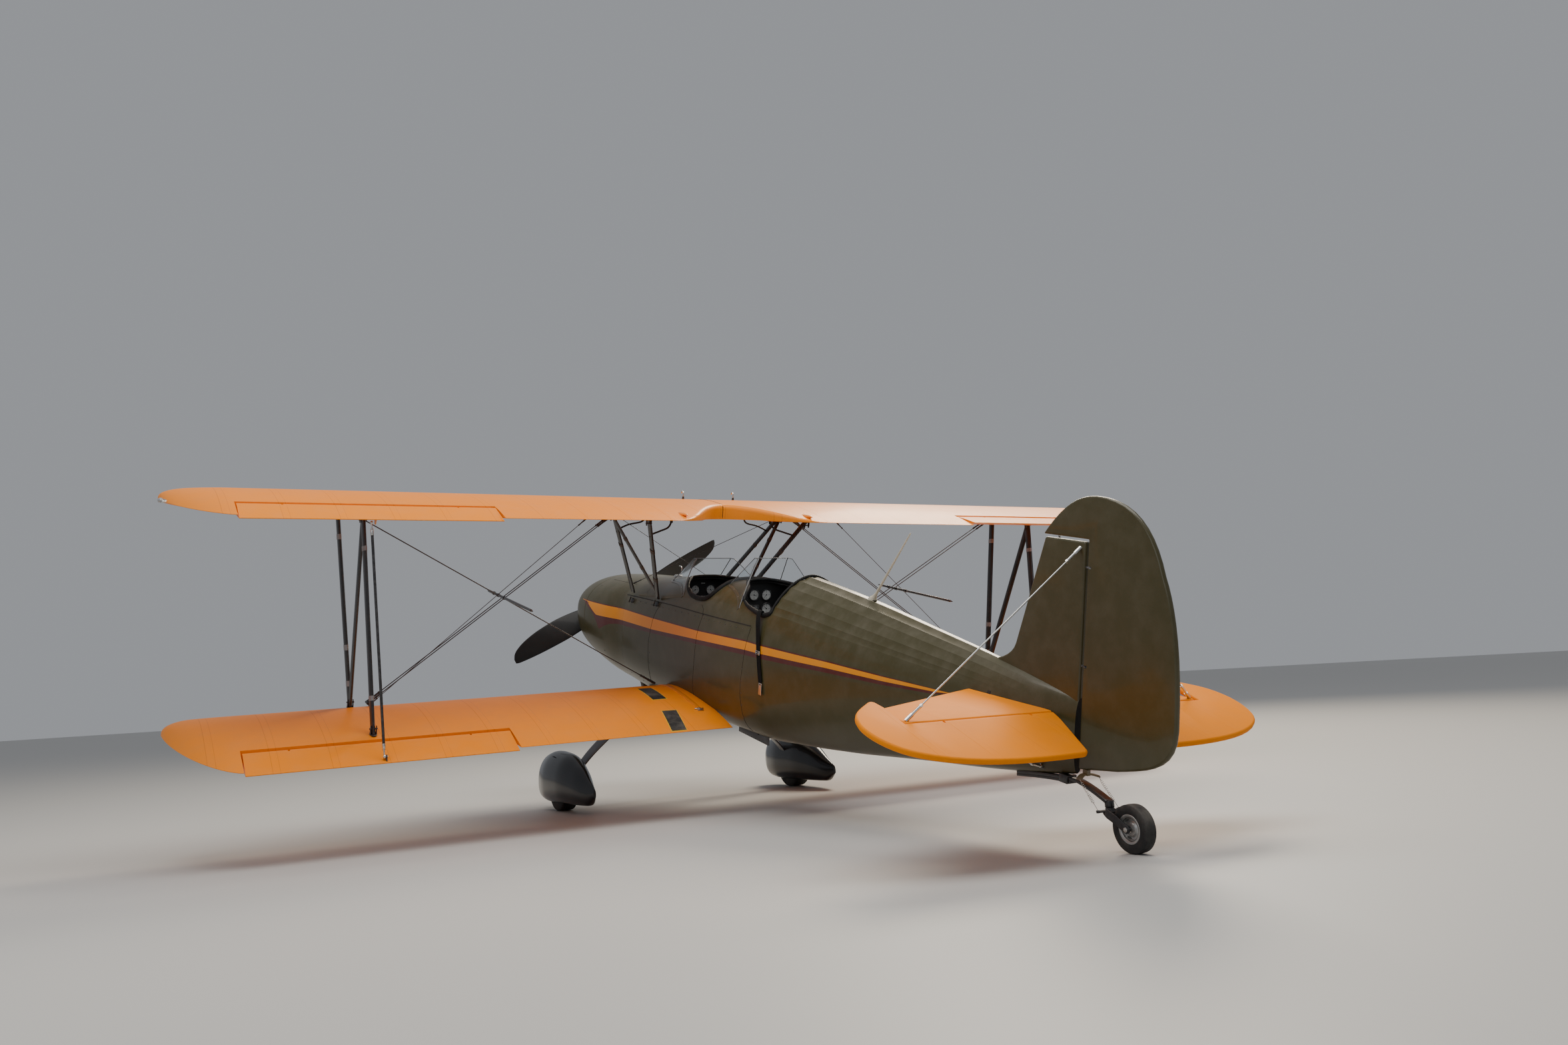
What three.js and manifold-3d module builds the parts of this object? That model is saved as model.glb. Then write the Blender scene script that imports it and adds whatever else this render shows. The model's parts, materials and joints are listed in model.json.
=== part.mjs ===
// Two-seat sport biplane with tandem open cockpits, parked on its main wheels and tailwheel.
// Millimetres. In the airframe group +X is the left wing, +Y runs aft from the firewall and +Z runs
// up from the thrust line. The group is then pitched to the parked attitude, with +Z up and the
// ground at z = 0 under the middle of the whole machine.
import * as THREE from 'three';
import { mergeVertices } from 'three/addons/utils/BufferGeometryUtils.js';
import Module from 'manifold-3d';

const wasm = await Module();
wasm.setup();

// Driving dimensions
const parkedAttitude = 12.65;
const trackHalf = 945;
const wheelbase = 4580;
const mainContact = { y: 502, z: -1268 };
const fit = 0.3;

const tyreMain = { radius: 180, width: 124, rim: 78, bore: 17 };
const tyreTail = { radius: 103, width: 66, rim: 57, bore: 9 };

const upperWing = {
  leadingEdge: 248, rootZ: 880, sweep: 5.97, dihedral: 0.39, incidence: 1.23, chord: 1068,
  root: 0.5, tip: 3653, tipTaper: 3300, aileronIn: 1792, aileronOut: 3300,
};
const lowerWing = {
  leadingEdge: 750, rootZ: -389, sweep: 0.25, dihedral: -0.78, incidence: 1.6, chord: 1068,
  root: 330, tip: 3567, tipTaper: 3210, aileronIn: 1720, aileronOut: 3210,
};
const airfoil = { thickness: 0.12, camber: 0.02 };
const tipOval = { power: 1.5, front: 0.18, nose: 170 };
const aileronHinge = 0.8;
const aileronNose = 0.028;
const baySlack = 9;
const aileronDroop = 5;
const cutout = { half: 575, depth: 451 };
const slave = { x: 2480, upperX: 2565, arm: 182, eye: 11, pin: 4, over: 18, under: 30, radius: 8 };

const hinges = {
  rudderY: 4618, tailNose: 14, elevatorY: 4490, elevatorZ: 226, elevatorDroop: 12, finEdge: 4590,
  stabEdge: 4466,
};
const tailPlate = 28;
const lug = { thick: 8, radius: 9, pin: 4, clear: 0.8, slot: 12, rudder: [100, 470, 920], elevator: [210, 700] };
const propeller = { y: -1014, angle: -26, hub: 72 };
const strutSection = { chord: 58, thick: 26 };
const wireRadius = 3.5;
const wireSpacing = 44;
const wall = 20;
const deckSplit = 2130;
const cockpits = {
  front: { start: 690, end: 1340, half: 312, padding: 945, corner: 190 },
  rear: { start: 1520, end: 2260, half: 312, padding: 1785, corner: 60 },
};

const rad = THREE.MathUtils.degToRad;
const vec = (x, y, z) => new THREE.Vector3(x, y, z);

// A point given from the main wheels' contact line, aft and up along level ground, in airframe axes
function fromGround(x, aft, height) {
  const c = Math.cos(rad(parkedAttitude));
  const s = Math.sin(rad(parkedAttitude));
  return vec(x, mainContact.y + c * aft - s * height, mainContact.z + s * aft + c * height);
}

// Finishes
const finish = (color, roughness, metalness) =>
  new THREE.MeshStandardMaterial({ color, roughness, metalness, flatShading: true });
const olive = finish(0x5a5238, 0.35, 0);
const orange = finish(0xe88a1a, 0.35, 0);
const blackPaint = finish(0x0c0c0e, 0.4, 0);
const navyPaint = finish(0x10141c, 0.25, 0);
const steel = finish(0x9a9c9e, 0.35, 1);
const darkMetal = finish(0x3a3c3e, 0.5, 1);
const rubber = finish(0x101010, 0.85, 0);
const blackLeather = finish(0x141414, 0.6, 0);
const blackComposite = finish(0x0e0e0e, 0.3, 0);
const clearPlastic = finish(0xcfd8dc, 0.05, 0);
const webbing = finish(0x0f0f10, 0.8, 0);
const whitePaint = finish(0xe6e2d2, 0.4, 0);

// Solids

function signedVolume(position, index) {
  const [a, b, c] = [vec(), vec(), vec()];
  let sum = 0;
  for (let i = 0; i < index.length; i += 3) {
    a.fromBufferAttribute(position, index[i]);
    b.fromBufferAttribute(position, index[i + 1]);
    c.fromBufferAttribute(position, index[i + 2]);
    sum += a.dot(b.cross(c));
  }
  return sum;
}

// Triangles over one flat loop, all turning the way the loop turns
function capTriangles(ring) {
  const normal = vec(0, 0, 0);
  ring.forEach((p, i) => normal.add(vec().crossVectors(p, ring[(i + 1) % ring.length])));
  const size = normal.toArray().map(Math.abs);
  const drop = size.indexOf(Math.max(...size));
  const axes = [0, 1, 2].filter((axis) => axis !== drop);
  const flat = ring.map((p) => new THREE.Vector2(...axes.map((axis) => p.getComponent(axis))));
  const turn = Math.sign(THREE.ShapeUtils.area(flat));
  return THREE.ShapeUtils.triangulateShape(flat, []).map(([a, b, c]) => {
    const same = Math.sign(THREE.ShapeUtils.area([flat[a], flat[b], flat[c]])) === turn;
    return same ? [a, b, c] : [a, c, b];
  });
}

// Closed skin over loops of equally many points, with a flat cap at each end
function skin(rings) {
  const count = rings[0].length;
  const index = [];
  for (let r = 0; r < rings.length - 1; r += 1) {
    for (let i = 0; i < count; i += 1) {
      const a = r * count + i;
      const b = r * count + ((i + 1) % count);
      index.push(a, b, b + count, a, b + count, a + count);
    }
  }
  const last = (rings.length - 1) * count;
  capTriangles(rings[0]).forEach(([a, b, c]) => index.push(a, c, b));
  capTriangles(rings[rings.length - 1]).forEach(([a, b, c]) => index.push(last + a, last + b, last + c));
  const geometry = new THREE.BufferGeometry().setFromPoints(rings.flat());
  if (signedVolume(geometry.attributes.position, index) < 0) index.reverse();
  geometry.setIndex(index);
  return geometry;
}

function solidOf(geometry) {
  const bare = new THREE.BufferGeometry();
  bare.setAttribute('position', geometry.attributes.position.clone());
  if (geometry.index) bare.setIndex(geometry.index.clone());
  const merged = mergeVertices(bare, 1e-3);
  return new wasm.Manifold(new wasm.Mesh({
    numProp: 3,
    vertProperties: Float32Array.from(merged.attributes.position.array),
    triVerts: Uint32Array.from(merged.index.array),
  }));
}

function geometryOf(solid) {
  const mesh = solid.getMesh();
  const geometry = new THREE.BufferGeometry();
  geometry.setAttribute('position', new THREE.BufferAttribute(Float32Array.from(mesh.vertProperties), 3));
  geometry.setIndex(Array.from(mesh.triVerts));
  return geometry;
}

const joined = (...geometries) => geometryOf(geometries.map(solidOf).reduce((sum, next) => sum.add(next)));
const cutBy = (geometry, ...cutters) =>
  geometryOf(cutters.map(solidOf).reduce((rest, cutter) => rest.subtract(cutter), solidOf(geometry)));

function box(x0, x1, y0, y1, z0, z1) {
  const geometry = new THREE.BoxGeometry(x1 - x0, y1 - y0, z1 - z0);
  return geometry.translate((x0 + x1) / 2, (y0 + y1) / 2, (z0 + z1) / 2);
}

// Shape in plan, x across and y aft, between two heights
function planPrism(shape, z0, z1, curveSegments = 6) {
  return new THREE.ExtrudeGeometry(shape, { depth: z1 - z0, bevelEnabled: false, curveSegments })
    .translate(0, 0, z0);
}

// A geometry made about the origin, set on an axis: its X runs along the axis, its Y aft
function placedOn(geometry, centre, axis) {
  const x = axis.clone().normalize();
  const y = vec(0, 1, 0).addScaledVector(x, -x.y).normalize();
  const z = vec().crossVectors(x, y);
  return geometry.applyMatrix4(new THREE.Matrix4().makeBasis(x, y, z).setPosition(centre));
}

// Fixed hinge lug that reaches forward into what carries the surface, with a hole for the pin
function hingeLug(centre, axis, reach) {
  const half = lug.thick / 2;
  const body = joined(rod(vec(-half, 0, 0), vec(half, 0, 0), lug.radius, 8), box(-half, half, -reach, 0, -8, 8));
  const hole = rod(vec(-lug.radius, 0, 0), vec(lug.radius, 0, 0), lug.pin + lug.clear, 8);
  return placedOn(cutBy(body, hole), centre, axis);
}

// Control surface with a slot around each hinge lug and a pin across the slot
function withHinges(surface, centres, axis) {
  const half = lug.slot / 2;
  const slots = centres.map((p) => placedOn(box(-half, half, -60, lug.radius + 3, -60, 60), p, axis));
  const pins = centres.map((p) => placedOn(rod(vec(-half - 3, 0, 0), vec(half + 3, 0, 0), lug.pin, 8), p, axis));
  return joined(cutBy(surface, ...slots), ...pins);
}

// Round rod between two points
function rod(from, to, radius, sides = 10) {
  const length = from.distanceTo(to);
  const geometry = new THREE.CylinderGeometry(radius, radius, length, sides);
  const turn = new THREE.Quaternion().setFromUnitVectors(vec(0, 1, 0), vec().subVectors(to, from).normalize());
  return geometry.applyQuaternion(turn).translate(...vec().addVectors(from, to).multiplyScalar(0.5).toArray());
}

// Streamlined tube between two points, its long section axis lying fore and aft
function strut(from, to, chord = strutSection.chord, thick = strutSection.thick) {
  const along = vec().subVectors(to, from).normalize();
  const aft = vec(0, 1, 0).addScaledVector(along, -along.y).normalize();
  const side = vec().crossVectors(along, aft);
  const ring = (centre) => [...Array(10).keys()].map((i) => {
    const angle = (i / 10) * 2 * Math.PI;
    return centre.clone().addScaledVector(aft, Math.cos(angle) * chord / 2)
      .addScaledVector(side, Math.sin(angle) * thick / 2);
  });
  return skin([ring(from), ring(to)]);
}

// Tube of round section along points that a smooth curve joins
function bentTube(points, radius, steps, arcSteps) {
  const path = new THREE.CatmullRomCurve3(points);
  const section = new THREE.Shape().absarc(0, 0, radius, 0, 2 * Math.PI, false);
  return new THREE.ExtrudeGeometry(section, { steps, extrudePath: path, curveSegments: arcSteps });
}

// Wheel turned about the X axis through the origin, from a table of half width and radius
function turnedAboutX(profile, segments) {
  const points = profile.map(([across, radius]) => new THREE.Vector2(radius, across)).reverse();
  const geometry = new THREE.LatheGeometry([...points, points[0].clone()], segments);
  return geometry.rotateZ(-Math.PI / 2);
}

// Fuselage, as rounded-box loops at stations along Y

// station, half width, height of the widest line, top, bottom, upper roundness, lower roundness
const bodyTable = [
  [-620, 450, -30, 262, -460, 2.2, 2.4],
  [-300, 425, -20, 296, -488, 2.3, 2.9],
  [0, 372, 0, 322, -500, 2.5, 3.6],
  [500, 372, 30, 372, -502, 2.6, 4.2],
  [860, 372, 45, 430, -500, 2.7, 4.4],
  [1340, 372, 55, 462, -488, 2.6, 4.2],
  [1640, 372, 62, 496, -474, 2.3, 4.0],
  [2130, 370, 75, 583, -452, 1.75, 3.6],
  [2350, 352, 82, 571, -425, 1.75, 3.4],
  [2900, 288, 100, 528, -344, 1.7, 3.0],
  [3500, 204, 130, 464, -236, 1.7, 2.6],
  [4020, 130, 160, 405, -145, 1.7, 2.4],
  [4400, 68, 175, 352, -68, 1.9, 2.4],
  [4590, 30, 180, 322, -22, 2.2, 2.6],
];

function bodySection(y) {
  const last = bodyTable.length - 1;
  const upper = Math.min(Math.max(bodyTable.findIndex((row) => row[0] >= y), 1), last);
  const [a, b] = [bodyTable[upper - 1], bodyTable[upper]];
  const t = (y - a[0]) / (b[0] - a[0]);
  return a.map((value, i) => value + (b[i] - value) * t);
}

function roundedLoop([y, half, mid, top, bottom, upperPower, lowerPower], grow, count = 28) {
  return [...Array(count).keys()].map((i) => {
    const angle = ((i + 0.5) / count) * 2 * Math.PI;
    const c = Math.cos(angle);
    const s = Math.sin(angle);
    const power = 2 / (s > 0 ? upperPower : lowerPower);
    const reach = s > 0 ? top - mid + grow : mid - bottom + grow;
    const x = Math.sign(c) * (half + grow) * Math.abs(c) ** power;
    return vec(x, y, mid + Math.sign(s) * reach * Math.abs(s) ** power);
  });
}

// Body between two stations, grown outwards by an offset, or shrunk where it is negative
function bodySkin(start, end, grow = 0, count = 28) {
  const inside = bodyTable.map((row) => row[0]).filter((y) => y > start + 1 && y < end - 1);
  return skin([start, ...inside, end].map((y) => roundedLoop(bodySection(y), grow, count)));
}

const bodyCutter = bodySkin(-600, 4590, fit);

// Opening in plan: narrow at the panel, full width from where the windshield ends
function cockpitOutline({ start, end, half, padding, corner }, grow) {
  const narrow = 222 + grow;
  const round = 26;
  const [x, y0, y1] = [half + grow, start - grow, end + grow];
  const shape = new THREE.Shape();
  shape.moveTo(-x, y1 - corner);
  shape.quadraticCurveTo(-x, y1, -x + corner, y1);
  shape.lineTo(x - corner, y1);
  shape.quadraticCurveTo(x, y1, x, y1 - corner);
  shape.lineTo(x, padding);
  shape.lineTo(narrow, y0 + round);
  shape.quadraticCurveTo(narrow, y0, narrow - round, y0);
  shape.lineTo(-narrow + round, y0);
  shape.quadraticCurveTo(-narrow, y0, -narrow, y0 + round);
  shape.lineTo(-x, padding);
  return shape;
}

// Everything within the fuselage's wall, as a cutter for what stands inside
const shellBlock = cutBy(bodySkin(0, deckSplit, 60), bodySkin(25, deckSplit - 1, -wall - fit));

const floorTop = 60;
const deckHigh = 700;
const frontHole = planPrism(cockpitOutline(cockpits.front, 0), floorTop, deckHigh);
const rearHole = planPrism(cockpitOutline(cockpits.rear, 0), floorTop, deckHigh);

function forwardFuselage() {
  return cutBy(bodySkin(0, deckSplit), bodySkin(25, 2400, -wall), frontHole, rearHole);
}

function rearFuselage() {
  const foot = hingeLug(vec(0, hinges.rudderY, lug.rudder[0]), vec(0, 0, 1), 40);
  return joined(bodySkin(deckSplit + fit, hinges.finEdge), foot);
}

// Cowling

// station, half width, height of the widest line, top, bottom, upper roundness, lower roundness
const noseTable = [
  [-936, 322, -50, 112, -290, 2.2, 2.2],
  [-918, 376, -46, 168, -345, 2.2, 2.2],
  [-876, 418, -42, 208, -392, 2.2, 2.2],
  [-790, 442, -36, 240, -428, 2.2, 2.3],
];
const cowlWall = 12;

function noseSkin(grow, count = 28) {
  const rings = noseTable.map((row) => roundedLoop(row, grow, count));
  return skin([...rings, roundedLoop(bodySection(-620), grow, count)]);
}

function inletCutter(side) {
  const shape = new THREE.Shape();
  const [halfWide, halfHigh] = [92, 46];
  shape.absellipse(0, 0, halfWide, halfHigh, 0, 2 * Math.PI, false);
  const geometry = new THREE.ExtrudeGeometry(shape, { depth: 120, bevelEnabled: false, curveSegments: 8 });
  return geometry.rotateX(Math.PI / 2).translate(side * 190, -860, 0);
}

function noseBowl() {
  const inner = noseTable.map((row) => roundedLoop(row, -cowlWall));
  inner[0] = roundedLoop([-924, ...noseTable[0].slice(1)], -cowlWall);
  inner[1] = roundedLoop([-908, ...noseTable[1].slice(1)], -cowlWall);
  const end = bodySection(-620);
  const hollow = skin([...inner, roundedLoop([-600, ...end.slice(1)], -cowlWall)]);
  const shaftHole = rod(vec(0, -1000, 0), vec(0, -800, 0), 78, 20);
  return cutBy(noseSkin(0), hollow, shaftHole, inletCutter(1), inletCutter(-1));
}

function engineCowl() {
  const outlet = box(-190, 190, -170, 20, -600, -410);
  return cutBy(bodySkin(-620 + fit, -fit), bodySkin(-640, 20, -cowlWall), outlet);
}

function engineBlock() {
  const block = box(-315, 315, -800, -230, -190, 130);
  const shaft = rod(vec(0, -820, 0), vec(0, -958, 0), 42, 16);
  const shaftRoot = rod(vec(0, -700, 0), vec(0, -900, 0), 66, 16);
  const mounts = [[-1, 1], [1, 1], [-1, -1], [1, -1]].map(([side, level]) =>
    rod(vec(side * 190, -260, level * 90 - 30), vec(side * 210, -fit, level * 150 - 60), 14));
  return cutBy(joined(block, shaftRoot, shaft, ...mounts), box(-400, 400, -fit, 200, -400, 400));
}

function exhaustStack(side) {
  const stack = bentTube([vec(side * 130, -330, -170), vec(side * 130, -316, -280), vec(side * 130, -170, -430),
    vec(side * 130, -60, -560)], 26, 10, 5);
  return cutBy(stack, box(-400, 400, -900, 0, -190 - fit, 300));
}

// Wings

// Surface height over the chord line at a fraction of the chord, as a fraction of the chord
function airfoilHeight(fraction, side) {
  const f = Math.min(Math.max(fraction, 0), 1);
  const half = 5 * airfoil.thickness * (0.2969 * Math.sqrt(f) - 0.126 * f - 0.3516 * f ** 2
    + 0.2843 * f ** 3 - 0.1036 * f ** 4) + 0.0012;
  return 4 * airfoil.camber * f * (1 - f) + side * half;
}

const chordStops = [1, 0.88, 0.765, 0.6, 0.42, 0.26, 0.14, 0.06, 0.015];

// One airfoil loop at a spanwise station between two chord fractions, grown by an offset
function wingLoop(wing, x, front, rear, grow) {
  const local = rear - front;
  const thin = local ** 0.6;
  const y0 = wing.leadingEdge + x * Math.tan(rad(wing.sweep));
  const z0 = wing.rootZ + x * Math.tan(rad(wing.dihedral));
  const drop = Math.sin(rad(wing.incidence));
  const place = (stop, side) => {
    const f = front + stop * local;
    const y = y0 + f * wing.chord;
    const z = z0 - f * wing.chord * drop + airfoilHeight(stop, side) * wing.chord * thin;
    const edge = stop === 1 ? 1 : 0;
    return vec(x, y + edge * grow, z + side * grow);
  };
  const nose = vec(x, y0 + front * wing.chord - grow, z0 - front * wing.chord * drop);
  return [...chordStops.map((stop) => place(stop, 1)), nose,
    ...[...chordStops].reverse().map((stop) => place(stop, -1))];
}

// Front and rear chord fractions of the plan outline at a station
function planFractions(wing, x) {
  const taper = Math.max(0, (x - wing.tipTaper) / (wing.tip - wing.tipTaper));
  const nose = Math.max(0, (x - (wing.tip - tipOval.nose)) / tipOval.nose);
  const rear = tipOval.front + (1 - tipOval.front) * (1 - taper ** tipOval.power) ** (1 / tipOval.power);
  const front = tipOval.front * (1 - Math.sqrt(Math.max(0, 1 - nose ** 2)));
  return [front, rear];
}

function wingSkin(wing, grow = 0) {
  const tipSteps = [0, 0.28, 0.5, 0.68, 0.82, 0.92, 0.985];
  const tipStations = tipSteps.map((t) => wing.tipTaper + t * (wing.tip - wing.tipTaper));
  const stations = [wing.root, wing.aileronIn, ...tipStations];
  return skin(stations.map((x) => wingLoop(wing, x, ...planFractions(wing, x), grow)));
}

// The upper wing's trailing edge is cut back over the cockpits, deepest at the middle
function cutoutShape(grow) {
  const edge = upperWing.leadingEdge + upperWing.chord;
  const shape = new THREE.Shape();
  const steps = 14;
  shape.moveTo(-cutout.half, edge + 200);
  for (let i = 0; i <= steps; i += 1) {
    const x = -cutout.half + (2 * cutout.half * i) / steps;
    const depth = (cutout.depth / 2) * (1 + Math.cos((Math.PI * x) / cutout.half));
    shape.lineTo(x, edge + Math.abs(x) * Math.tan(rad(upperWing.sweep)) - depth + grow);
  }
  shape.lineTo(cutout.half, edge + 200);
  return shape;
}

const cutoutBlock = planPrism(cutoutShape(0), upperWing.rootZ - 200, upperWing.rootZ + 200);

// Plan outline of an aileron bay, from the hinge nose to beyond the trailing edge
function bayOutline(wing, inset, front, reach) {
  const shape = new THREE.Shape();
  const edge = (x, fraction) => wing.leadingEdge + x * Math.tan(rad(wing.sweep)) + fraction * wing.chord;
  const [x0, x1] = [wing.aileronIn + inset, wing.aileronOut - inset];
  shape.moveTo(x0, edge(x0, front));
  shape.lineTo(x1, edge(x1, front));
  shape.lineTo(x1, edge(x1, 1) + reach);
  shape.lineTo(x0, edge(x0, 1) + reach);
  return shape;
}

function wingPanel(wing) {
  const front = aileronHinge - aileronNose - baySlack / wing.chord;
  const bay = planPrism(bayOutline(wing, -2, front, 60), wing.rootZ - 300, wing.rootZ + 300);
  const [inner, outer] = aileronHingeLine(wing);
  const axis = vec().subVectors(outer, inner);
  const reach = (aileronHinge - front) * wing.chord + 10;
  return joined(cutBy(wingSkin(wing), bay), ...aileronHinges(wing).map((p) => hingeLug(p, axis, reach)));
}

// Aileron about its own hinge line, with a round nose that turns inside the bay
function aileronHingeLine(wing) {
  const at = (x) => {
    const y = wing.leadingEdge + x * Math.tan(rad(wing.sweep)) + aileronHinge * wing.chord;
    const z = wing.rootZ + x * Math.tan(rad(wing.dihedral))
      - aileronHinge * wing.chord * Math.sin(rad(wing.incidence))
      + 0.5 * (airfoilHeight(aileronHinge, 1) + airfoilHeight(aileronHinge, -1)) * wing.chord;
    return vec(x, y, z);
  };
  const slack = 6;
  return [at(wing.aileronIn + slack), at(wing.aileronOut - slack)];
}

function aileronHinges(wing) {
  const [inner, outer] = aileronHingeLine(wing);
  return [0.16, 0.84].map((t) => inner.clone().lerp(outer, t));
}

function aileronBlade(wing) {
  const ends = aileronHingeLine(wing);
  const radius = aileronNose * wing.chord * 0.96;
  const length = (1 - aileronHinge) * wing.chord;
  const ring = (centre) => {
    const noseSteps = [0, 1, 2, 3, 4, 5].map((i) => rad(90 + i * 36));
    const nose = noseSteps.map((angle) =>
      vec(centre.x, centre.y + Math.cos(angle) * radius, centre.z + Math.sin(angle) * radius));
    const drop = length * Math.sin(rad(wing.incidence)) + 0.032 * length * 2;
    const tail = [vec(centre.x, centre.y + length, centre.z - drop - 2),
      vec(centre.x, centre.y + length, centre.z - drop + 2)];
    return [...nose, ...tail];
  };
  return withHinges(skin(ends.map(ring)), aileronHinges(wing), vec().subVectors(ends[1], ends[0]));
}

// The slave strut's pivot on each aileron, in neutral: over the lower one and under the upper one
function slavePivot(wing) {
  const across = wing === upperWing ? slave.upperX : slave.x;
  const [inner, outer] = aileronHingeLine(wing);
  const hinge = inner.clone().lerp(outer, (across - inner.x) / (outer.x - inner.x));
  const lift = wing === upperWing ? -slave.under : slave.over;
  return vec(across, hinge.y + slave.arm, hinge.z - slave.arm * 0.06 + lift);
}

// Aileron with the lug that the slave strut's end is pinned to
function aileron(wing) {
  const at = slavePivot(wing);
  const thick = 6;
  const reach = wing === upperWing ? slave.under - 2 : -slave.over - 4;
  const lug = joined(
    rod(vec(at.x - thick / 2, at.y, at.z), vec(at.x + thick / 2, at.y, at.z), slave.eye, 12),
    box(at.x - thick / 2, at.x + thick / 2, at.y - slave.eye, at.y + slave.eye,
      Math.min(at.z, at.z + reach), Math.max(at.z, at.z + reach)),
  );
  const hole = rod(vec(at.x - 20, at.y, at.z), vec(at.x + 20, at.y, at.z), slave.pin + 0.5, 12);
  return cutBy(joined(aileronBlade(wing), lug), hole);
}

// Slave strut between an eye beside each lug. Its pin is in the lower lug, and the upper eye stands free
function slaveStrut(low, high) {
  const eyeHalf = 5;
  const beside = (p, gap) => vec(p.x + 3 + gap + eyeHalf, p.y, p.z);
  const eyeAt = (p) => rod(vec(p.x - eyeHalf, p.y, p.z), vec(p.x + eyeHalf, p.y, p.z), slave.eye, 12);
  const [lowEye, highEye] = [beside(low, 4), beside(high, 13)];
  return joined(
    eyeAt(lowEye),
    eyeAt(highEye),
    rod(lowEye, vec(low.x - 6, low.y, low.z), slave.pin, 12),
    rod(lowEye, highEye, slave.radius, 10),
  );
}

// Tail surfaces, as plates with rounded edges

function plateAcrossX(shape, thickness, edge = 9) {
  const geometry = new THREE.ExtrudeGeometry(shape, {
    depth: thickness - 2 * edge, bevelThickness: edge, bevelSize: edge, bevelOffset: -edge, bevelSegments: 2,
    curveSegments: 5,
  });
  geometry.translate(0, 0, -(thickness - 2 * edge) / 2);
  const frame = new THREE.Matrix4().makeBasis(vec(0, 1, 0), vec(0, 0, 1), vec(1, 0, 0));
  return geometry.applyMatrix4(frame);
}

function plateAcrossZ(shape, thickness, edge = 9) {
  const geometry = new THREE.ExtrudeGeometry(shape, {
    depth: thickness - 2 * edge, bevelThickness: edge, bevelSize: edge, bevelOffset: -edge, bevelSegments: 2,
    curveSegments: 5,
  });
  return geometry.translate(0, 0, -(thickness - 2 * edge) / 2);
}

// Fin outline in y and z: swept leading edge, level top under the rudder horn, upright rear edge
function fin() {
  const shape = new THREE.Shape();
  shape.moveTo(3960, 340);
  shape.lineTo(hinges.finEdge, 240);
  shape.lineTo(hinges.finEdge, 1036);
  shape.lineTo(4316, 1036);
  shape.lineTo(4138, 500);
  shape.quadraticCurveTo(4110, 425, 3960, 392);
  const lugs = lug.rudder.slice(1).map((z) => hingeLug(vec(0, hinges.rudderY, z), vec(0, 0, 1), 40));
  return joined(cutBy(plateAcrossX(shape, 34, 11), bodyCutter), ...lugs);
}

function rudder() {
  const y0 = hinges.rudderY - hinges.tailNose;
  const shape = new THREE.Shape();
  shape.moveTo(y0, 2);
  shape.lineTo(4839, 50);
  shape.bezierCurveTo(5020, 100, 5165, 130, 5166, 300);
  shape.bezierCurveTo(5166, 640, 5110, 830, 5059, 931);
  shape.bezierCurveTo(4990, 1130, 4870, 1250, 4640, 1250);
  shape.bezierCurveTo(4500, 1250, 4400, 1170, 4296, 1048);
  shape.lineTo(y0, 1048);
  const plate = plateAcrossX(shape, tailPlate, 11).translate(0, -hinges.rudderY, 0);
  return withHinges(plate, lug.rudder.map((z) => vec(0, 0, z)), vec(0, 0, 1));
}

// Stabilizer outline in x and y for the left side
function stabilizer() {
  const shape = new THREE.Shape();
  shape.moveTo(0.5, 3905);
  shape.lineTo(150, 3936);
  shape.lineTo(860, 4206);
  shape.lineTo(884, 4240);
  shape.lineTo(884, hinges.stabEdge);
  shape.lineTo(0.5, hinges.stabEdge);
  const tailPost = box(-60, 60, 3800, 4700, -100, 500);
  const plate = cutBy(plateAcrossZ(shape, 30, 10).translate(0, 0, hinges.elevatorZ), bodyCutter, tailPost);
  const lugs = lug.elevator.map((x) => hingeLug(vec(x, hinges.elevatorY, hinges.elevatorZ), vec(1, 0, 0), 36));
  return joined(plate, ...lugs);
}

function elevator() {
  const y0 = -hinges.tailNose;
  const shape = new THREE.Shape();
  shape.moveTo(62, y0);
  shape.lineTo(80, 60);
  shape.lineTo(190, 360);
  shape.quadraticCurveTo(205, 382, 235, 380);
  shape.bezierCurveTo(560, 392, 830, 372, 1000, 250);
  shape.bezierCurveTo(1105, 180, 1140, 20, 1110, -60);
  shape.bezierCurveTo(1090, -150, 1020, -190, 945, -244);
  shape.quadraticCurveTo(925, -256, 910, -236);
  shape.lineTo(896, -180);
  shape.lineTo(896, y0);
  return withHinges(plateAcrossZ(shape, tailPlate, 11), lug.elevator.map((x) => vec(x, 0, 0)), vec(1, 0, 0));
}

// Struts and wires

const wingSeat = (wing, x, fraction, side) => {
  const y = wing.leadingEdge + x * Math.tan(rad(wing.sweep)) + fraction * wing.chord;
  const z = wing.rootZ + x * Math.tan(rad(wing.dihedral))
    - fraction * wing.chord * Math.sin(rad(wing.incidence)) + airfoilHeight(fraction, side) * wing.chord;
  return vec(x, y, z);
};
const spar = { front: 0.15, rear: 0.64 };
const upperCutter = wingSkin(upperWing, fit);
const lowerCutter = wingSkin(lowerWing, fit);
const sink = 18;
const lowered = (p, dz) => vec(p.x, p.y, p.z + dz);

const strutFeet = {
  front: wingSeat(lowerWing, 2515, 0.09, 1),
  rear: wingSeat(lowerWing, 2500, 0.7, 1),
  upperFront: wingSeat(upperWing, 2630, spar.front, -1),
  upperRear: wingSeat(upperWing, 2570, spar.rear, -1),
};

function interplaneStrut() {
  const { front, rear, upperFront, upperRear } = strutFeet;
  const frame = joined(
    strut(lowered(front, -sink), lowered(upperFront, sink)),
    strut(lowered(rear, -sink), lowered(upperRear, sink)),
    strut(lowered(front, 26), lowered(upperRear, -26)),
  );
  return cutBy(frame, upperCutter, lowerCutter);
}

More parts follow.
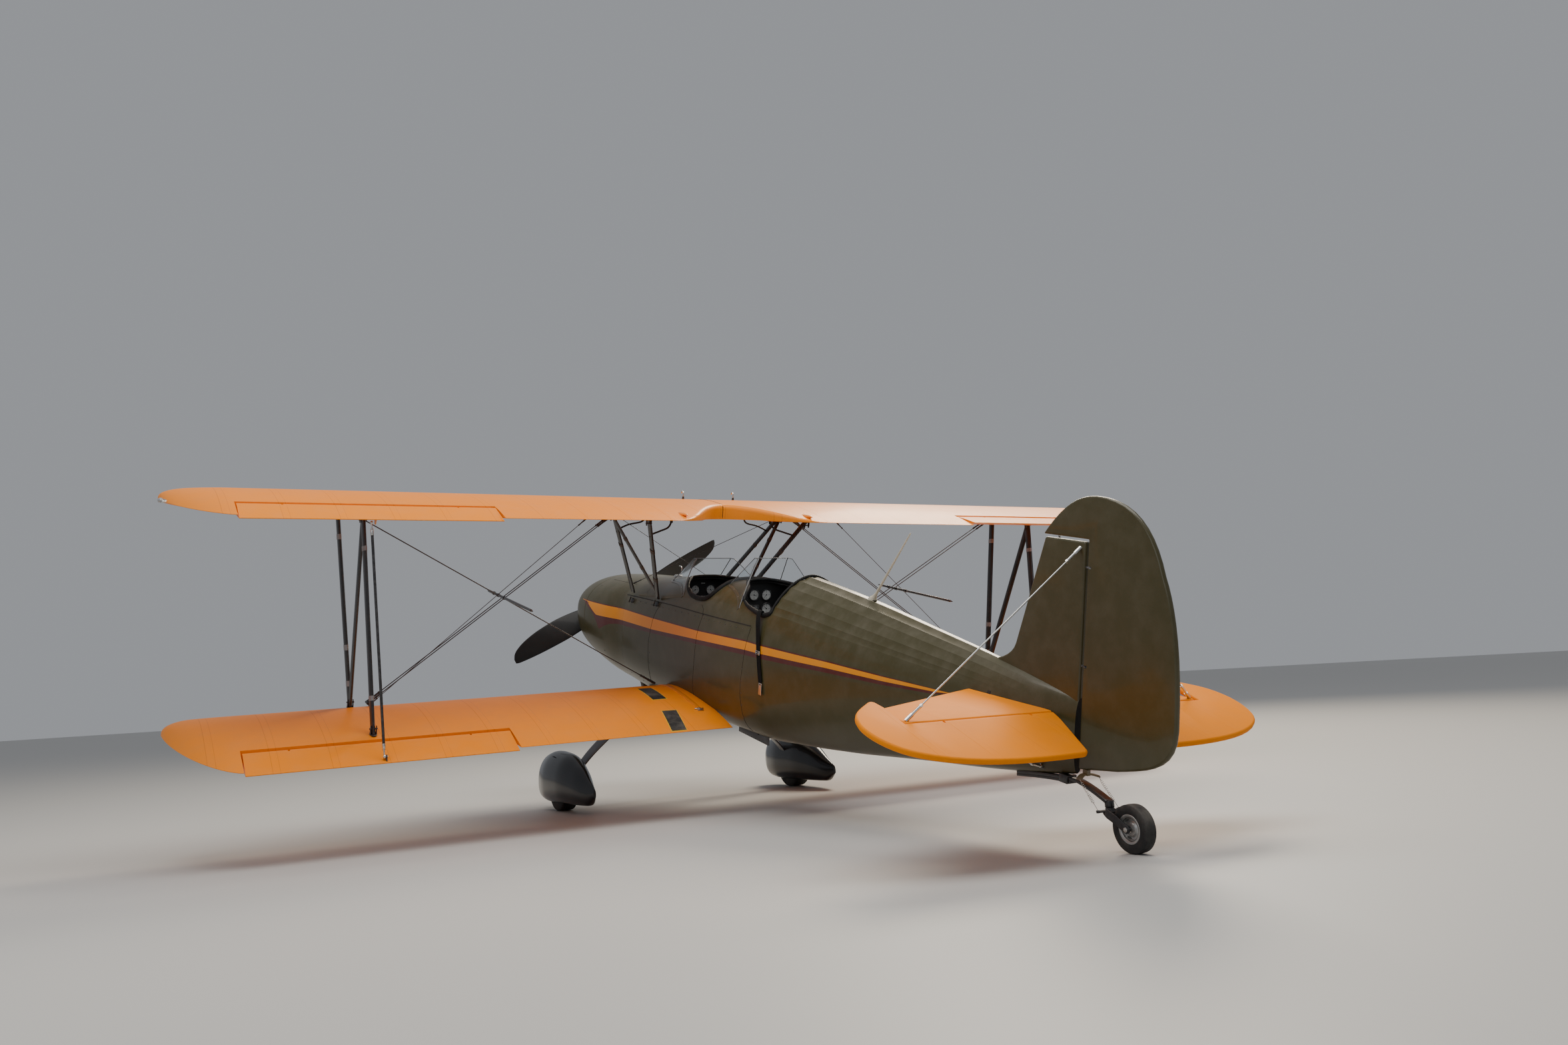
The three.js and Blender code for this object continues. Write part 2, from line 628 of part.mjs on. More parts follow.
const cabaneFeet = {
  front: vec(352, 124, 224),
  rear: vec(354, 587, 240),
  upperFront: wingSeat(upperWing, 690, spar.front, -1),
  upperRear: wingSeat(upperWing, 632, spar.rear, -1),
};

function cabaneStrut() {
  const { front, rear, upperFront, upperRear } = cabaneFeet;
  const thin = 24;
  const frame = joined(
    strut(front, lowered(upperFront, sink), 50, thin),
    strut(rear, lowered(upperRear, sink), 50, thin),
    strut(lowered(rear, 20), lowered(upperFront, -22), 50, thin),
  );
  return cutBy(frame, upperCutter, bodyCutter);
}

// A pair of wires side by side, joined by a lug at each end
function wirePair(from, to, cutters) {
  const half = wireSpacing / 2;
  const along = vec().subVectors(to, from).normalize();
  const lug = (p) => rod(vec(p.x, p.y - half - 8, p.z), vec(p.x, p.y + half + 8, p.z), 8, 8);
  const wires = [-half, half].map((dy) =>
    rod(vec(from.x, from.y + dy, from.z), vec(to.x, to.y + dy, to.z), wireRadius, 6));
  const tangs = [rod(from, from.clone().addScaledVector(along, -34), 7, 6),
    rod(to, to.clone().addScaledVector(along, 34), 7, 6)];
  return cutBy(joined(...wires, lug(from), lug(to), ...tangs), ...cutters);
}

function flyingWires() {
  const low = lowered(wingSeat(lowerWing, 470, 0.09, 1), 22);
  const high = lowered(wingSeat(upperWing, 2540, spar.front, -1), -22);
  return wirePair(low, high, [upperCutter, lowerCutter, bodyCutter]);
}

function landingWires() {
  const low = lowered(wingSeat(lowerWing, 2410, 0.07, 1), 22);
  const high = lowered(wingSeat(upperWing, 770, 0.22, -1), -22);
  return wirePair(low, high, [upperCutter, lowerCutter]);
}

function tailWire(from, to) {
  return cutBy(rod(from, to, wireRadius, 6), bodyCutter);
}

// Gear

// x, y, z of the centre line, chord along y, thickness
const legTable = [
  [150, 290, -503, 150, 24],
  [300, 300, -530, 150, 24],
  [560, 390, -745, 128, 21],
  [790, 452, -935, 108, 18],
  [846, 462, -1010, 96, 18],
  [858, 462, -1092, 90, 18],
];

function legSkin(grow) {
  const rings = legTable.map(([x, y, z, chord, thick], i) => {
    const before = legTable[Math.max(i - 1, 0)];
    const after = legTable[Math.min(i + 1, legTable.length - 1)];
    const along = vec(after[0] - before[0], 0, after[2] - before[2]).normalize();
    const across = vec(-along.z, 0, along.x);
    const [a, b] = [chord / 2 + grow, thick / 2 + grow];
    const corner = 0.7;
    return [[1, 0], [corner, 1], [-corner, 1], [-1, 0], [-corner, -1], [corner, -1]].map(([u, v]) =>
      vec(x, y + u * a, z).addScaledVector(across, v * b));
  });
  return skin(rings);
}

const mainAxle = fromGround(trackHalf, 0, tyreMain.radius);
const tailAxle = fromGround(0, wheelbase, tyreTail.radius);

function gearLeg() {
  const axle = rod(vec(858, mainAxle.y, mainAxle.z), vec(1032, mainAxle.y, mainAxle.z), 16.5, 20);
  return cutBy(joined(legSkin(0), axle), bodyCutter);
}

// aft of the contact line, half width, bottom and top height over the ground
const pantTable = [
  [-405, 8, 205, 262],
  [-350, 62, 118, 335],
  [-230, 108, 66, 386],
  [-60, 131, 55, 408],
  [140, 122, 55, 392],
  [340, 86, 55, 318],
  [500, 44, 58, 226],
  [606, 9, 112, 168],
];

function pantSkin(grow) {
  const count = 16;
  return skin(pantTable.map(([aft, half, bottom, top]) => [...Array(count).keys()].map((i) => {
    const angle = ((i + 0.5) / count) * 2 * Math.PI;
    const c = Math.cos(angle);
    const s = Math.sin(angle);
    const power = 2 / (s > 0 ? 2.1 : 3);
    const mid = bottom + (top - bottom) * 0.42;
    const reach = s > 0 ? top - mid : mid - bottom;
    const x = trackHalf + Math.sign(c) * Math.max(half + grow, 3) * Math.abs(c) ** power;
    return fromGround(x, aft, mid + Math.sign(s) * Math.max(reach + grow, 3) * Math.abs(s) ** power);
  })));
}

function wheelPant() {
  const room = rod(vec(trackHalf - tyreMain.width / 2 - 12, mainAxle.y, mainAxle.z),
    vec(trackHalf + tyreMain.width / 2 + 12, mainAxle.y, mainAxle.z), tyreMain.radius + 14, 28);
  const mouth = [-150, 150].flatMap((aft) => [0, 150].map((height) => fromGround(0, aft, height)));
  const well = skin([trackHalf - 74, trackHalf + 74].map((x) =>
    [mouth[0], mouth[1], mouth[3], mouth[2]].map((p) => vec(x, p.y, p.z))));
  const axleHole = rod(vec(trackHalf - 200, mainAxle.y, mainAxle.z), vec(1032 + fit, mainAxle.y, mainAxle.z),
    16.5 + fit, 20);
  return cutBy(pantSkin(0), room, well, legSkin(fit), axleHole);
}

function tyreProfile({ radius, width, rim, bore }) {
  const half = width / 2;
  const hub = half * 0.75;
  return [
    [-hub, bore], [hub, bore], [hub, bore + 16], [half * 0.35, bore + 22], [half * 0.35, rim - 12],
    [half * 0.78, rim - 6], [half * 0.86, rim + 2], [half, rim + (radius - rim) * 0.42],
    [half * 0.82, radius * 0.965], [half * 0.4, radius], [-half * 0.4, radius], [-half * 0.82, radius * 0.965],
    [-half, rim + (radius - rim) * 0.42], [-half * 0.86, rim + 2], [-half * 0.78, rim - 6],
    [-half * 0.35, rim - 12], [-half * 0.35, bore + 22], [-hub, bore + 16],
  ];
}

const swivelAhead = 134;
const swivelHeight = 183;
const swivel = fromGround(0, wheelbase - swivelAhead, swivelHeight);

// Tail spring leaf from under the fuselage to the swivel head
function tailSpring() {
  const [head, foot, tip] = [200, swivelHeight + 0.5, 216].map((height) =>
    fromGround(0, wheelbase - swivelAhead, height));
  const path = [vec(0, 4260, -100), vec(0, 4400, -72), vec(0, 4520, -56), vec(0, 4604, -52), vec(0, 4700, -68), head];
  const wide = 22;
  const thick = 7;
  const rings = path.map((p, i) => {
    const along = vec().subVectors(path[Math.min(i + 1, 5)], path[Math.max(i - 1, 0)]).normalize();
    const up = vec(0, -along.z, along.y);
    return [[1, 1], [-1, 1], [-1, -1], [1, -1]].map(([u, v]) =>
      vec(p.x + u * wide, p.y, p.z).addScaledVector(up, v * thick));
  });
  return cutBy(joined(skin(rings), rod(foot, tip, 20, 16)), bodyCutter);
}

// Fork about the swivel axis, with its arms outside the tyre
function tailFork() {
  const at = (x, aft, height) => fromGround(x, wheelbase + aft, height).sub(swivel);
  const half = 44;
  const [bridgeAft, bridgeHeight] = [-114, 170];
  const crown = rod(at(0, -swivelAhead, 150), at(0, -swivelAhead, swivelHeight), 20, 16);
  const bridge = rod(at(-half - 4, bridgeAft, bridgeHeight), at(half + 4, bridgeAft, bridgeHeight), 12, 8);
  const arms = [-half, half].map((x) => strut(at(x, bridgeAft, bridgeHeight), at(x, 0, tyreTail.radius), 30, 9));
  const axle = rod(at(-half - 6, 0, tyreTail.radius), at(half + 6, 0, tyreTail.radius), tyreTail.bore - fit, 20);
  const horn = rod(at(-66, -swivelAhead - 8, 170), at(66, -swivelAhead - 8, 170), 6, 8);
  return joined(crown, bridge, ...arms, axle, horn);
}

// Propeller about its own axis, with two wide blades swept back at the tips

// radius, chord, thickness, pitch, sweep
const bladeTable = [
  [50, 66, 52, 62, 0], [140, 92, 40, 55, 0], [260, 140, 27, 45, 0], [400, 180, 20, 37, 0],
  [560, 196, 16, 30, 2], [720, 184, 13, 25, 10], [850, 156, 10, 22, 24], [940, 118, 8, 20, 42],
  [990, 78, 6, 19, 62], [1010, 34, 4, 19, 82],
];

function blade() {
  const across = [[0.5, 0], [0.3, 0.36], [0, 0.5], [-0.3, 0.3], [-0.5, 0.04], [-0.5, -0.04], [-0.3, -0.14],
    [0.1, -0.2], [0.4, -0.16]];
  return skin(bladeTable.map(([radius, chord, thick, pitch, sweep]) => {
    const lead = vec(0, -Math.sin(rad(pitch)), Math.cos(rad(pitch)));
    const back = vec(0, Math.cos(rad(pitch)), Math.sin(rad(pitch))).negate();
    return across.map(([u, v]) => vec(radius, 0, -sweep * 0.75)
      .addScaledVector(lead, u * chord).addScaledVector(back, v * thick));
  }));
}

function propellerBlades() {
  const hub = rod(vec(0, -58, 0), vec(0, 55.5, 0), propeller.hub, 24);
  return joined(hub, blade(), blade().rotateY(Math.PI));
}

function spinner() {
  const profile = [[0, -182], [48, -168], [88, -132], [112, -84], [122, -30], [124, 20], [124, 44], [112, 44],
    [112, -20], [100, -76], [74, -124], [40, -154], [0, -166]].map(([r, y]) => new THREE.Vector2(r, y));
  const shell = new THREE.LatheGeometry(profile, 20);
  const slots = [0, Math.PI].map((turn) => box(0, 170, -62, 62, -62, 62).rotateY(turn));
  const plate = rod(vec(0, 44, 0), vec(0, 36, 0), 124, 20);
  const bore = rod(vec(0, 60, 0), vec(0, 20, 0), propeller.hub + fit, 24);
  return cutBy(joined(shell, plate), ...slots, bore);
}

// Cockpit fittings

// Rolled padding along the rim: points on the deck around the hole, joined by a smooth closed curve
function deckHeight(x, y, grow = 0) {
  const [, half, mid, top, , upperPower] = bodySection(y);
  const u = Math.min(Math.abs(x) / (half + grow), 0.999);
  return mid + (top - mid + grow) * (1 - u ** upperPower) ** (1 / upperPower);
}

function coaming(cockpit, grow = 0) {
  const roll = 15;
  const x = cockpit.half - 4;
  const y0 = cockpit.padding;
  const y1 = Math.min(cockpit.end - 4, deckSplit - roll - fit);
  const corner = cockpit.corner;
  const half = cockpit.end > deckSplit
    ? [[x, y0], [x, (y0 + y1) / 2], [x, y1 - 60], [x - 4, y1 - 14], [x - 24, y1], [x - 90, y1], [x - 190, y1],
      [60, y1]]
    : [[x, y0], [x, (y0 + y1 - corner) / 2], [x, y1 - corner], [x - 0.08 * corner, y1 - 0.5 * corner],
      [x - 0.3 * corner, y1 - 0.22 * corner], [x - 0.66 * corner, y1 - 0.04 * corner], [x - corner, y1]];
  const around = [...half, ...[...half].reverse().map(([px, py]) => [-px, py])];
  const path = new THREE.CatmullRomCurve3(around.map(([px, py]) =>
    vec(px, py, deckHeight(px, py) + roll * 0.2)));
  const section = new THREE.Shape().absarc(0, 0, roll + grow, 0, 2 * Math.PI, false);
  return new THREE.ExtrudeGeometry(section, { steps: 24, extrudePath: path, curveSegments: 4 });
}

function rimRoll(cockpit) {
  const shell = solidOf(bodySkin(0, deckSplit + fit, fit)).subtract(solidOf(bodySkin(25, 2400, -wall - fit)));
  const opened = shell.subtract(solidOf(planPrism(cockpitOutline(cockpit, -fit), floorTop, deckHigh)));
  return geometryOf(solidOf(coaming(cockpit)).subtract(opened));
}

// Panel across the cockpit's front, cut to the inside of the shell
function instrumentPanel(cockpit, low) {
  const thick = 12;
  const blank = box(-400, 400, cockpit.start - thick - 2, cockpit.start - 2, low, 700);
  return geometryOf(solidOf(blank).intersect(solidOf(bodySkin(0, 2130, -wall - fit))));
}

// Seat with its pan, back and side legs; the cushion lies on the pan and against the back
function seat({ y, back }) {
  const half = 205;
  return cutBy(joined(
    box(-half, half, y, back, -318, -308),
    box(-half, half, back - 10, back, -312, 190),
    box(-half, -half + 12, y + 20, back, -490, -310),
    box(half - 12, half, y + 20, back, -490, -310),
  ), shellBlock);
}

function cushion({ y, back }) {
  const half = 190;
  const front = back - 10 - fit;
  return joined(
    box(-half, half, y + 12, front, -308 + fit, -236),
    box(-half, half, front - 62, front, -240, 176),
  );
}

const seats = {
  front: { y: 900, back: 1330 },
  rear: { y: 1640, back: 2070 },
};

function controlSticks() {
  const axis = -380;
  const tube = rod(vec(0, 820, axis), vec(0, 1620, axis), 12, 10);
  const sticks = [850, 1590].map((y) => rod(vec(0, y, axis), vec(0, y + 58, 90), 11, 10));
  const stands = [840, 1580].map((y) => box(-16, 16, y - 10, y + 10, -482, axis));
  return cutBy(joined(tube, ...sticks, ...stands), shellBlock);
}

// Three-facet windshield standing on the deck: plan corners at the foot and at the top edge
function windshield({ foot, top }) {
  const thick = 4;
  const band = ({ wide, front, side, rear, z }) => {
    const outer = [vec(side, rear, z), vec(wide, front, z), vec(-wide, front, z), vec(-side, rear, z)];
    const inner = [vec(-side + thick, rear, z), vec(-wide + thick * 0.6, front + thick, z),
      vec(wide - thick * 0.6, front + thick, z), vec(side - thick, rear, z)];
    return [...outer, ...inner];
  };
  return cutBy(skin([band(foot), band(top)]), bodySkin(0, 2130, fit));
}

const screens = {
  front: {
    foot: { wide: 203, front: 327, side: 339, rear: 928, z: 240 },
    top: { wide: 150, front: 740, side: 152, rear: 790, z: 540 },
  },
  rear: {
    foot: { wide: 246, front: 1231, side: 327, rear: 1761, z: 270 },
    top: { wide: 125, front: 1622, side: 128, rear: 1680, z: 638 },
  },
};

function antenna() {
  const base = vec(0, 2850, 524 + fit);
  const foot = new THREE.LatheGeometry([[0, 0], [26, 0], [24, 8], [9, 40], [7, 60], [0, 60]]
    .map(([r, h]) => new THREE.Vector2(r, h)), 14).rotateX(Math.PI / 2).translate(...base.toArray());
  const whip = rod(vec(0, base.y + 2, base.z + 30), vec(0, 3198, 950), 4, 8);
  return cutBy(joined(foot, whip), bodyCutter);
}

// Harness strap that hangs over the left rim: half width, then x, y, z of its line
function harnessStrap() {
  const half = 22;
  const thick = 2;
  const path = [vec(285, 2066, 215), vec(287, 2068, 322), vec(300, 2074, 355), vec(318, 2080, 352),
    vec(338, 2098, 318), vec(358, 2140, 240), vec(368, 2175, 130), vec(371, 2200, 40), vec(368, 2222, -57)];
  const rings = path.map((p, i) => {
    const along = vec().subVectors(path[Math.min(i + 1, path.length - 1)], path[Math.max(i - 1, 0)]).normalize();
    const out = vec(along.z, 0, -along.x).normalize();
    return [[1, 1], [-1, 1], [-1, -1], [1, -1]].map(([u, v]) =>
      vec(p.x, p.y + u * half, p.z).addScaledVector(out, v * thick));
  });
  return cutBy(skin(rings), coaming(cockpits.rear, fit), bodyCutter);
}

// Assembly

const machine = new THREE.Group();
const airframe = new THREE.Group();
airframe.rotation.x = -rad(parkedAttitude);
machine.add(airframe);

function add(name, geometry, material, parent = airframe) {
  const mesh = new THREE.Mesh(geometry, material);
  mesh.name = name;
  parent.add(mesh);
  return mesh;
}

// The right-hand copy of a left-hand piece, mirrored in x
function mirrored(geometry) {
  const copy = geometry.clone().scale(-1, 1, 1);
  if (!copy.index) copy.setIndex([...Array(copy.attributes.position.count).keys()]);
  copy.setIndex(Array.from(copy.index.array).reverse());
  return copy;
}

function addPair(name, geometry, material, parent = airframe) {
  add(`${name}_left`, geometry, material, parent);
  add(`${name}_right`, mirrored(geometry), material, parent);
}

// A named turning frame at a pivot in airframe axes
function pivot(name, at, parent = airframe) {
  const frame = new THREE.Group();
  frame.name = name;
  frame.position.copy(at);
  parent.add(frame);
  return frame;
}

add('nose_bowl', noseBowl(), olive);
add('engine_cowl', engineCowl(), olive);
add('engine_block', engineBlock(), darkMetal);
addPair('exhaust_stack', exhaustStack(1), darkMetal);
add('forward_fuselage', forwardFuselage(), olive);
add('rear_fuselage', rearFuselage(), olive);
add('fin', fin(), olive);
addPair('stabilizer', stabilizer(), orange);
addPair('upper_wing', cutBy(wingPanel(upperWing), cutoutBlock), orange);
addPair('lower_wing', cutBy(wingPanel(lowerWing), bodyCutter), orange);
addPair('interplane_strut', interplaneStrut(), blackPaint);
addPair('cabane_strut', cabaneStrut(), blackPaint);
addPair('flying_wires', flyingWires(), steel);
addPair('landing_wires', landingWires(), steel);
addPair('tail_wire_upper', tailWire(vec(866, 4442, 241 + fit + 3), vec(21, 4562, 1005)), steel);
addPair('tail_wire_lower', tailWire(vec(866, 4442, 211 - fit - 3), vec(20, 4400, -40)), steel);
addPair('gear_leg', gearLeg(), navyPaint);
addPair('wheel_pant', wheelPant(), navyPaint);
add('tail_spring', tailSpring(), blackPaint);
add('antenna', antenna(), whitePaint);
for (const [name, cockpit] of Object.entries(cockpits)) {
  add(`${name}_coaming`, rimRoll(cockpit), blackLeather);
  add(`${name}_seat`, seat(seats[name]), darkMetal);
  add(`${name}_cushion`, cushion(seats[name]), blackLeather);
  add(`${name}_windshield`, windshield(screens[name]), clearPlastic);
}
add('front_panel', instrumentPanel(cockpits.front, 120), blackPaint);
add('rear_panel', instrumentPanel(cockpits.rear, 150), blackPaint);
add('control_sticks', controlSticks(), blackPaint);
add('harness_strap', harnessStrap(), webbing);

const propellerFrame = pivot('propeller_shaft', vec(0, propeller.y, 0));
propellerFrame.rotation.y = rad(-propeller.angle);
add('propeller_blades', propellerBlades(), blackComposite, propellerFrame);
add('spinner', spinner(), blackComposite, propellerFrame);

for (const [side, sign] of [['left', 1], ['right', -1]]) {
  const frame = pivot(`wheel_${side}_axle`, vec(sign * mainAxle.x, mainAxle.y, mainAxle.z));
  add(`wheel_${side}`, turnedAboutX(tyreProfile(tyreMain), 24), rubber, frame);
}

const forkFrame = pivot('tail_swivel', swivel);
add('tailwheel_fork', tailFork(), blackPaint, forkFrame);
const tailwheelFrame = pivot('tailwheel_axle', tailAxle);
add('tailwheel', turnedAboutX(tyreProfile(tyreTail), 20), rubber, tailwheelFrame);

const rudderFrame = pivot('rudder_hinge', vec(0, hinges.rudderY, 0));
add('rudder', rudder(), olive, rudderFrame);

const elevatorFrame = pivot('elevator_hinge', vec(0, hinges.elevatorY, hinges.elevatorZ));
elevatorFrame.rotation.x = -rad(hinges.elevatorDroop);
addPair('elevator', elevator(), orange, elevatorFrame);

// Ailerons turned from neutral about their swept hinge lines: the left pair down, the right pair up
const slaveEnds = { left: {}, right: {} };
for (const [level, wing] of [['upper', upperWing], ['lower', lowerWing]]) {
  const [inner, outer] = aileronHingeLine(wing);
  const shape = aileron(wing);
  const end = slavePivot(wing);
  for (const [side, sign] of [['left', 1], ['right', -1]]) {
    const from = vec(sign * inner.x, inner.y, inner.z);
    const to = vec(sign * outer.x, outer.y, outer.z);
    const axis = vec().subVectors(to, from).normalize().multiplyScalar(sign);
    const geometry = (sign > 0 ? shape : mirrored(shape)).clone().translate(-from.x, -from.y, -from.z);
    const frame = pivot(`aileron_${level}_${side}_hinge`, from);
    frame.quaternion.setFromAxisAngle(axis, -sign * rad(aileronDroop));
    add(`aileron_${level}_${side}`, geometry, orange, frame);
    slaveEnds[side][level] = vec(sign * end.x, end.y, end.z).sub(from)
      .applyQuaternion(frame.quaternion).add(from);
  }
}

for (const [side, sign] of [['left', 1], ['right', -1]]) {
  const { lower, upper } = slaveEnds[side];
  const leftHanded = (p) => vec(sign * p.x, p.y, p.z);
  const strutShape = slaveStrut(leftHanded(lower), leftHanded(upper));
  const geometry = (sign > 0 ? strutShape : mirrored(strutShape)).clone().translate(-lower.x, -lower.y, -lower.z);
  add(`slave_strut_${side}`, geometry, blackPaint, pivot(`slave_strut_${side}_hinge`, lower));
}

machine.updateMatrixWorld(true);
const bounds = new THREE.Box3();
machine.traverse((object) => {
  if (object.isMesh) bounds.expandByObject(object, true);
});
machine.position.set(-(bounds.min.x + bounds.max.x) / 2, -(bounds.min.y + bounds.max.y) / 2, -bounds.min.z);

export default machine;
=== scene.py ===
# %% [markdown]
# # A two-seat sport biplane, dressed piece by piece
# The machine stands on its main wheels and tailwheel: olive fuselage, orange fabric wings and tail,
# black struts and dark wheel fairings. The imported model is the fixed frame. Every piece here is made
# in airframe axes, which are easier to think in: X to the left wing, Y aft along the thrust line and
# Z up from it. The parked machine sits nose-up, so a finished mesh is turned into the frame last.

# %% Frame
import json
import math

import bmesh
import bpy
import numpy as np
from mathutils import Matrix, Vector

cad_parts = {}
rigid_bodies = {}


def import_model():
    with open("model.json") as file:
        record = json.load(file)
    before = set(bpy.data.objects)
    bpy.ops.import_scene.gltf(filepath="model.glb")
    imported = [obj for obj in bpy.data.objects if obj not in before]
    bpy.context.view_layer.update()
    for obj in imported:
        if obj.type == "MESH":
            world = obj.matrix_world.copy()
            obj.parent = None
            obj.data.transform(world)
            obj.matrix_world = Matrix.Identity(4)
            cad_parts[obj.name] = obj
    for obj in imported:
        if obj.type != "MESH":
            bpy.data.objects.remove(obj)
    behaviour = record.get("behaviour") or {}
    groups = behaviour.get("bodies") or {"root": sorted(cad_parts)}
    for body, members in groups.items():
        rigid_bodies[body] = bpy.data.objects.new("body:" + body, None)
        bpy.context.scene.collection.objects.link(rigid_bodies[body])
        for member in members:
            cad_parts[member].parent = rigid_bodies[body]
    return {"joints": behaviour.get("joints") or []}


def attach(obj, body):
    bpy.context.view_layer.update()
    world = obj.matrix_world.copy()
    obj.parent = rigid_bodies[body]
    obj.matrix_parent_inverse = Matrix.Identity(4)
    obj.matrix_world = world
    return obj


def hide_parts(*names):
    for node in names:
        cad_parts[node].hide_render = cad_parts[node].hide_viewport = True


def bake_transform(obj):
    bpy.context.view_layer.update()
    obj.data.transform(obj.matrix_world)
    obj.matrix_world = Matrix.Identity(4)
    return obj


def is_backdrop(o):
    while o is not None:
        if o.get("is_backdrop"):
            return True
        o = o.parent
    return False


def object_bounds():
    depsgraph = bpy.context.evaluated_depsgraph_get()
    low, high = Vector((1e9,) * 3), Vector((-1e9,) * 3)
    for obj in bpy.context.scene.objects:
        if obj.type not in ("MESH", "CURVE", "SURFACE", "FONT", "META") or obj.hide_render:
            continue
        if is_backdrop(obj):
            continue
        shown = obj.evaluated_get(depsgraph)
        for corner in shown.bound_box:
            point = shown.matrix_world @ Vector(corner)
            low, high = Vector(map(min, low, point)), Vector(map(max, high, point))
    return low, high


bpy.ops.object.select_all(action="SELECT")
bpy.ops.object.delete()
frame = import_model()
cad_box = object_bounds()
joints = {joint["name"]: joint for joint in frame["joints"]}

# %% [markdown]
# ## Where the airframe axes lie
# The propeller's joint and the rudder's joint both stand on the thrust line, so the line between
# them gives the nose-up angle and the place of the firewall, where Y is zero.

# %% Airframe axes
PROPELLER_Y = -1.014
RUDDER_Y = 4.618
shaft = Vector(joints["propeller_spin"]["pos_m"])
rudder_foot = Vector(joints["rudder_swing"]["pos_m"])
aft_line = (rudder_foot - shaft).normalized()
PITCH = math.atan2(-aft_line.z, aft_line.y)
firewall = shaft - aft_line * PROPELLER_Y
AIRFRAME = Matrix.Translation(firewall) @ Matrix.Rotation(-PITCH, 4, "X")
TO_AIRFRAME = AIRFRAME.inverted()
print("nose-up angle", round(math.degrees(PITCH), 3), "firewall at", [round(v, 4) for v in firewall])

# %% [markdown]
# ## Camera
# The camera stands behind the left wing, low, and looks up a little towards the nose. Its turn, tilt
# and roll are worked into three axes, and a small shift keeps the photograph's framing.

# %% Camera
LENS_PIXELS = 1834
PHOTO_WIDTH = 2353
CAMERA_YAW, CAMERA_TILT, CAMERA_ROLL = (math.radians(a) for a in (30.03, 12.22, -3.307))
CAMERA_PLACE = Vector((4.001, 6.885, 0.814))
CENTRE_OFF = Vector((-4.5, -161.5))

look = Vector((-math.sin(CAMERA_YAW) * math.cos(CAMERA_TILT),
               -math.cos(CAMERA_YAW) * math.cos(CAMERA_TILT), math.sin(CAMERA_TILT)))
right = Vector((-math.cos(CAMERA_YAW), math.sin(CAMERA_YAW), 0))
up = right.cross(look)
right, up = (right * math.cos(CAMERA_ROLL) + up * math.sin(CAMERA_ROLL),
             up * math.cos(CAMERA_ROLL) - right * math.sin(CAMERA_ROLL))
lens = bpy.data.cameras.new("camera")
lens.sensor_width = 36
lens.lens = lens.sensor_width * LENS_PIXELS / PHOTO_WIDTH
lens.shift_x = -CENTRE_OFF.x / PHOTO_WIDTH
lens.shift_y = CENTRE_OFF.y / PHOTO_WIDTH
lens.clip_end = 200
camera = bpy.data.objects.new("camera", lens)
camera.matrix_world = Matrix.Translation(CAMERA_PLACE) @ Matrix((right, up, -look)).transposed().to_4x4()
bpy.context.scene.collection.objects.link(camera)
bpy.context.scene.camera = camera
print("lens", round(lens.lens, 2), "mm, shift", round(lens.shift_x, 4), round(lens.shift_y, 4))

# %% [markdown]
# ## Floor and light
# A plain pale floor runs to a pale surround. One large warm lamp stands high in front of the right
# wing, as the low sun does, a wide cool one fills the near side, and a long one lights the wings'
# tops from behind. All three are soft, so gloss shows as broad reflections.

# %% Floor and light
def material(name):
    made = bpy.data.materials.new(name)
    made.use_nodes = True
    made.node_tree.nodes.clear()
    return made


def node(tree, kind, links=None, **settings):
    made = tree.nodes.new(kind)
    for key, value in settings.items():
        setattr(made, key, value)
    for key, value in (links or {}).items():
        if isinstance(value, bpy.types.NodeSocket):
            tree.links.new(value, made.inputs[key])
        else:
            made.inputs[key].default_value = value
    return made


def shaded(made, **sockets):
    tree = made.node_tree
    links = {key.replace("_", " "): value for key, value in sockets.items()}
    shader = node(tree, "ShaderNodeBsdfPrincipled", links)
    output = tree.nodes.new("ShaderNodeOutputMaterial")
    tree.links.new(shader.outputs[0], output.inputs["Surface"])
    return made


bpy.ops.object.select_all(action="DESELECT")
bpy.ops.mesh.primitive_circle_add(vertices=96, radius=70, fill_type="NGON", location=(0, 0, 0))
floor = bpy.context.object
floor.name = "floor"
floor_material = material("pale_floor")
floor_noise = node(floor_material.node_tree, "ShaderNodeTexNoise", {"Scale": 3.0, "Detail": 6.0})
floor_tone = node(floor_material.node_tree, "ShaderNodeMapRange",
                  {"Value": floor_noise.outputs["Fac"], "To Min": 0.5, "To Max": 0.62})
shaded(floor_material, Base_Color=(0.52, 0.51, 0.49, 1), Roughness=floor_tone.outputs[0])
floor.data.materials.append(floor_material)
floor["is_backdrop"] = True

surround = bpy.context.scene.world or bpy.data.worlds.new("surround")
bpy.context.scene.world = surround
surround.use_nodes = True
SURROUND_TONE = (0.78, 0.81, 0.86, 1)
surround.node_tree.nodes["Background"].inputs["Color"].default_value = SURROUND_TONE
surround.node_tree.nodes["Background"].inputs["Strength"].default_value = 0.4


def lamp(name, place, aim, size, power, colour):
    data = bpy.data.lights.new(name, "AREA")
    data.shape = "RECTANGLE"
    data.size, data.size_y = size
    data.energy, data.color = power, colour
    made = bpy.data.objects.new(name, data)
    made.location = place
    made.rotation_euler = (Vector(aim) - Vector(place)).to_track_quat("-Z", "Y").to_euler()
    bpy.context.scene.collection.objects.link(made)


lamp("sun_side", (-7.5, -6.0, 9.0), (0, 0, 1), (5, 5), 1350, (1.0, 0.88, 0.7))
lamp("near_fill", (9.5, 6.5, 5.5), (0, 0.4, 1), (8, 5), 190, (0.9, 0.94, 1.0))
lamp("top_strip", (1.0, 2.0, 8.5), (0, -0.5, 1), (11, 5), 720, (1.0, 0.97, 0.92))

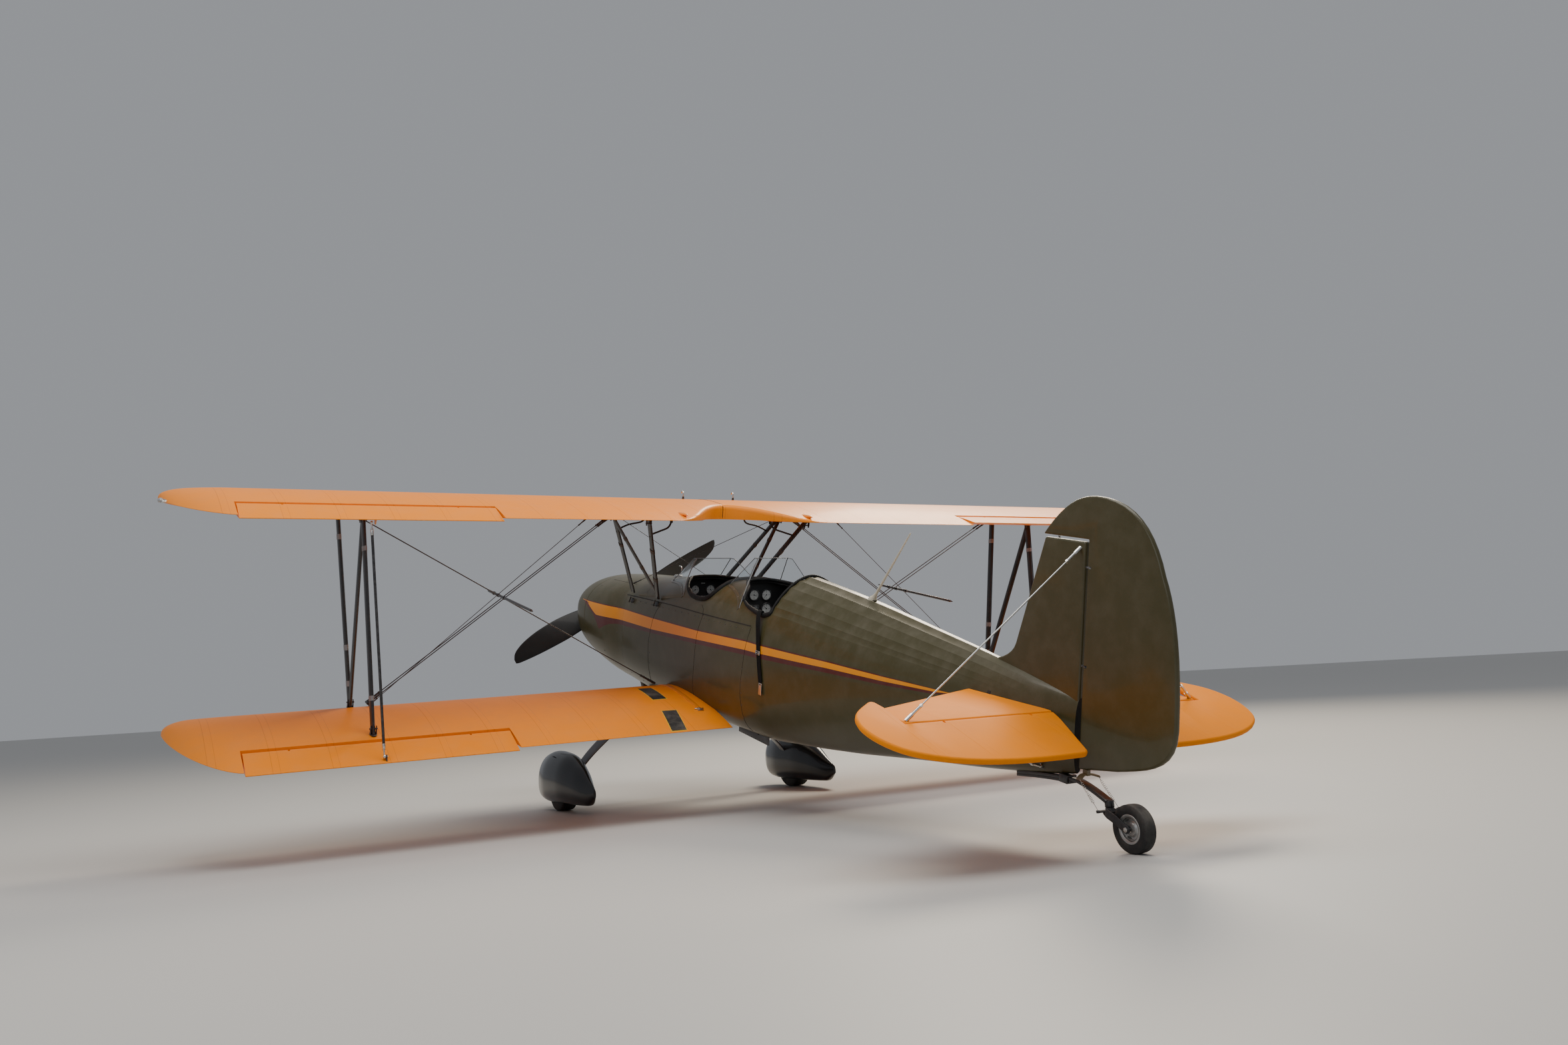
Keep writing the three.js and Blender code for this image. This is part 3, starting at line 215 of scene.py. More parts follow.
# %% [markdown]
# ## Tools for shaping
# A hand modeller keeps a few habits: deselect everything before an operator, pick faces by where
# they lie, and finish each piece with its place in the mesh. These short helpers are those habits.
# `wrapped` lays a grid primitive over a surface that a formula gives. It suits the long lofted
# skins, where extruding and scaling by eye would not keep to the frame's stations.

# %% Tools for shaping
def deselect():
    bpy.ops.object.select_all(action="DESELECT")


def pick(obj):
    deselect()
    obj.select_set(True)
    bpy.context.view_layer.objects.active = obj


def named(name):
    obj = bpy.context.object
    obj.name = obj.data.name = name
    return obj


def edited(obj, *steps):
    """Runs edit-mode steps on the whole of a piece"""
    pick(obj)
    bpy.ops.object.mode_set(mode="EDIT")
    bpy.ops.mesh.select_all(action="SELECT")
    for step in steps:
        step()
    bpy.ops.object.mode_set(mode="OBJECT")
    return obj


def merge():
    bpy.ops.mesh.remove_doubles(threshold=1e-5)


def outward():
    bpy.ops.mesh.normals_make_consistent(inside=False)


def close_ends():
    bpy.ops.mesh.select_all(action="DESELECT")
    bpy.ops.mesh.select_non_manifold()
    bpy.ops.mesh.fill_holes(sides=0)
    bpy.ops.mesh.select_all(action="SELECT")


def modified(obj, kind, **settings):
    """Adds a modifier and applies it"""
    pick(obj)
    made = obj.modifiers.new(kind.lower(), kind)
    for key, value in settings.items():
        setattr(made, key, value)
    bpy.ops.object.modifier_apply(modifier=made.name)
    return obj


def cut(obj, *tools, operation="DIFFERENCE"):
    for tool in tools:
        modified(obj, "BOOLEAN", operation=operation, solver="EXACT", object=tool)
        bpy.data.objects.remove(tool)
    return obj


def smooth(obj, angle=35):
    pick(obj)
    bpy.ops.object.shade_smooth_by_angle(angle=math.radians(angle))
    return obj


def bevelled(obj, width, segments=2, angle=35):
    modified(obj, "BEVEL", width=width, segments=segments, limit_method="ANGLE",
             angle_limit=math.radians(angle), harden_normals=False)
    return smooth(obj, angle)


def shaped(obj, place):
    """Moves every vertex to where place puts it, from and to arrays of points"""
    points = np.empty(len(obj.data.vertices) * 3)
    obj.data.vertices.foreach_get("co", points)
    moved = place(points.reshape(-1, 3))
    obj.data.vertices.foreach_set("co", np.asarray(moved, float).ravel())
    obj.data.update()
    return obj


def wrapped(name, around, along, place, closed=True, ends=True):
    """Grid laid over a surface: place(u, v) gives points for u round it and v along it, both 0 to 1"""
    deselect()
    bpy.ops.mesh.primitive_grid_add(x_subdivisions=around, y_subdivisions=along, size=1)
    obj = shaped(named(name), lambda p: place(p[:, 0] + 0.5, p[:, 1] + 0.5))
    steps = [merge] if closed else []
    steps += [close_ends] if ends else []
    return edited(obj, *steps, outward)


def joined(name, *parts):
    pick(parts[0])
    for part in parts[1:]:
        part.select_set(True)
    bpy.ops.object.join()
    return named(name)


def moved(obj, change):
    obj.data.transform(change)
    return obj


def copied(obj, name, change=None):
    made = obj.copy()
    made.data = obj.data.copy()
    made.name = made.data.name = name
    bpy.context.scene.collection.objects.link(made)
    if change is not None:
        moved(made, change)
        if change.determinant() < 0:
            edited(made, outward)
    return made


MIRROR = Matrix.Scale(-1, 4, (1, 0, 0))
SIDES = (("left", 1), ("right", -1))
TO_SIDE = {"left": Matrix.Identity(4), "right": MIRROR}


def settle(obj, finish, body="airframe", replaces=(), frame_axes=AIRFRAME):
    """Gives a piece its finish, turns it into the frame and lets it ride on its body"""
    moved(obj, frame_axes).data.update()
    obj.data.materials.clear()
    obj.data.materials.append(finish)
    if body:
        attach(obj, body)
    if replaces:
        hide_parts(*replaces)
    return obj


def through(stations, values, at):
    """Smooth curve through points that never swings past them"""
    xs, ys = np.asarray(stations, float), np.asarray(values, float)
    step = np.diff(xs)
    slope = np.diff(ys) / step
    turn = np.zeros(len(xs))
    turn[0], turn[-1] = slope[0], slope[-1]
    for i in range(1, len(slope)):
        if slope[i - 1] * slope[i] > 0:
            a, b = 2 * step[i] + step[i - 1], step[i] + 2 * step[i - 1]
            turn[i] = (a + b) / (a / slope[i - 1] + b / slope[i])
    i = np.clip(np.searchsorted(xs, at) - 1, 0, len(step) - 1)
    t = (at - xs[i]) / step[i]
    return ((2 * t ** 3 - 3 * t ** 2 + 1) * ys[i] + (t ** 3 - 2 * t ** 2 + t) * step[i] * turn[i]
            + (3 * t ** 2 - 2 * t ** 3) * ys[i + 1] + (t ** 3 - t ** 2) * step[i] * turn[i + 1])


def stacked(*columns):
    return np.stack(np.broadcast_arrays(*columns), axis=-1).astype(float)


def turned(name, profile, centre, axis=(1, 0, 0), sides=48, ring=True):
    """Turned shape: a profile of (place along the axis, radius) swung round it. A ring's profile closes"""
    rows = np.array(list(profile) + ([profile[0]] if ring else []), float)
    axis = Vector(axis).normalized()
    first = axis.orthogonal().normalized()
    second = axis.cross(first)

    def place(u, v):
        k = np.round(v * (len(rows) - 1)).astype(int)
        a, r = rows[k, 0], rows[k, 1]
        c, s = np.cos(2 * np.pi * u) * r, np.sin(2 * np.pi * u) * r
        return stacked(*(centre[i] + a * axis[i] + c * first[i] + s * second[i] for i in range(3)))
    return wrapped(name, sides, len(rows) - 1, place, ends=not ring)


def flowing(points, steps):
    """Smooth curve through points, each stretch in the same number of steps"""
    points = np.asarray(points, float)
    rows = np.vstack([2 * points[0] - points[1], points, 2 * points[-1] - points[-2]])
    t = np.linspace(0, 1, steps, endpoint=False)[:, None]
    made = []
    for a, b, c, d in zip(rows, rows[1:], rows[2:], rows[3:]):
        made.append(0.5 * (2 * b + (c - a) * t + (2 * a - 5 * b + 4 * c - d) * t ** 2
                           + (3 * b - a - 3 * c + d) * t ** 3))
    return np.vstack([*made, points[-1:]])


def swept(name, path, section, up=(0, 0, 1), closed=False, scale=None):
    """Section of (sideways, upwards) offsets carried along a path. up is one vector or one per point"""
    path = np.asarray(path, float)
    if closed:
        path = np.vstack([path, path[:1]])
        run = np.vstack([path[-2:-1], path, path[1:2]])
    else:
        run = np.vstack([2 * path[0] - path[1], path, 2 * path[-1] - path[-2]])
    ahead = run[2:] - run[:-2]
    ahead /= np.linalg.norm(ahead, axis=1)[:, None]
    up = np.broadcast_to(np.asarray(up, float), path.shape)
    side = np.cross(ahead, up)
    side /= np.linalg.norm(side, axis=1)[:, None]
    up = np.cross(side, ahead)
    ring = np.asarray(list(section) + [section[0]], float)
    scale = np.ones(len(path)) if scale is None else np.asarray(scale)

    def place(u, v):
        i = np.round(v * (len(path) - 1)).astype(int)
        k = np.round(u * (len(ring) - 1)).astype(int)
        return (path[i] + side[i] * (ring[k, 0] * scale[i])[:, None] + up[i]
                * (ring[k, 1] * scale[i])[:, None])
    return wrapped(name, len(ring) - 1, len(path) - 1, place, ends=not closed)


def round_section(radius, sides=12, flat=1.0):
    return [(radius * math.cos(2 * math.pi * i / sides), radius * flat * math.sin(2 * math.pi * i / sides))
            for i in range(sides)]


def strip_section(wide, thick):
    return [(-wide / 2, -thick / 2), (wide / 2, -thick / 2), (wide / 2, thick / 2), (-wide / 2, thick / 2)]


def scattered(name, part, places):
    """One small part copied to many places, as one piece"""
    copies = [copied(part, "copy", place) for place in places]
    bpy.data.objects.remove(part)
    return joined(name, *copies)


def paired(obj, finish, body="airframe", replaces=()):
    """Settles a left piece and its mirror image. A word left in the names becomes right"""
    other = copied(obj, obj.name.replace("left", "right"), MIRROR)
    settle(obj, finish, body, replaces)
    settle(other, finish, body.replace("left", "right"),
           [name.replace("left", "right") for name in replaces])
    return obj, other


print("tools ready")

# %% [markdown]
# ## Effects that several finishes share
# Real paint is never one flat colour: it has faint patches, the skin of the spray, dust that settles
# most on upward faces, and bare metal where edges rub. Each effect is a node group with its own
# inputs, built once, so every finish can use it at its own strength. Groups give only colours,
# masks and heights. The shader itself stays in each material.

# %% Effect groups
def effect(name, inputs, outputs):
    group = bpy.data.node_groups.new(name, "ShaderNodeTree")
    for label, kind in inputs:
        group.interface.new_socket(label, in_out="INPUT", socket_type=f"NodeSocket{kind}")
    for label, kind in outputs:
        group.interface.new_socket(label, in_out="OUTPUT", socket_type=f"NodeSocket{kind}")
    return group, group.nodes.new("NodeGroupInput").outputs, group.nodes.new("NodeGroupOutput").inputs


def sums(tree, operation, first, second=0.5, third=0.0):
    made = node(tree, "ShaderNodeMath", operation=operation)
    for i, value in enumerate((first, second, third)):
        if isinstance(value, bpy.types.NodeSocket):
            tree.links.new(value, made.inputs[i])
        else:
            made.inputs[i].default_value = value
    return made.outputs[0]


def spread(tree, value, low, high, to_low=0.0, to_high=1.0):
    return node(tree, "ShaderNodeMapRange", {"Value": value, "From Min": low, "From Max": high,
                                             "To Min": to_low, "To Max": to_high}).outputs[0]


def mixed(tree, share, first, second, blend="MIX"):
    made = node(tree, "ShaderNodeMix", data_type="RGBA", blend_type=blend)
    for i, value in ((0, share), (6, first), (7, second)):
        if isinstance(value, bpy.types.NodeSocket):
            tree.links.new(value, made.inputs[i])
        else:
            made.inputs[i].default_value = value
    return made.outputs[2]


def noise(tree, point, scale, detail=3.0, rough=0.5):
    return node(tree, "ShaderNodeTexNoise", {"Vector": point, "Scale": scale, "Detail": detail,
                                             "Roughness": rough}).outputs["Fac"]


uneven, inner, outer = effect("sprayed_unevenness",
    [("Point", "Vector"), ("Colour", "Color"), ("Patch Scale", "Float"), ("Depth", "Float"),
     ("Skin Scale", "Float")], [("Colour", "Color"), ("Height", "Float")])
patches = spread(uneven, noise(uneven, inner["Point"], inner["Patch Scale"], 5.0, 0.6), 0.3, 0.7)
darker = mixed(uneven, 1.0, inner["Colour"], (0.62, 0.6, 0.58, 1), "MULTIPLY")
uneven.links.new(mixed(uneven, sums(uneven, "MULTIPLY", patches, inner["Depth"]), inner["Colour"], darker),
                 outer["Colour"])
uneven.links.new(noise(uneven, inner["Point"], inner["Skin Scale"], 2.0), outer["Height"])

dusty, inner, outer = effect("settled_dust",
    [("Point", "Vector"), ("Colour", "Color"), ("Roughness", "Float"), ("Dust", "Float")],
    [("Colour", "Color"), ("Roughness", "Float")])
facing = node(dusty, "ShaderNodeSeparateXYZ",
              {"Vector": node(dusty, "ShaderNodeNewGeometry").outputs["Normal"]}).outputs["Z"]
lying = spread(dusty, facing, -0.1, 1.0, 0.35, 1.0)
speckle = spread(dusty, noise(dusty, inner["Point"], 9.0, 8.0, 0.65), 0.42, 0.75)
share = sums(dusty, "MULTIPLY", sums(dusty, "MULTIPLY", speckle, lying), inner["Dust"])
dusty.links.new(mixed(dusty, share, inner["Colour"], (0.34, 0.3, 0.25, 1)), outer["Colour"])
dusty.links.new(sums(dusty, "MULTIPLY_ADD", share, 0.45, inner["Roughness"]), outer["Roughness"])

rubbed, inner, outer = effect("rubbed_edges",
    [("Point", "Vector"), ("Colour", "Color"), ("Bare", "Color"), ("Wear", "Float")],
    [("Colour", "Color"), ("Mask", "Float")])
ridge = spread(rubbed, node(rubbed, "ShaderNodeNewGeometry").outputs["Pointiness"], 0.53, 0.62)
broken = spread(rubbed, noise(rubbed, inner["Point"], 45.0, 6.0, 0.7), 0.45, 0.62)
worn = sums(rubbed, "MULTIPLY", sums(rubbed, "MULTIPLY", ridge, broken), inner["Wear"])
rubbed.links.new(mixed(rubbed, worn, inner["Colour"], inner["Bare"]), outer["Colour"])
rubbed.links.new(worn, outer["Mask"])

ribbed, inner, outer = effect("rib_tapes",
    [("Across", "Float"), ("Pitch", "Float"), ("Half Width", "Float")],
    [("Tape", "Float"), ("Edge", "Float")])
from_rib = sums(ribbed, "PINGPONG", inner["Across"], sums(ribbed, "MULTIPLY", inner["Pitch"], 0.5))
ribbed.links.new(spread(ribbed, sums(ribbed, "SUBTRACT", from_rib, inner["Half Width"]), 0.0015, -0.0015),
                 outer["Tape"])
rim = sums(ribbed, "ABSOLUTE", sums(ribbed, "SUBTRACT", from_rib, inner["Half Width"]))
ribbed.links.new(spread(ribbed, rim, 0.0022, 0.0), outer["Edge"])

grained, inner, outer = effect("hide_grain", [("Point", "Vector"), ("Scale", "Float")],
                               [("Height", "Float"), ("Crease", "Float")])
cells = node(grained, "ShaderNodeTexVoronoi", {"Vector": inner["Point"], "Scale": inner["Scale"]},
             feature="DISTANCE_TO_EDGE").outputs["Distance"]
grained.links.new(spread(grained, cells, 0.0, 0.18), outer["Height"])
grained.links.new(spread(grained, cells, 0.1, 0.0), outer["Crease"])

woven, inner, outer = effect("plain_weave", [("Point", "Vector"), ("Threads", "Float")],
                             [("Height", "Float")])
warp, weft = (sums(woven, "SINE", sums(woven, "MULTIPLY", side, inner["Threads"]))
              for side in list(node(woven, "ShaderNodeSeparateXYZ", {"Vector": inner["Point"]}).outputs)[1:])
woven.links.new(sums(woven, "MULTIPLY", warp, weft), outer["Height"])
print("effect groups", [g.name for g in bpy.data.node_groups])

# %% [markdown]
# ## Finishes
# One builder lays the shared effects over a colour: unevenness, rubbed edges, then dust, with the
# spray's skin as a slight bump. A finish that needs more, such as the striped olive, gives its own
# colour first. The pattern is read from Object coordinates, turned back into airframe axes.

# %% Finish builder
def airframe_point(tree):
    coordinates = node(tree, "ShaderNodeTexCoord").outputs["Object"]
    return node(tree, "ShaderNodeMapping", {"Vector": coordinates, "Location": firewall,
                                            "Rotation": (-PITCH, 0, 0)}, vector_type="TEXTURE").outputs[0]


def placed(tree, group, **sockets):
    made = node(tree, "ShaderNodeGroup", node_tree=group)
    for key, value in sockets.items():
        label = key.replace("_", " ")
        if isinstance(value, bpy.types.NodeSocket):
            tree.links.new(value, made.inputs[label])
        else:
            made.inputs[label].default_value = value
    return made.outputs


def paint(name, slot, colour, rough, metal=0.0, coat=0.0, coat_rough=0.08, patch=3.0, depth=0.5, skin=220.0,
          skin_height=0.00015, dust=0.25, wear=0.0, bare=(0.35, 0.35, 0.36, 1), over=None, height=None,
          **plain):
    """Painted, bare or moulded surface with the shared effects. over(tree, point, colour) may change
    the colour first, and height(tree, point) may add a relief in metres"""
    made = material(name)
    made["slot"] = slot
    tree = made.node_tree
    point = airframe_point(tree)
    base = (*colour, 1)
    if over is not None:
        base = over(tree, point, base)
    sprayed = placed(tree, uneven, Point=point, Colour=base, Patch_Scale=patch, Depth=depth,
                     Skin_Scale=skin)
    tone = sprayed["Colour"]
    gloss = rough
    if wear:
        edges = placed(tree, rubbed, Point=point, Colour=tone, Bare=bare, Wear=wear)
        tone = edges["Colour"]
        gloss = spread(tree, edges["Mask"], 0, 1, rough, min(rough + 0.2, 1))
    settled = placed(tree, dusty, Point=point, Colour=tone, Roughness=gloss, Dust=dust)
    relief = sums(tree, "MULTIPLY", sprayed["Height"], skin_height)
    if height is not None:
        relief = sums(tree, "ADD", relief, height(tree, point))
    bump = node(tree, "ShaderNodeBump", {"Height": relief, "Strength": 1.0, "Distance": 1.0})
    shaded(made, Base_Color=settled["Colour"], Roughness=settled["Roughness"], Metallic=metal,
           Coat_Weight=coat, Coat_Roughness=coat_rough, Normal=bump.outputs[0], **plain)
    return made


# %% [markdown]
# ### Olive paint and its stripe
# The fuselage is a warm grey-green with a stripe along each side: an orange band inside a thin wine
# red line that thickens underneath and sweeps up behind the nose. The band's four edges are curves
# of height over length, so a Float Curve node for each turns the airframe's Y into an edge height,
# and comparing Z with it gives the masks.

# %% Olive paint and stripe
OLIVE = (0.055, 0.047, 0.016)
ORANGE = (0.9, 0.255, 0.0)
STRIPE_ORANGE = (0.78, 0.27, 0.0, 1)
WINE_RED = (0.085, 0.011, 0.01, 1)
# airframe Y and Z along each edge of the stripe
STRIPE = {
    "outer_top": [(-0.72, 0.056), (0.56, 0.093), (1.29, 0.122), (1.98, 0.165), (2.85, 0.186),
                  (3.32, 0.19), (3.86, 0.198)],
    "band_top": [(-0.615, 0.052), (0.56, 0.083), (1.29, 0.112), (1.98, 0.155), (2.85, 0.178),
                 (3.32, 0.184), (3.83, 0.196)],
    "band_bottom": [(-0.615, 0.05), (-0.41, -0.033), (0.56, 0.003), (1.3, 0.054), (2.0, 0.105),
                    (2.86, 0.146), (3.32, 0.161), (3.73, 0.182), (3.83, 0.195)],
    "outer_bottom": [(-0.72, 0.054), (-0.48, -0.021), (-0.4, -0.083), (-0.352, -0.142), (-0.31, -0.118),
                     (-0.26, -0.096), (-0.195, -0.073), (-0.11, -0.059), (-0.02, -0.054), (0.27, -0.042),
                     (0.56, -0.024), (1.3, 0.024), (2.0, 0.074), (2.87, 0.121), (3.32, 0.141),
                     (3.7, 0.168), (3.86, 0.197)],
}
STRIPE_Y = (-1.0, 4.0)
STRIPE_Z = (-0.2, 0.3)
STRIPE_EDGE = 0.0007


def share_of(value, limits):
    return (value - limits[0]) / (limits[1] - limits[0])


def stripe_edge(tree, along, points):
    made = node(tree, "ShaderNodeFloatCurve", {"Value": spread(tree, along, *STRIPE_Y)})
    curve = made.mapping.curves[0]
    places = [(share_of(y, STRIPE_Y), share_of(z, STRIPE_Z)) for y, z in points]
    curve.points[0].location, curve.points[1].location = places[0], places[-1]
    for place in places[1:-1]:
        curve.points.new(*place)
    for stop in curve.points:
        stop.handle_type = "VECTOR"
    made.mapping.extend = "HORIZONTAL"
    made.mapping.update()
    return spread(tree, made.outputs[0], 0, 1, *STRIPE_Z)


def between(tree, value, low, high):
    over_low = spread(tree, sums(tree, "SUBTRACT", value, low), -STRIPE_EDGE, STRIPE_EDGE)
    under_high = spread(tree, sums(tree, "SUBTRACT", high, value), -STRIPE_EDGE, STRIPE_EDGE)
    return sums(tree, "MULTIPLY", over_low, under_high)


def striped(tree, point, base):
    split = node(tree, "ShaderNodeSeparateXYZ", {"Vector": point}).outputs
    edge = {name: stripe_edge(tree, split["Y"], points) for name, points in STRIPE.items()}
    within = sums(tree, "MULTIPLY", sums(tree, "GREATER_THAN", split["Y"], STRIPE["outer_top"][0][0]),
                  sums(tree, "LESS_THAN", split["Y"], STRIPE["outer_top"][-1][0]))
    outside = sums(tree, "MULTIPLY", between(tree, split["Z"], edge["outer_bottom"], edge["outer_top"]),
                   within)
    inside = sums(tree, "MULTIPLY", between(tree, split["Z"], edge["band_bottom"], edge["band_top"]),
                  within)
    red = mixed(tree, outside, base, WINE_RED)
    return mixed(tree, inside, red, STRIPE_ORANGE)


GLOSS = dict(rough=0.36, coat=0.22, coat_rough=0.1, Specular_IOR_Level=0.35)
olive_striped = paint("olive_striped", "olive_paint", OLIVE, over=striped, patch=2.2, depth=0.12, dust=0.16,
                      **GLOSS)
olive_plain = paint("olive_plain", "olive_paint", OLIVE, patch=2.2, depth=0.12, dust=0.16, **GLOSS)
print("stripe edges", {name: len(points) for name, points in STRIPE.items()})

# %% [markdown]
# ### Orange fabric, struts, metals, rubber and the rest
# The wings are painted fabric: glossy, with a tape over each rib that shows as a slightly raised
# band with a fine edge. The other finishes differ in colour, gloss and wear.

# %% Other finishes
WING_RIB_PITCH, TAIL_RIB_PITCH = 0.305, 0.245
TAPE_HALF = 0.019


def taped(pitch, offset=0.0):
    def relief(tree, point):
        across = node(tree, "ShaderNodeSeparateXYZ", {"Vector": point}).outputs["X"]
        tape = placed(tree, ribbed, Across=sums(tree, "ADD", across, offset), Pitch=pitch,
                      Half_Width=TAPE_HALF)
        threads = placed(tree, woven, Point=point, Threads=2600.0)["Height"]
        return sums(tree, "MULTIPLY_ADD", tape["Tape"], 0.0005, sums(tree, "MULTIPLY", threads, 0.00001))
    return relief


def tape_shade(pitch):
    def colour(tree, point, base):
        across = node(tree, "ShaderNodeSeparateXYZ", {"Vector": point}).outputs["X"]
        tape = placed(tree, ribbed, Across=across, Pitch=pitch, Half_Width=TAPE_HALF)
        return mixed(tree, sums(tree, "MULTIPLY", tape["Edge"], 0.5), base, (0.45, 0.1, 0.002, 1))
    return colour


def leather_relief(scale, height):
    def relief(tree, point):
        return sums(tree, "MULTIPLY", placed(tree, grained, Point=point, Scale=scale)["Height"], height)
    return relief


def woven_relief(threads, height):
    def relief(tree, point):
        return sums(tree, "MULTIPLY", placed(tree, woven, Point=point, Threads=threads)["Height"], height)
    return relief


wing_orange = paint("wing_orange", "orange_paint", ORANGE, over=tape_shade(WING_RIB_PITCH), patch=1.4,
                    depth=0.1, dust=0.1, height=taped(WING_RIB_PITCH), skin_height=0.00008,
                    rough=0.42, coat=0.1, coat_rough=0.16, Specular_IOR_Level=0.22)
tail_orange = paint("tail_orange", "orange_paint", ORANGE, patch=2.0, depth=0.1, dust=0.06,
                    height=taped(TAIL_RIB_PITCH, 0.07), rough=0.55, Specular_IOR_Level=0.05)
strut_black = paint("strut_black", "black_paint", (0.011, 0.011, 0.013), 0.32, coat=0.25, dust=0.14,
                    wear=0.35, bare=(0.1, 0.1, 0.105, 1))
fitting_black = paint("fitting_black", "black_paint", (0.016, 0.016, 0.018), 0.5, dust=0.2, wear=0.6)
navy_gloss = paint("navy_gloss", "navy_paint", (0.0045, 0.0055, 0.009), 0.25, coat=0.35, coat_rough=0.06,
                   patch=4.0, depth=0.4, dust=0.03, Specular_IOR_Level=0.35)
leg_blue = paint("leg_blue", "navy_paint", (0.02, 0.026, 0.04), 0.38, coat=0.3, dust=0.22, wear=0.3,
                 bare=(0.16, 0.17, 0.19, 1))
blade_black = paint("blade_black", "black_composite", (0.005, 0.005, 0.0055), 0.42, coat=0.08, dust=0.03,
                    Specular_IOR_Level=0.25)
stay_metal = paint("stay_metal", "stay_steel", (0.07, 0.07, 0.074), 0.42, metal=0.7, depth=0.4, patch=30.0,
                   dust=0.1)
bright_stay = paint("bright_stay", "stay_steel", (0.74, 0.74, 0.72), 0.26, metal=1.0, depth=0.15,
                    patch=30.0, dust=0.05)
bright_metal = paint("bright_metal", "stay_steel", (0.62, 0.61, 0.59), 0.3, metal=1.0, depth=0.35,
                     patch=60.0, dust=0.1)
dull_metal = paint("dull_metal", "engine_metal", (0.16, 0.16, 0.165), 0.5, metal=0.85, depth=0.5,
                   patch=25.0, dust=0.35, skin=600.0, skin_height=0.0004)
rim_metal = paint("rim_metal", "tyre_rubber", (0.4, 0.4, 0.39), 0.4, metal=0.7, depth=0.45, patch=40.0,
                  dust=0.3)
hot_steel = paint("hot_steel", "exhaust_steel", (0.2, 0.165, 0.14), 0.42, metal=1.0, depth=0.7, patch=14.0,
                  dust=0.2)
seat_grey = paint("seat_grey", "seat_metal", (0.11, 0.11, 0.112), 0.45, metal=0.5, dust=0.15, wear=0.4)
panel_black = paint("panel_black", "black_paint", (0.014, 0.014, 0.015), 0.62, depth=0.3, dust=0.12,
                    skin=900.0, skin_height=0.0003)
cockpit_black = paint("cockpit_black", "black_leather", (0.01, 0.01, 0.01), 0.75, depth=0.4, dust=0.12)
rim_leather = paint("rim_leather", "black_leather", (0.0055, 0.0055, 0.006), 0.58, depth=0.25, dust=0.03,
                    height=leather_relief(420.0, 0.00035), Specular_IOR_Level=0.25)
seat_leather = paint("seat_leather", "black_leather", (0.016, 0.0155, 0.015), 0.5, depth=0.4, dust=0.12,
                     height=leather_relief(330.0, 0.0004))
belt_webbing = paint("belt_webbing", "black_webbing", (0.0055, 0.0055, 0.006), 0.9, depth=0.2, dust=0.03,
                     height=woven_relief(3600.0, 0.00025), Specular_IOR_Level=0.2)
tread_rubber = paint("tread_rubber", "tyre_rubber", (0.012, 0.012, 0.0125), 0.72, depth=0.5, patch=8.0,
                     dust=0.4, skin=500.0, skin_height=0.0003)
hose_rubber = paint("hose_rubber", "black_composite", (0.012, 0.012, 0.012), 0.55, dust=0.12)
whip_cream = paint("whip_cream", "white_plastic", (0.62, 0.57, 0.45), 0.32, coat=0.3, depth=0.3, dust=0.1)
dial_white = paint("dial_white", "white_plastic", (0.88, 0.88, 0.84), 0.35, depth=0.1, dust=0.0, coat=0.3)
seam_dark = paint("seam_dark", "black_paint", (0.012, 0.01, 0.007), 0.7, dust=0.1)
seam_brown = paint("seam_brown", "orange_paint", (0.1, 0.028, 0.004), 0.6, dust=0.1)
walk_black = paint("walk_black", "black_paint", (0.013, 0.013, 0.013), 0.9, dust=0.35, skin=1400.0,
                   skin_height=0.0012)
arm_tan = paint("arm_tan", "black_paint", (0.16, 0.125, 0.055), 0.42, depth=0.4, dust=0.2, wear=0.5)
bracket_orange = paint("bracket_orange", "orange_paint", ORANGE, 0.35, coat=0.4, dust=0.12)
# near-black painted shade for what lies inside: the inner walls of fuselage and cowl, and the patch that
# stands for the cable hole
inside_painted_shade = paint("inside_painted_shade", "black_paint", (0.008, 0.008, 0.008), 0.8, dust=0.1)

acrylic = material("acrylic")
acrylic["slot"] = "clear_acrylic"
scuff = spread(acrylic.node_tree, noise(acrylic.node_tree, airframe_point(acrylic.node_tree), 26.0, 6.0),
               0.35, 0.8, 0.01, 0.1)
shaded(acrylic, Base_Color=(0.93, 0.955, 0.965, 1), Roughness=scuff, Metallic=0.0, Transmission_Weight=1.0,
       IOR=1.08, Alpha=1.0)
lamp_glass = material("lamp_glass")
lamp_glass["slot"] = "clear_acrylic"
shaded(lamp_glass, Base_Color=(0.9, 0.93, 0.95, 1), Roughness=0.05, Metallic=0.0, Transmission_Weight=0.8,
       IOR=1.45)
print("finishes", len(bpy.data.materials))

# %% [markdown]
# ## Fuselage skin
# One covering runs from the firewall to the tail post: metal to the cockpits, then fabric over
# stringers, which makes the turtledeck's long flat facets. It could be a box with many edge loops,
# but a lofted grid follows the stations of the real frame. The inside is a second, smaller loft that
# is cut away, and the cockpit openings are cut last, so the rims show the wall's true thickness.

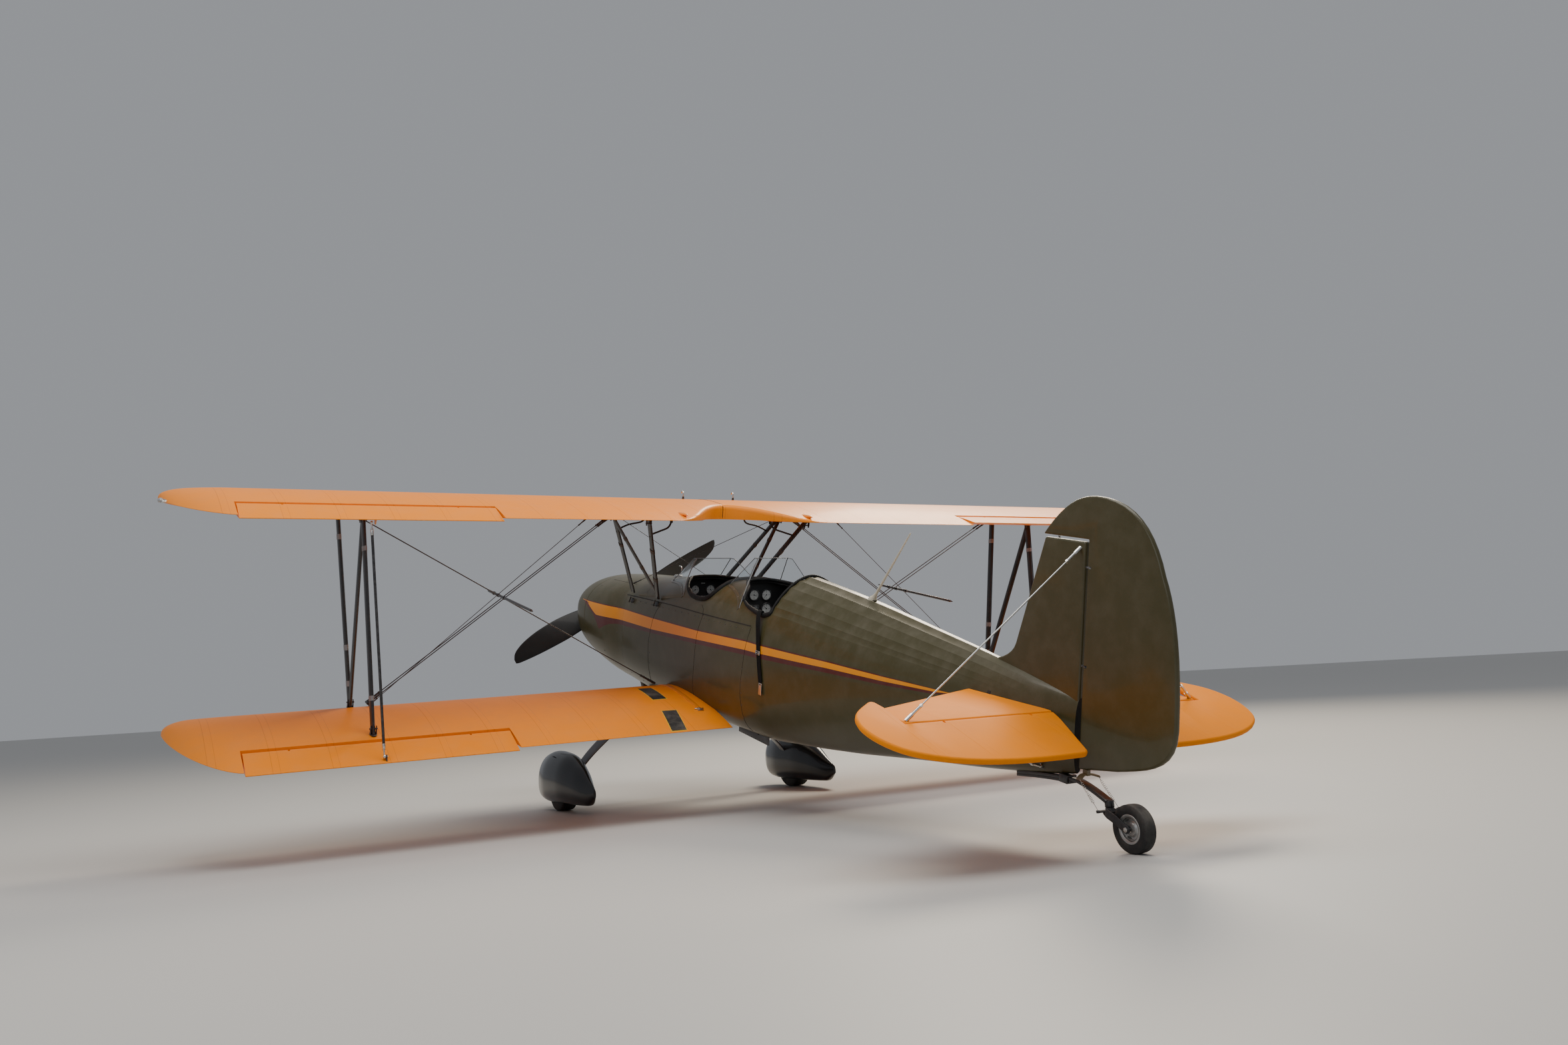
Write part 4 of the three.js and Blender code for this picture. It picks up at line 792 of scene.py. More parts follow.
# %% Fuselage stations
# y, half width, middle z, top z, bottom z, then how square the upper and lower halves are
BODY = np.array([
    (-0.936, 0.322, -0.05, 0.112, -0.29, 2.2, 2.2), (-0.918, 0.376, -0.046, 0.168, -0.345, 2.2, 2.2),
    (-0.876, 0.418, -0.042, 0.208, -0.392, 2.2, 2.2), (-0.79, 0.442, -0.036, 0.24, -0.428, 2.2, 2.3),
    (-0.62, 0.45, -0.03, 0.262, -0.46, 2.2, 2.4), (-0.3, 0.425, -0.02, 0.296, -0.488, 2.3, 2.9),
    (0.0, 0.372, 0.0, 0.322, -0.5, 2.5, 3.6), (0.5, 0.372, 0.03, 0.372, -0.502, 2.6, 4.2),
    (0.86, 0.372, 0.045, 0.43, -0.5, 2.7, 4.4), (1.34, 0.372, 0.055, 0.462, -0.488, 2.6, 4.2),
    (1.64, 0.372, 0.062, 0.496, -0.474, 2.3, 4.0), (2.13, 0.37, 0.075, 0.583, -0.452, 1.75, 3.6),
    (2.35, 0.352, 0.082, 0.571, -0.425, 1.75, 3.4), (2.9, 0.288, 0.1, 0.528, -0.344, 1.7, 3.0),
    (3.5, 0.204, 0.13, 0.464, -0.236, 1.7, 2.6), (4.02, 0.13, 0.16, 0.405, -0.145, 1.7, 2.4),
    (4.4, 0.068, 0.175, 0.352, -0.068, 1.9, 2.4), (4.59, 0.03, 0.18, 0.322, -0.022, 2.2, 2.6)])
COWL_SPLIT, FIREWALL, TAIL_POST = -0.62, 0.0, 4.59
WALL, COWL_WALL, SKIN_GAP = 0.02, 0.012, 0.0003
ARCH_Y = 2.168
# directions of the deck's stringers, in degrees up from level, and where their facets fade out
STRINGERS = (43.7, 50.5, 59.4, 70.0, 78.7, 87.0, 93.0, 101.3, 110.0, 120.6, 129.5, 136.3)
FACETS_FADE = (3.5, 4.3)
FACET_SAG = 0.007


def body_point(turn, y, grow=0.0):
    """Point on the body in the direction turn, in radians up from level"""
    half, middle, top, bottom, upper, lower = (through(BODY[:, 0], BODY[:, i], y) for i in range(1, 7))
    c, s = np.cos(turn), np.sin(turn)
    reach = np.where(s > 0, top - middle, middle - bottom) + grow
    power = np.where(s > 0, upper, lower)
    radius = ((np.abs(c) / (half + grow)) ** power + (np.abs(s) / reach) ** power) ** (-1 / power)
    return stacked(radius * c, y, middle + radius * s)


def faceted_point(turn, y):
    """The same with flat covering between the stringers, aft of the rear cockpit"""
    made = body_point(turn, y)
    fade = np.clip((FACETS_FADE[1] - y) / (FACETS_FADE[1] - FACETS_FADE[0]), 0, 1)
    fade = (fade * fade * (3 - 2 * fade) * np.clip((y - 2.0) / 0.1, 0, 1))[:, None]
    for low, high in zip(np.radians(STRINGERS[:-1]), np.radians(STRINGERS[1:])):
        inside = ((turn > low) & (turn < high))[:, None]
        part = ((turn - low) / (high - low))[:, None]
        edges = [body_point(np.full_like(y, limit), y) for limit in (low, high)]
        flat = edges[0] * (1 - part) + edges[1] * part
        flat[:, [0, 2]] *= 1 - FACET_SAG * 4 * part * (1 - part)
        made = np.where(inside, made + (flat - made) * fade, made)
    return made


SIDE_STEPS, FACET_STEPS = 34, 2
turn_stops = [-90.0, *STRINGERS, 270.0]
turn_steps = np.cumsum([0, SIDE_STEPS, *[FACET_STEPS] * (len(STRINGERS) - 1), SIDE_STEPS])


def body_loft(name, start, end, along, grow=None):
    steps = turn_steps[-1]

    def place(u, v):
        turn = np.radians(np.interp(u * steps, turn_steps, turn_stops))
        y = start + (end - start) * v
        return faceted_point(turn, y) if grow is None else body_point(turn, y, grow)
    return wrapped(name, steps, along, place)


print("stations", len(BODY), "points round", turn_steps[-1])

# %% Cutting shapes
def whole():
    bpy.ops.mesh.select_all(action="SELECT")


def prism(name, outline, lift):
    """Solid with straight walls: a circle primitive laid on the outline, then extruded"""
    deselect()
    bpy.ops.mesh.primitive_circle_add(vertices=len(outline), radius=1, fill_type="NGON")
    obj = shaped(named(name), lambda p: outline)
    return edited(obj, lambda: bpy.ops.mesh.extrude_region_move(TRANSFORM_OT_translate={"value": lift}),
                  whole, outward)


def block(name, low, high):
    deselect()
    size = Vector(high) - Vector(low)
    middle = (Vector(high) + Vector(low)) / 2
    bpy.ops.mesh.primitive_cube_add(size=1)
    return shaped(named(name), lambda p: p * size + middle)


def curved(*controls, steps=6):
    """Points of a Bezier curve with two, three or four controls, without its last point"""
    t = np.linspace(0, 1, steps, endpoint=False)[:, None]
    points = [np.asarray(c, float) for c in controls]
    while len(points) > 1:
        points = [a * (1 - t) + b * t for a, b in zip(points, points[1:])]
    return [tuple(p) for p in np.broadcast_to(points[0], (steps, len(controls[0])))]


# left half of each opening seen from above: the hood's edge from the middle, then the padded edge
COCKPITS = {
    "front": dict(hood=[(0, 0.69), (0.1, 0.69), (0.15, 0.715), (0.205, 0.802), (0.262, 0.902),
                        (0.296, 0.985)],
                  rim=[(0.296, 0.985), (0.315, 1.06), (0.323, 1.15), (0.323, 1.255), (0.313, 1.325),
                       (0.29, 1.362), (0.25, 1.377), (0.2, 1.379), (0, 1.379)]),
    "rear": dict(hood=[(0, 1.52), (0.08, 1.52), (0.125, 1.545), (0.165, 1.622), (0.212, 1.712),
                       (0.258, 1.757), (0.283, 1.793)],
                 rim=[(0.283, 1.793), (0.296, 1.86), (0.302, 1.945), (0.305, 2.03), (0.305, 2.095),
                      (0.304, 2.118), (0.293, ARCH_Y), (0.275, ARCH_Y), (0.25, ARCH_Y), (0.2, ARCH_Y),
                      (0.12, ARCH_Y), (0, ARCH_Y)]),
}
OUTLINE_STEPS = 5


def both_sides(half):
    """A half outline that ends on the middle line, carried on over the other side"""
    return np.vstack([half, half[-2::-1] * (-1, 1)])


def cockpit_outline(hood, rim):
    half = np.vstack([flowing(hood, OUTLINE_STEPS)[:-1], flowing(rim, OUTLINE_STEPS)])
    return both_sides(half)[:-1]


def flat_at(points, z):
    return [(x, y, z) for x, y in points]


OPENING_LOW, OPENING_HIGH = 0.06, 0.7
fuselage = body_loft("fuselage_skin", FIREWALL, TAIL_POST, 150)
hollow = body_loft("hollow", FIREWALL + 0.025, 2.4, 60, -WALL)
openings = [prism(f"{name}_opening", flat_at(cockpit_outline(**sizes), OPENING_LOW),
                  (0, 0, OPENING_HIGH - OPENING_LOW)) for name, sizes in COCKPITS.items()]
cut(fuselage, hollow, *openings)
print("fuselage faces", len(fuselage.data.polygons))


# %% Stringer edges
def mark_stringers(obj):
    """Marks the facets' long edges sharp, found by their direction from the body's middle"""
    mesh = obj.data
    points = np.array([v.co for v in mesh.vertices])
    middle = through(BODY[:, 0], BODY[:, 2], points[:, 1])
    turn = np.degrees(np.arctan2(points[:, 2] - middle, points[:, 0]))
    near = np.abs(turn[:, None] - np.array(STRINGERS)[None]).argmin(axis=1)
    on_line = (np.abs(turn - np.array(STRINGERS)[near]) < 0.06) & (points[:, 1] > ARCH_Y - 0.01)
    on_line &= points[:, 1] < FACETS_FADE[1]
    pick(obj)
    smooth(obj, 28)
    sharp = mesh.attributes.get("sharp_edge") or mesh.attributes.new("sharp_edge", "BOOLEAN", "EDGE")
    count = 0
    for edge in mesh.edges:
        a, b = edge.vertices
        if on_line[a] and on_line[b] and near[a] == near[b]:
            sharp.data[edge.index].value = True
            count += 1
    return count


def within_body(obj, depth):
    """Which faces lie deeper under the skin than depth: the inside of a shell"""
    centres = np.array([face.center for face in obj.data.polygons])
    middle = through(BODY[:, 0], BODY[:, 2], centres[:, 1])
    turn = np.arctan2(centres[:, 2] - middle, centres[:, 0])
    skin_at = body_point(turn, centres[:, 1], -depth)
    return np.hypot(centres[:, 0], centres[:, 2] - middle) < np.hypot(skin_at[:, 0], skin_at[:, 2] - middle)


def lined(obj, inner_faces, lining):
    """A second finish on the chosen faces"""
    obj.data.materials.append(lining)
    obj.data.polygons.foreach_set("material_index", inner_faces.astype(int))


print("facet edges", mark_stringers(fuselage))
inner = within_body(fuselage, 0.0048)
settle(fuselage, olive_striped, replaces=("forward_fuselage", "rear_fuselage"))
# the fuselage's inner walls take the near-black painted shade
lined(fuselage, inner, inside_painted_shade)

# %% [markdown]
# ## Cowl and nose bowl
# The cowl is a thin metal shell in two parts with a fine gap at the joint. Both are cut from the
# same loft as the fuselage, so the stripe and the outline run on without a step.

# %% Cowl and nose bowl
NOSE_TIP = -0.936
SEAM_HALF = 0.0008


def rod(name, start, end, radius, sides=16, end_radius=None):
    """Round bar between two points"""
    a, b = Vector(start), Vector(end)
    deselect()
    bpy.ops.mesh.primitive_cone_add(vertices=sides, radius1=radius, radius2=end_radius or radius,
                                    depth=(b - a).length)
    turn = (b - a).to_track_quat("Z", "Y").to_matrix().to_4x4()
    return moved(named(name), Matrix.Translation((a + b) / 2) @ turn)


def nose_loft(name, start, end, grow=0.0, along=24):
    def place(u, v):
        y = start + (end - start) * (1 - np.cos(v * np.pi / 2))
        return body_point(np.radians(360 * u - 90), y, grow)
    return wrapped(name, 96, along, place)


cowl = nose_loft("engine_cowl", COWL_SPLIT + SEAM_HALF, FIREWALL - SEAM_HALF)
outlet = prism("outlet", flat_at([(-0.19, -0.17), (-0.17, -0.185), (0.17, -0.185), (0.19, -0.17),
                                  (0.19, 0.02), (-0.19, 0.02)], -0.62), (0, 0, 0.19))
cut(cowl, nose_loft("cowl_hollow", COWL_SPLIT - 0.02, FIREWALL + 0.02, -COWL_WALL), outlet)
smooth(cowl, 30)
inner = within_body(cowl, 0.008)
settle(cowl, olive_striped, replaces=("engine_cowl",))
# the cowl's inner walls take the near-black painted shade
lined(cowl, inner, inside_painted_shade)

INLET_X, INLET_HALF, INLET_HIGH, SHAFT_HOLE = 0.19, 0.092, 0.046, 0.078
bowl = nose_loft("nose_bowl", NOSE_TIP, COWL_SPLIT - SEAM_HALF)
inlets = []
for side in (-1, 1):
    made = rod("inlet", (0, -1.0, 0), (0, -0.8, 0), 1, 40)
    inlets.append(shaped(made, lambda p: stacked(side * INLET_X + p[:, 0] * INLET_HALF, p[:, 1],
                                                 -0.045 + p[:, 2] * INLET_HIGH)))
shaft_hole = rod("shaft_hole", (0, -1.0, 0), (0, -0.8, 0), SHAFT_HOLE, 48)
cut(bowl, nose_loft("bowl_hollow", NOSE_TIP + COWL_WALL, COWL_SPLIT + 0.02, -COWL_WALL), *inlets,
    shaft_hole)
bevelled(bowl, 0.004, 2, 40)
settle(bowl, olive_striped, replaces=("nose_bowl",))
print("cowl faces", len(cowl.data.polygons), "bowl faces", len(bowl.data.polygons))

# %% [markdown]
# ## Wings
# A fabric wing is an aerofoil section swept along the span, with a rounded tip, a bay for the
# aileron and, on the upper wing, a cut-back rear edge over the cockpits. Each section is a closed
# loop of points, so the loft makes the whole solid at once. Only the bay is cut out.

# %% Wing sections
WINGS = {
    "upper": dict(edge=0.248, level=0.88, sweep=5.97, dihedral=0.39, incidence=1.23, root=0.0005,
                  tip=3.653, tip_taper=3.3, bay=(1.792, 3.3)),
    "lower": dict(edge=0.75, level=-0.389, sweep=0.25, dihedral=-0.78, incidence=1.6, root=0.33,
                  tip=3.567, tip_taper=3.21, bay=(1.72, 3.21)),
}
CHORD = 1.068
HINGE_AT, NOSE_RADIUS, BAY_SLACK = 0.8, 0.0287, 0.009
CUTOUT_HALF, CUTOUT_DEPTH, CUTOUT_ROUND = 0.575, 0.451, 0.03
TIP_POWER, TIP_FRONT, TIP_NOSE = 1.5, 0.18, 0.17


def section_height(f, side):
    """Height over the chord line, as a share of the chord"""
    f = np.clip(f, 0, 1)
    half = 0.6 * (0.2969 * np.sqrt(f) - 0.126 * f - 0.3516 * f ** 2 + 0.2843 * f ** 3 - 0.1036 * f ** 4)
    return 0.08 * f * (1 - f) + side * (half + 0.0012)


def slope(degrees):
    return math.tan(math.radians(degrees))


def wing_axis(wing, x, f, height):
    """Point at span x, chord share f and height over the chord line in metres"""
    return stacked(x, wing["edge"] + x * slope(wing["sweep"]) + f * CHORD,
                   wing["level"] + x * slope(wing["dihedral"])
                   - f * CHORD * math.sin(math.radians(wing["incidence"])) + height)


def wing_seat(key, x, f, side):
    return Vector(wing_axis(WINGS[key], x, f, float(section_height(f, side)) * CHORD))


def wing_loft(name, key, around=66, along=84, tip_along=22):
    wing = WINGS[key]
    steps = along + tip_along

    def place(u, v):
        step = np.round(v * steps)
        out = np.clip((step - along) / tip_along, 0, 1)
        x = np.where(step <= along, wing["root"] + (wing["tip_taper"] - wing["root"]) * step / along,
                     wing["tip_taper"] + (wing["tip"] - wing["tip_taper"]) * np.sin(out * math.pi / 2)
                     * 0.9995)
        taper = np.clip((x - wing["tip_taper"]) / (wing["tip"] - wing["tip_taper"]), 0, 1)
        nose = np.clip((x - wing["tip"] + TIP_NOSE) / TIP_NOSE, 0, 1)
        rear = TIP_FRONT + (1 - TIP_FRONT) * (1 - taper ** TIP_POWER) ** (1 / TIP_POWER)
        front = TIP_FRONT * (1 - np.sqrt(1 - nose ** 2))
        k = np.round(u * around)
        ends = (k == 0) | (k == around)
        t = np.abs(2 * np.clip(k - 1, 0, around - 2) / (around - 2) - 1)
        side = np.where(ends | (t < 1e-6), 0, np.where(k < around / 2, 1, -1))
        stop = (1 - np.cos(math.pi * t)) / 2
        last = np.ones_like(x)
        if key == "upper":
            depth = CUTOUT_DEPTH / 2 * (1 + np.cos(math.pi * np.clip(x / CUTOUT_HALF, 0, 1)))
            last = 1 - depth / CHORD
        stop = stop * last
        height = section_height(stop, side) * CHORD * (rear - front) ** 0.6
        thick = (section_height(last, 1) - section_height(last, -1)) * CHORD
        radius = np.minimum(CUTOUT_ROUND, thick * 0.46)
        inside = np.clip(radius - (last - stop) * CHORD, 0, None)
        round_off = radius - np.sqrt(np.clip(radius ** 2 - inside ** 2, 0, None))
        height = height - np.where((last < 0.999) & (side >= 0), round_off, 0)
        height = np.where(ends & (last < 0.999), height - thick * 0.1, height)
        return wing_axis(wing, x, front + stop * (rear - front), height)
    return wrapped(name, around, steps, place)


def bay_cutter(wing):
    front = HINGE_AT - (NOSE_RADIUS / 0.96 + BAY_SLACK) / CHORD
    low, high = wing["bay"][0] - 0.002, wing["bay"][1] + 0.002
    corners = ((low, front), (high, front), (high, 1.08), (low, 1.08))
    return prism("bay", np.array([wing_axis(wing, x, f, -0.3) for x, f in corners]), (0, 0, 0.6))


for key, wing in WINGS.items():
    panel = smooth(cut(wing_loft(f"{key}_wing_left_skin", key), bay_cutter(wing)), 32)
    if key == "lower":
        smooth(cut(panel, body_loft("body_tool", FIREWALL, TAIL_POST, 90, SKIN_GAP)), 32)
    paired(panel, wing_orange, replaces=(f"{key}_wing_left",))
    print(key, "wing faces", len(panel.data.polygons))

# %% [markdown]
# ## Ailerons
# Each aileron has a round nose that turns in its bay and a thin tail. The left ones hang a little
# and the right ones stand up by the same angle, because the sticks rest to one side.

# %% Ailerons
END_SLACK = 0.006
AILERON_REST = math.radians(5)
hinge_line = {}


def turned_about(start, end, angle):
    axis = (Vector(end) - Vector(start)).normalized()
    there = Matrix.Translation(Vector(start))
    return there @ Matrix.Rotation(angle, 4, axis) @ there.inverted()


def aileron_blade(name, key, along=40):
    wing = WINGS[key]
    middle = 0.5 * float(section_height(HINGE_AT, 1) + section_height(HINGE_AT, -1)) * CHORD
    ends = [Vector(wing_axis(wing, x, HINGE_AT, middle))
            for x in (wing["bay"][0] + END_SLACK, wing["bay"][1] - END_SLACK)]
    hinge_line[key] = ends
    length = (1 - HINGE_AT) * CHORD
    drop = length * math.sin(math.radians(wing["incidence"])) + 0.064 * length
    arc = np.radians(np.linspace(90, 270, 15))
    nose = [(NOSE_RADIUS * math.cos(a), NOSE_RADIUS * math.sin(a)) for a in arc]
    run = np.linspace(0, 1, 9)[1:]
    under = [(length * t, -NOSE_RADIUS * (1 - t) - (drop + 0.002) * t - 0.0018 * math.sin(t * math.pi))
             for t in run]
    over = [(length * t, NOSE_RADIUS * (1 - t) - (drop - 0.002) * t + 0.0018 * math.sin(t * math.pi))
            for t in run]
    ring = np.array(nose + under + over[::-1] + nose[:1])
    count = len(ring) - 1

    def place(u, v):
        k = np.round(u * count).astype(int)
        x, y, z = (ends[0][i] + (ends[1][i] - ends[0][i]) * v for i in range(3))
        return stacked(x, y + ring[k, 0], z + ring[k, 1])
    return wrapped(name, count, along, place)


for key in WINGS:
    blade = smooth(aileron_blade(f"{key}_aileron_skin", key), 40)
    start, end = hinge_line[key]
    left = copied(blade, f"aileron_{key}_left_skin", turned_about(start, end, -AILERON_REST))
    other = copied(blade, f"aileron_{key}_right_skin", MIRROR @ turned_about(start, end, AILERON_REST))
    bpy.data.objects.remove(blade)
    settle(left, wing_orange, f"aileron_{key}_left", replaces=(f"aileron_{key}_left",))
    settle(other, wing_orange, f"aileron_{key}_right", replaces=(f"aileron_{key}_right",))
print("aileron hinges from", [[round(v, 3) for v in ends[0]] for ends in hinge_line.values()])

# %% [markdown]
# ## Tail surfaces
# Fin, rudder, stabilizers and elevators are thin fabric-covered frames of one thickness with round
# edges. An outline is filled and extruded to a plate, and a bevel modifier rounds its rim.

# %% Tail surfaces
FIN_EDGE, STAB_EDGE, ELEVATOR_Y, ELEVATOR_Z, TAIL_NOSE = 4.59, 4.466, 4.49, 0.226, 0.014
ELEVATOR_REST = math.radians(12)


def upright_plate(name, outline, thick, rounding):
    """Plate across X from an outline in Y and Z"""
    made = prism(name, [(-thick / 2, y, z) for y, z in outline], (thick, 0, 0))
    return bevelled(made, rounding, 4, 50)


def level_plate(name, outline, z, thick, rounding):
    made = prism(name, [(x, y, z - thick / 2) for x, y in outline], (0, 0, thick))
    return bevelled(made, rounding, 4, 50)


fin_outline = [(3.96, 0.34), (FIN_EDGE, 0.24), (FIN_EDGE, 1.036), (4.316, 1.036),
               *curved((4.138, 0.5), (4.11, 0.425), (3.96, 0.392)), (3.96, 0.392)]
fin = upright_plate("fin_skin", fin_outline, 0.034, 0.011)
cut(fin, body_loft("fin_tool", FIREWALL, TAIL_POST, 60, SKIN_GAP))
settle(smooth(fin, 30), olive_plain, replaces=("fin",))

nose_y = RUDDER_Y - TAIL_NOSE
rudder_outline = [(nose_y, 0.002), *curved((4.839, 0.05), (5.02, 0.1), (5.165, 0.13), (5.166, 0.3),
                                           steps=9),
                  *curved((5.166, 0.3), (5.166, 0.64), (5.11, 0.83), (5.059, 0.931), steps=9),
                  *curved((5.059, 0.931), (4.99, 1.13), (4.87, 1.25), (4.64, 1.25), steps=10),
                  *curved((4.64, 1.25), (4.5, 1.25), (4.4, 1.17), (4.296, 1.048), steps=9),
                  (4.296, 1.048), (nose_y, 1.048)]
rudder = upright_plate("rudder_skin", rudder_outline, 0.028, 0.011)
settle(rudder, olive_plain, "rudder", replaces=("rudder",))

stab_outline = [(0.0005, 3.905), (0.15, 3.936), (0.86, 4.206),
                *curved((0.86, 4.206), (0.88, 4.214), (0.884, 4.24))[1:], (0.884, 4.24), (0.884, STAB_EDGE),
                (0.0005, STAB_EDGE)]
stabilizer = level_plate("stabilizer_left_skin", stab_outline, ELEVATOR_Z, 0.03, 0.01)
cut(stabilizer, body_loft("stab_tool", FIREWALL, TAIL_POST, 60, SKIN_GAP),
    block("tail_post_tool", (-0.06, 3.8, -0.1), (0.06, 4.7, 0.5)))
smooth(stabilizer, 30)
elevator_outline = [(0.062, -0.014), (0.08, 0.06), *curved((0.19, 0.36), (0.205, 0.382), (0.235, 0.38)),
                    *curved((0.235, 0.38), (0.56, 0.392), (0.83, 0.372), (1.0, 0.25), steps=10),
                    *curved((1.0, 0.25), (1.105, 0.18), (1.14, 0.02), (1.11, -0.06), steps=10),
                    *curved((1.11, -0.06), (1.09, -0.15), (1.02, -0.19), (0.945, -0.244), steps=8),
                    *curved((0.945, -0.244), (0.925, -0.256), (0.91, -0.236), steps=5),
                    (0.91, -0.236), (0.896, -0.18), (0.896, -0.014)]
elevator = level_plate("elevator_left_skin", elevator_outline, 0, 0.028, 0.011)
moved(elevator, Matrix.Translation((0, ELEVATOR_Y, ELEVATOR_Z)) @ Matrix.Rotation(-ELEVATOR_REST, 4, "X"))
for piece, body in ((stabilizer, "airframe"), (elevator, "elevators")):
    paired(piece, tail_orange, body, replaces=(piece.name.replace("_skin", ""),))
print("tail plates", len(rudder.data.polygons), len(elevator.data.polygons))

# %% [markdown]
# ## Struts
# The struts are streamlined tube: a long section with a round nose and a thin tail. The section is
# laid along a line from foot to head, broad side fore and aft.

# %% Streamlined struts
STRUT_CHORD, STRUT_THICK = 0.058, 0.026


def bar_axes(foot, head):
    along = (Vector(head) - Vector(foot)).normalized()
    fore = (Vector((0, 1, 0)) - along * along.y).normalized()
    return along, fore, along.cross(fore)


def streamlined(name, foot, head, chord=STRUT_CHORD, thick=STRUT_THICK, around=28, along_steps=8):
    along, fore, side = bar_axes(foot, head)
    foot, head = Vector(foot), Vector(head)

    def place(u, v):
        turn = 2 * np.pi * u
        lengthwise = np.cos(turn) * chord / 2
        half = np.sin(turn) * thick / 2 * (1 - 0.22 * np.cos(turn))
        return (np.array(foot)[None] + np.outer(v, head - foot) + np.outer(lengthwise, fore)
                + np.outer(half, side))
    return smooth(wrapped(name, around, along_steps, place), 40)


def moved_up(point, rise):
    return Vector(point) + Vector((0, 0, rise))


FEET = {
    "front": wing_seat("lower", 2.515, 0.09, 1), "rear": wing_seat("lower", 2.5, 0.7, 1),
    "upper_front": wing_seat("upper", 2.63, 0.15, -1), "upper_rear": wing_seat("upper", 2.57, 0.64, -1),
}
CABANE = {
    "front": Vector((0.352, 0.124, 0.224)), "rear": Vector((0.354, 0.587, 0.24)),
    "upper_front": wing_seat("upper", 0.69, 0.15, -1), "upper_rear": wing_seat("upper", 0.632, 0.64, -1),
}
CABANE_CHORD, CABANE_THICK = 0.05, 0.024
interplane = [
    streamlined("front_strut", FEET["front"], moved_up(FEET["upper_front"], 0.004)),
    streamlined("rear_strut", FEET["rear"], moved_up(FEET["upper_rear"], 0.004)),
    streamlined("diagonal_strut", moved_up(FEET["front"], 0.026), moved_up(FEET["upper_rear"], -0.026),
                STRUT_CHORD - 0.004, STRUT_THICK - 0.003)]
CABANE_DIAGONAL = moved_up(CABANE["rear"], 0.02), moved_up(CABANE["upper_front"], -0.022)
cabane = [
    streamlined("front_cabane", CABANE["front"], moved_up(CABANE["upper_front"], 0.004), CABANE_CHORD,
                CABANE_THICK),
    streamlined("rear_cabane", CABANE["rear"], moved_up(CABANE["upper_rear"], 0.004), CABANE_CHORD,
                CABANE_THICK),
    streamlined("diagonal_cabane", *CABANE_DIAGONAL, CABANE_CHORD - 0.004, CABANE_THICK - 0.003)]
for label, parts in (("interplane_strut", interplane), ("cabane_strut", cabane)):
    paired(joined(f"{label}_left_bars", *parts), strut_black, replaces=(f"{label}_left",))
print("strut feet", {name: [round(v, 3) for v in place] for name, place in FEET.items()})

# %% [markdown]
# ## Flying, landing and tail wires
# Solid streamlined steel wires, in pairs between the wings and single at the tail. Each ends in a
# fork with a locknut. The pair hangs between two lugs, and a black rod across the middle keeps the
# crossing wires from beating.

# %% Wires
WIRE_RADIUS, WIRE_HALF_SPACE = 0.0032, 0.022


def wire_with_forks(name, start, end, radius=WIRE_RADIUS, fork=0.055):
    start, end = Vector(start), Vector(end)
    along = (end - start).normalized()
    parts = [rod("wire", start, end, radius, 10)]
    for tip, way in ((start, along), (end, -along)):
        parts += [rod("barrel", tip + way * fork * 0.6, tip + way * fork * 1.6, radius * 1.9, 12),
                  rod("locknut", tip + way * fork * 1.6, tip + way * fork * 1.8, radius * 2.4, 6),
                  rod("fork", tip - way * 0.004, tip + way * fork * 0.7, radius * 2.5, 8)]
    return smooth(joined(name, *parts), 40)


def wire_pair(name, low, high):
    wires = [wire_with_forks("one", low + Vector((0, dy, 0)), high + Vector((0, dy, 0)))
             for dy in (-WIRE_HALF_SPACE, WIRE_HALF_SPACE)]
    lugs = [rod("lug", p + Vector((0, -0.03, 0)), p + Vector((0, 0.03, 0)), 0.0075, 14)
            for p in (low, high)]
    return joined(name, *wires, *lugs)


flying = wire_pair("flying_wires_left_pair", moved_up(wing_seat("lower", 0.47, 0.09, 1), 0.022),
                   moved_up(wing_seat("upper", 2.54, 0.15, -1), -0.022))
landing = wire_pair("landing_wires_left_pair", moved_up(wing_seat("lower", 2.41, 0.07, 1), 0.022),
                    moved_up(wing_seat("upper", 0.77, 0.22, -1), -0.022))
for pair in (flying, landing):
    paired(pair, stay_metal, replaces=(pair.name.replace("_pair", ""),))

TAIL_ANCHOR = {"upper": ((0.866, 4.442, 0.2443), (0.021, 4.562, 1.005)),
               "lower": ((0.866, 4.442, 0.2077), (0.02, 4.4, -0.04))}
for level, (outer_end, inner_end) in TAIL_ANCHOR.items():
    stay = wire_with_forks(f"tail_stay_{level}_left", outer_end, inner_end, 0.0038)
    paired(stay, bright_stay, replaces=(f"tail_wire_{level}_left",))

# %% [markdown]
# ## Gear legs and wheel pants
# Flat spring legs taper outwards and turn down to the axles. The fairings over the wheels are
# moulded teardrops with a crease from the shoulder to the tail.

# %% Gear legs and pants
MAIN_CONTACT = Vector((0, 0.502, -1.268))
TRACK_HALF, WHEELBASE = 0.945, 4.58


def from_ground(x, aft, height):
    """Point given by its place along level ground, aft of the main wheels, and its height"""
    aft, height = np.asarray(aft, float), np.asarray(height, float)
    c, s = math.cos(PITCH), math.sin(PITCH)
    return stacked(x, MAIN_CONTACT.y + c * aft - s * height, MAIN_CONTACT.z + s * aft + c * height)


# x, y, z of the middle, chord and thickness
LEG = np.array([(0.15, 0.29, -0.503, 0.15, 0.024), (0.3, 0.3, -0.53, 0.15, 0.024),
                (0.56, 0.39, -0.745, 0.128, 0.021), (0.79, 0.452, -0.935, 0.108, 0.018),
                (0.846, 0.462, -1.01, 0.096, 0.018), (0.858, 0.462, -1.092, 0.09, 0.018)])
leg_run = np.concatenate([[0], np.cumsum(np.hypot(np.diff(LEG[:, 0]), np.diff(LEG[:, 2])))])


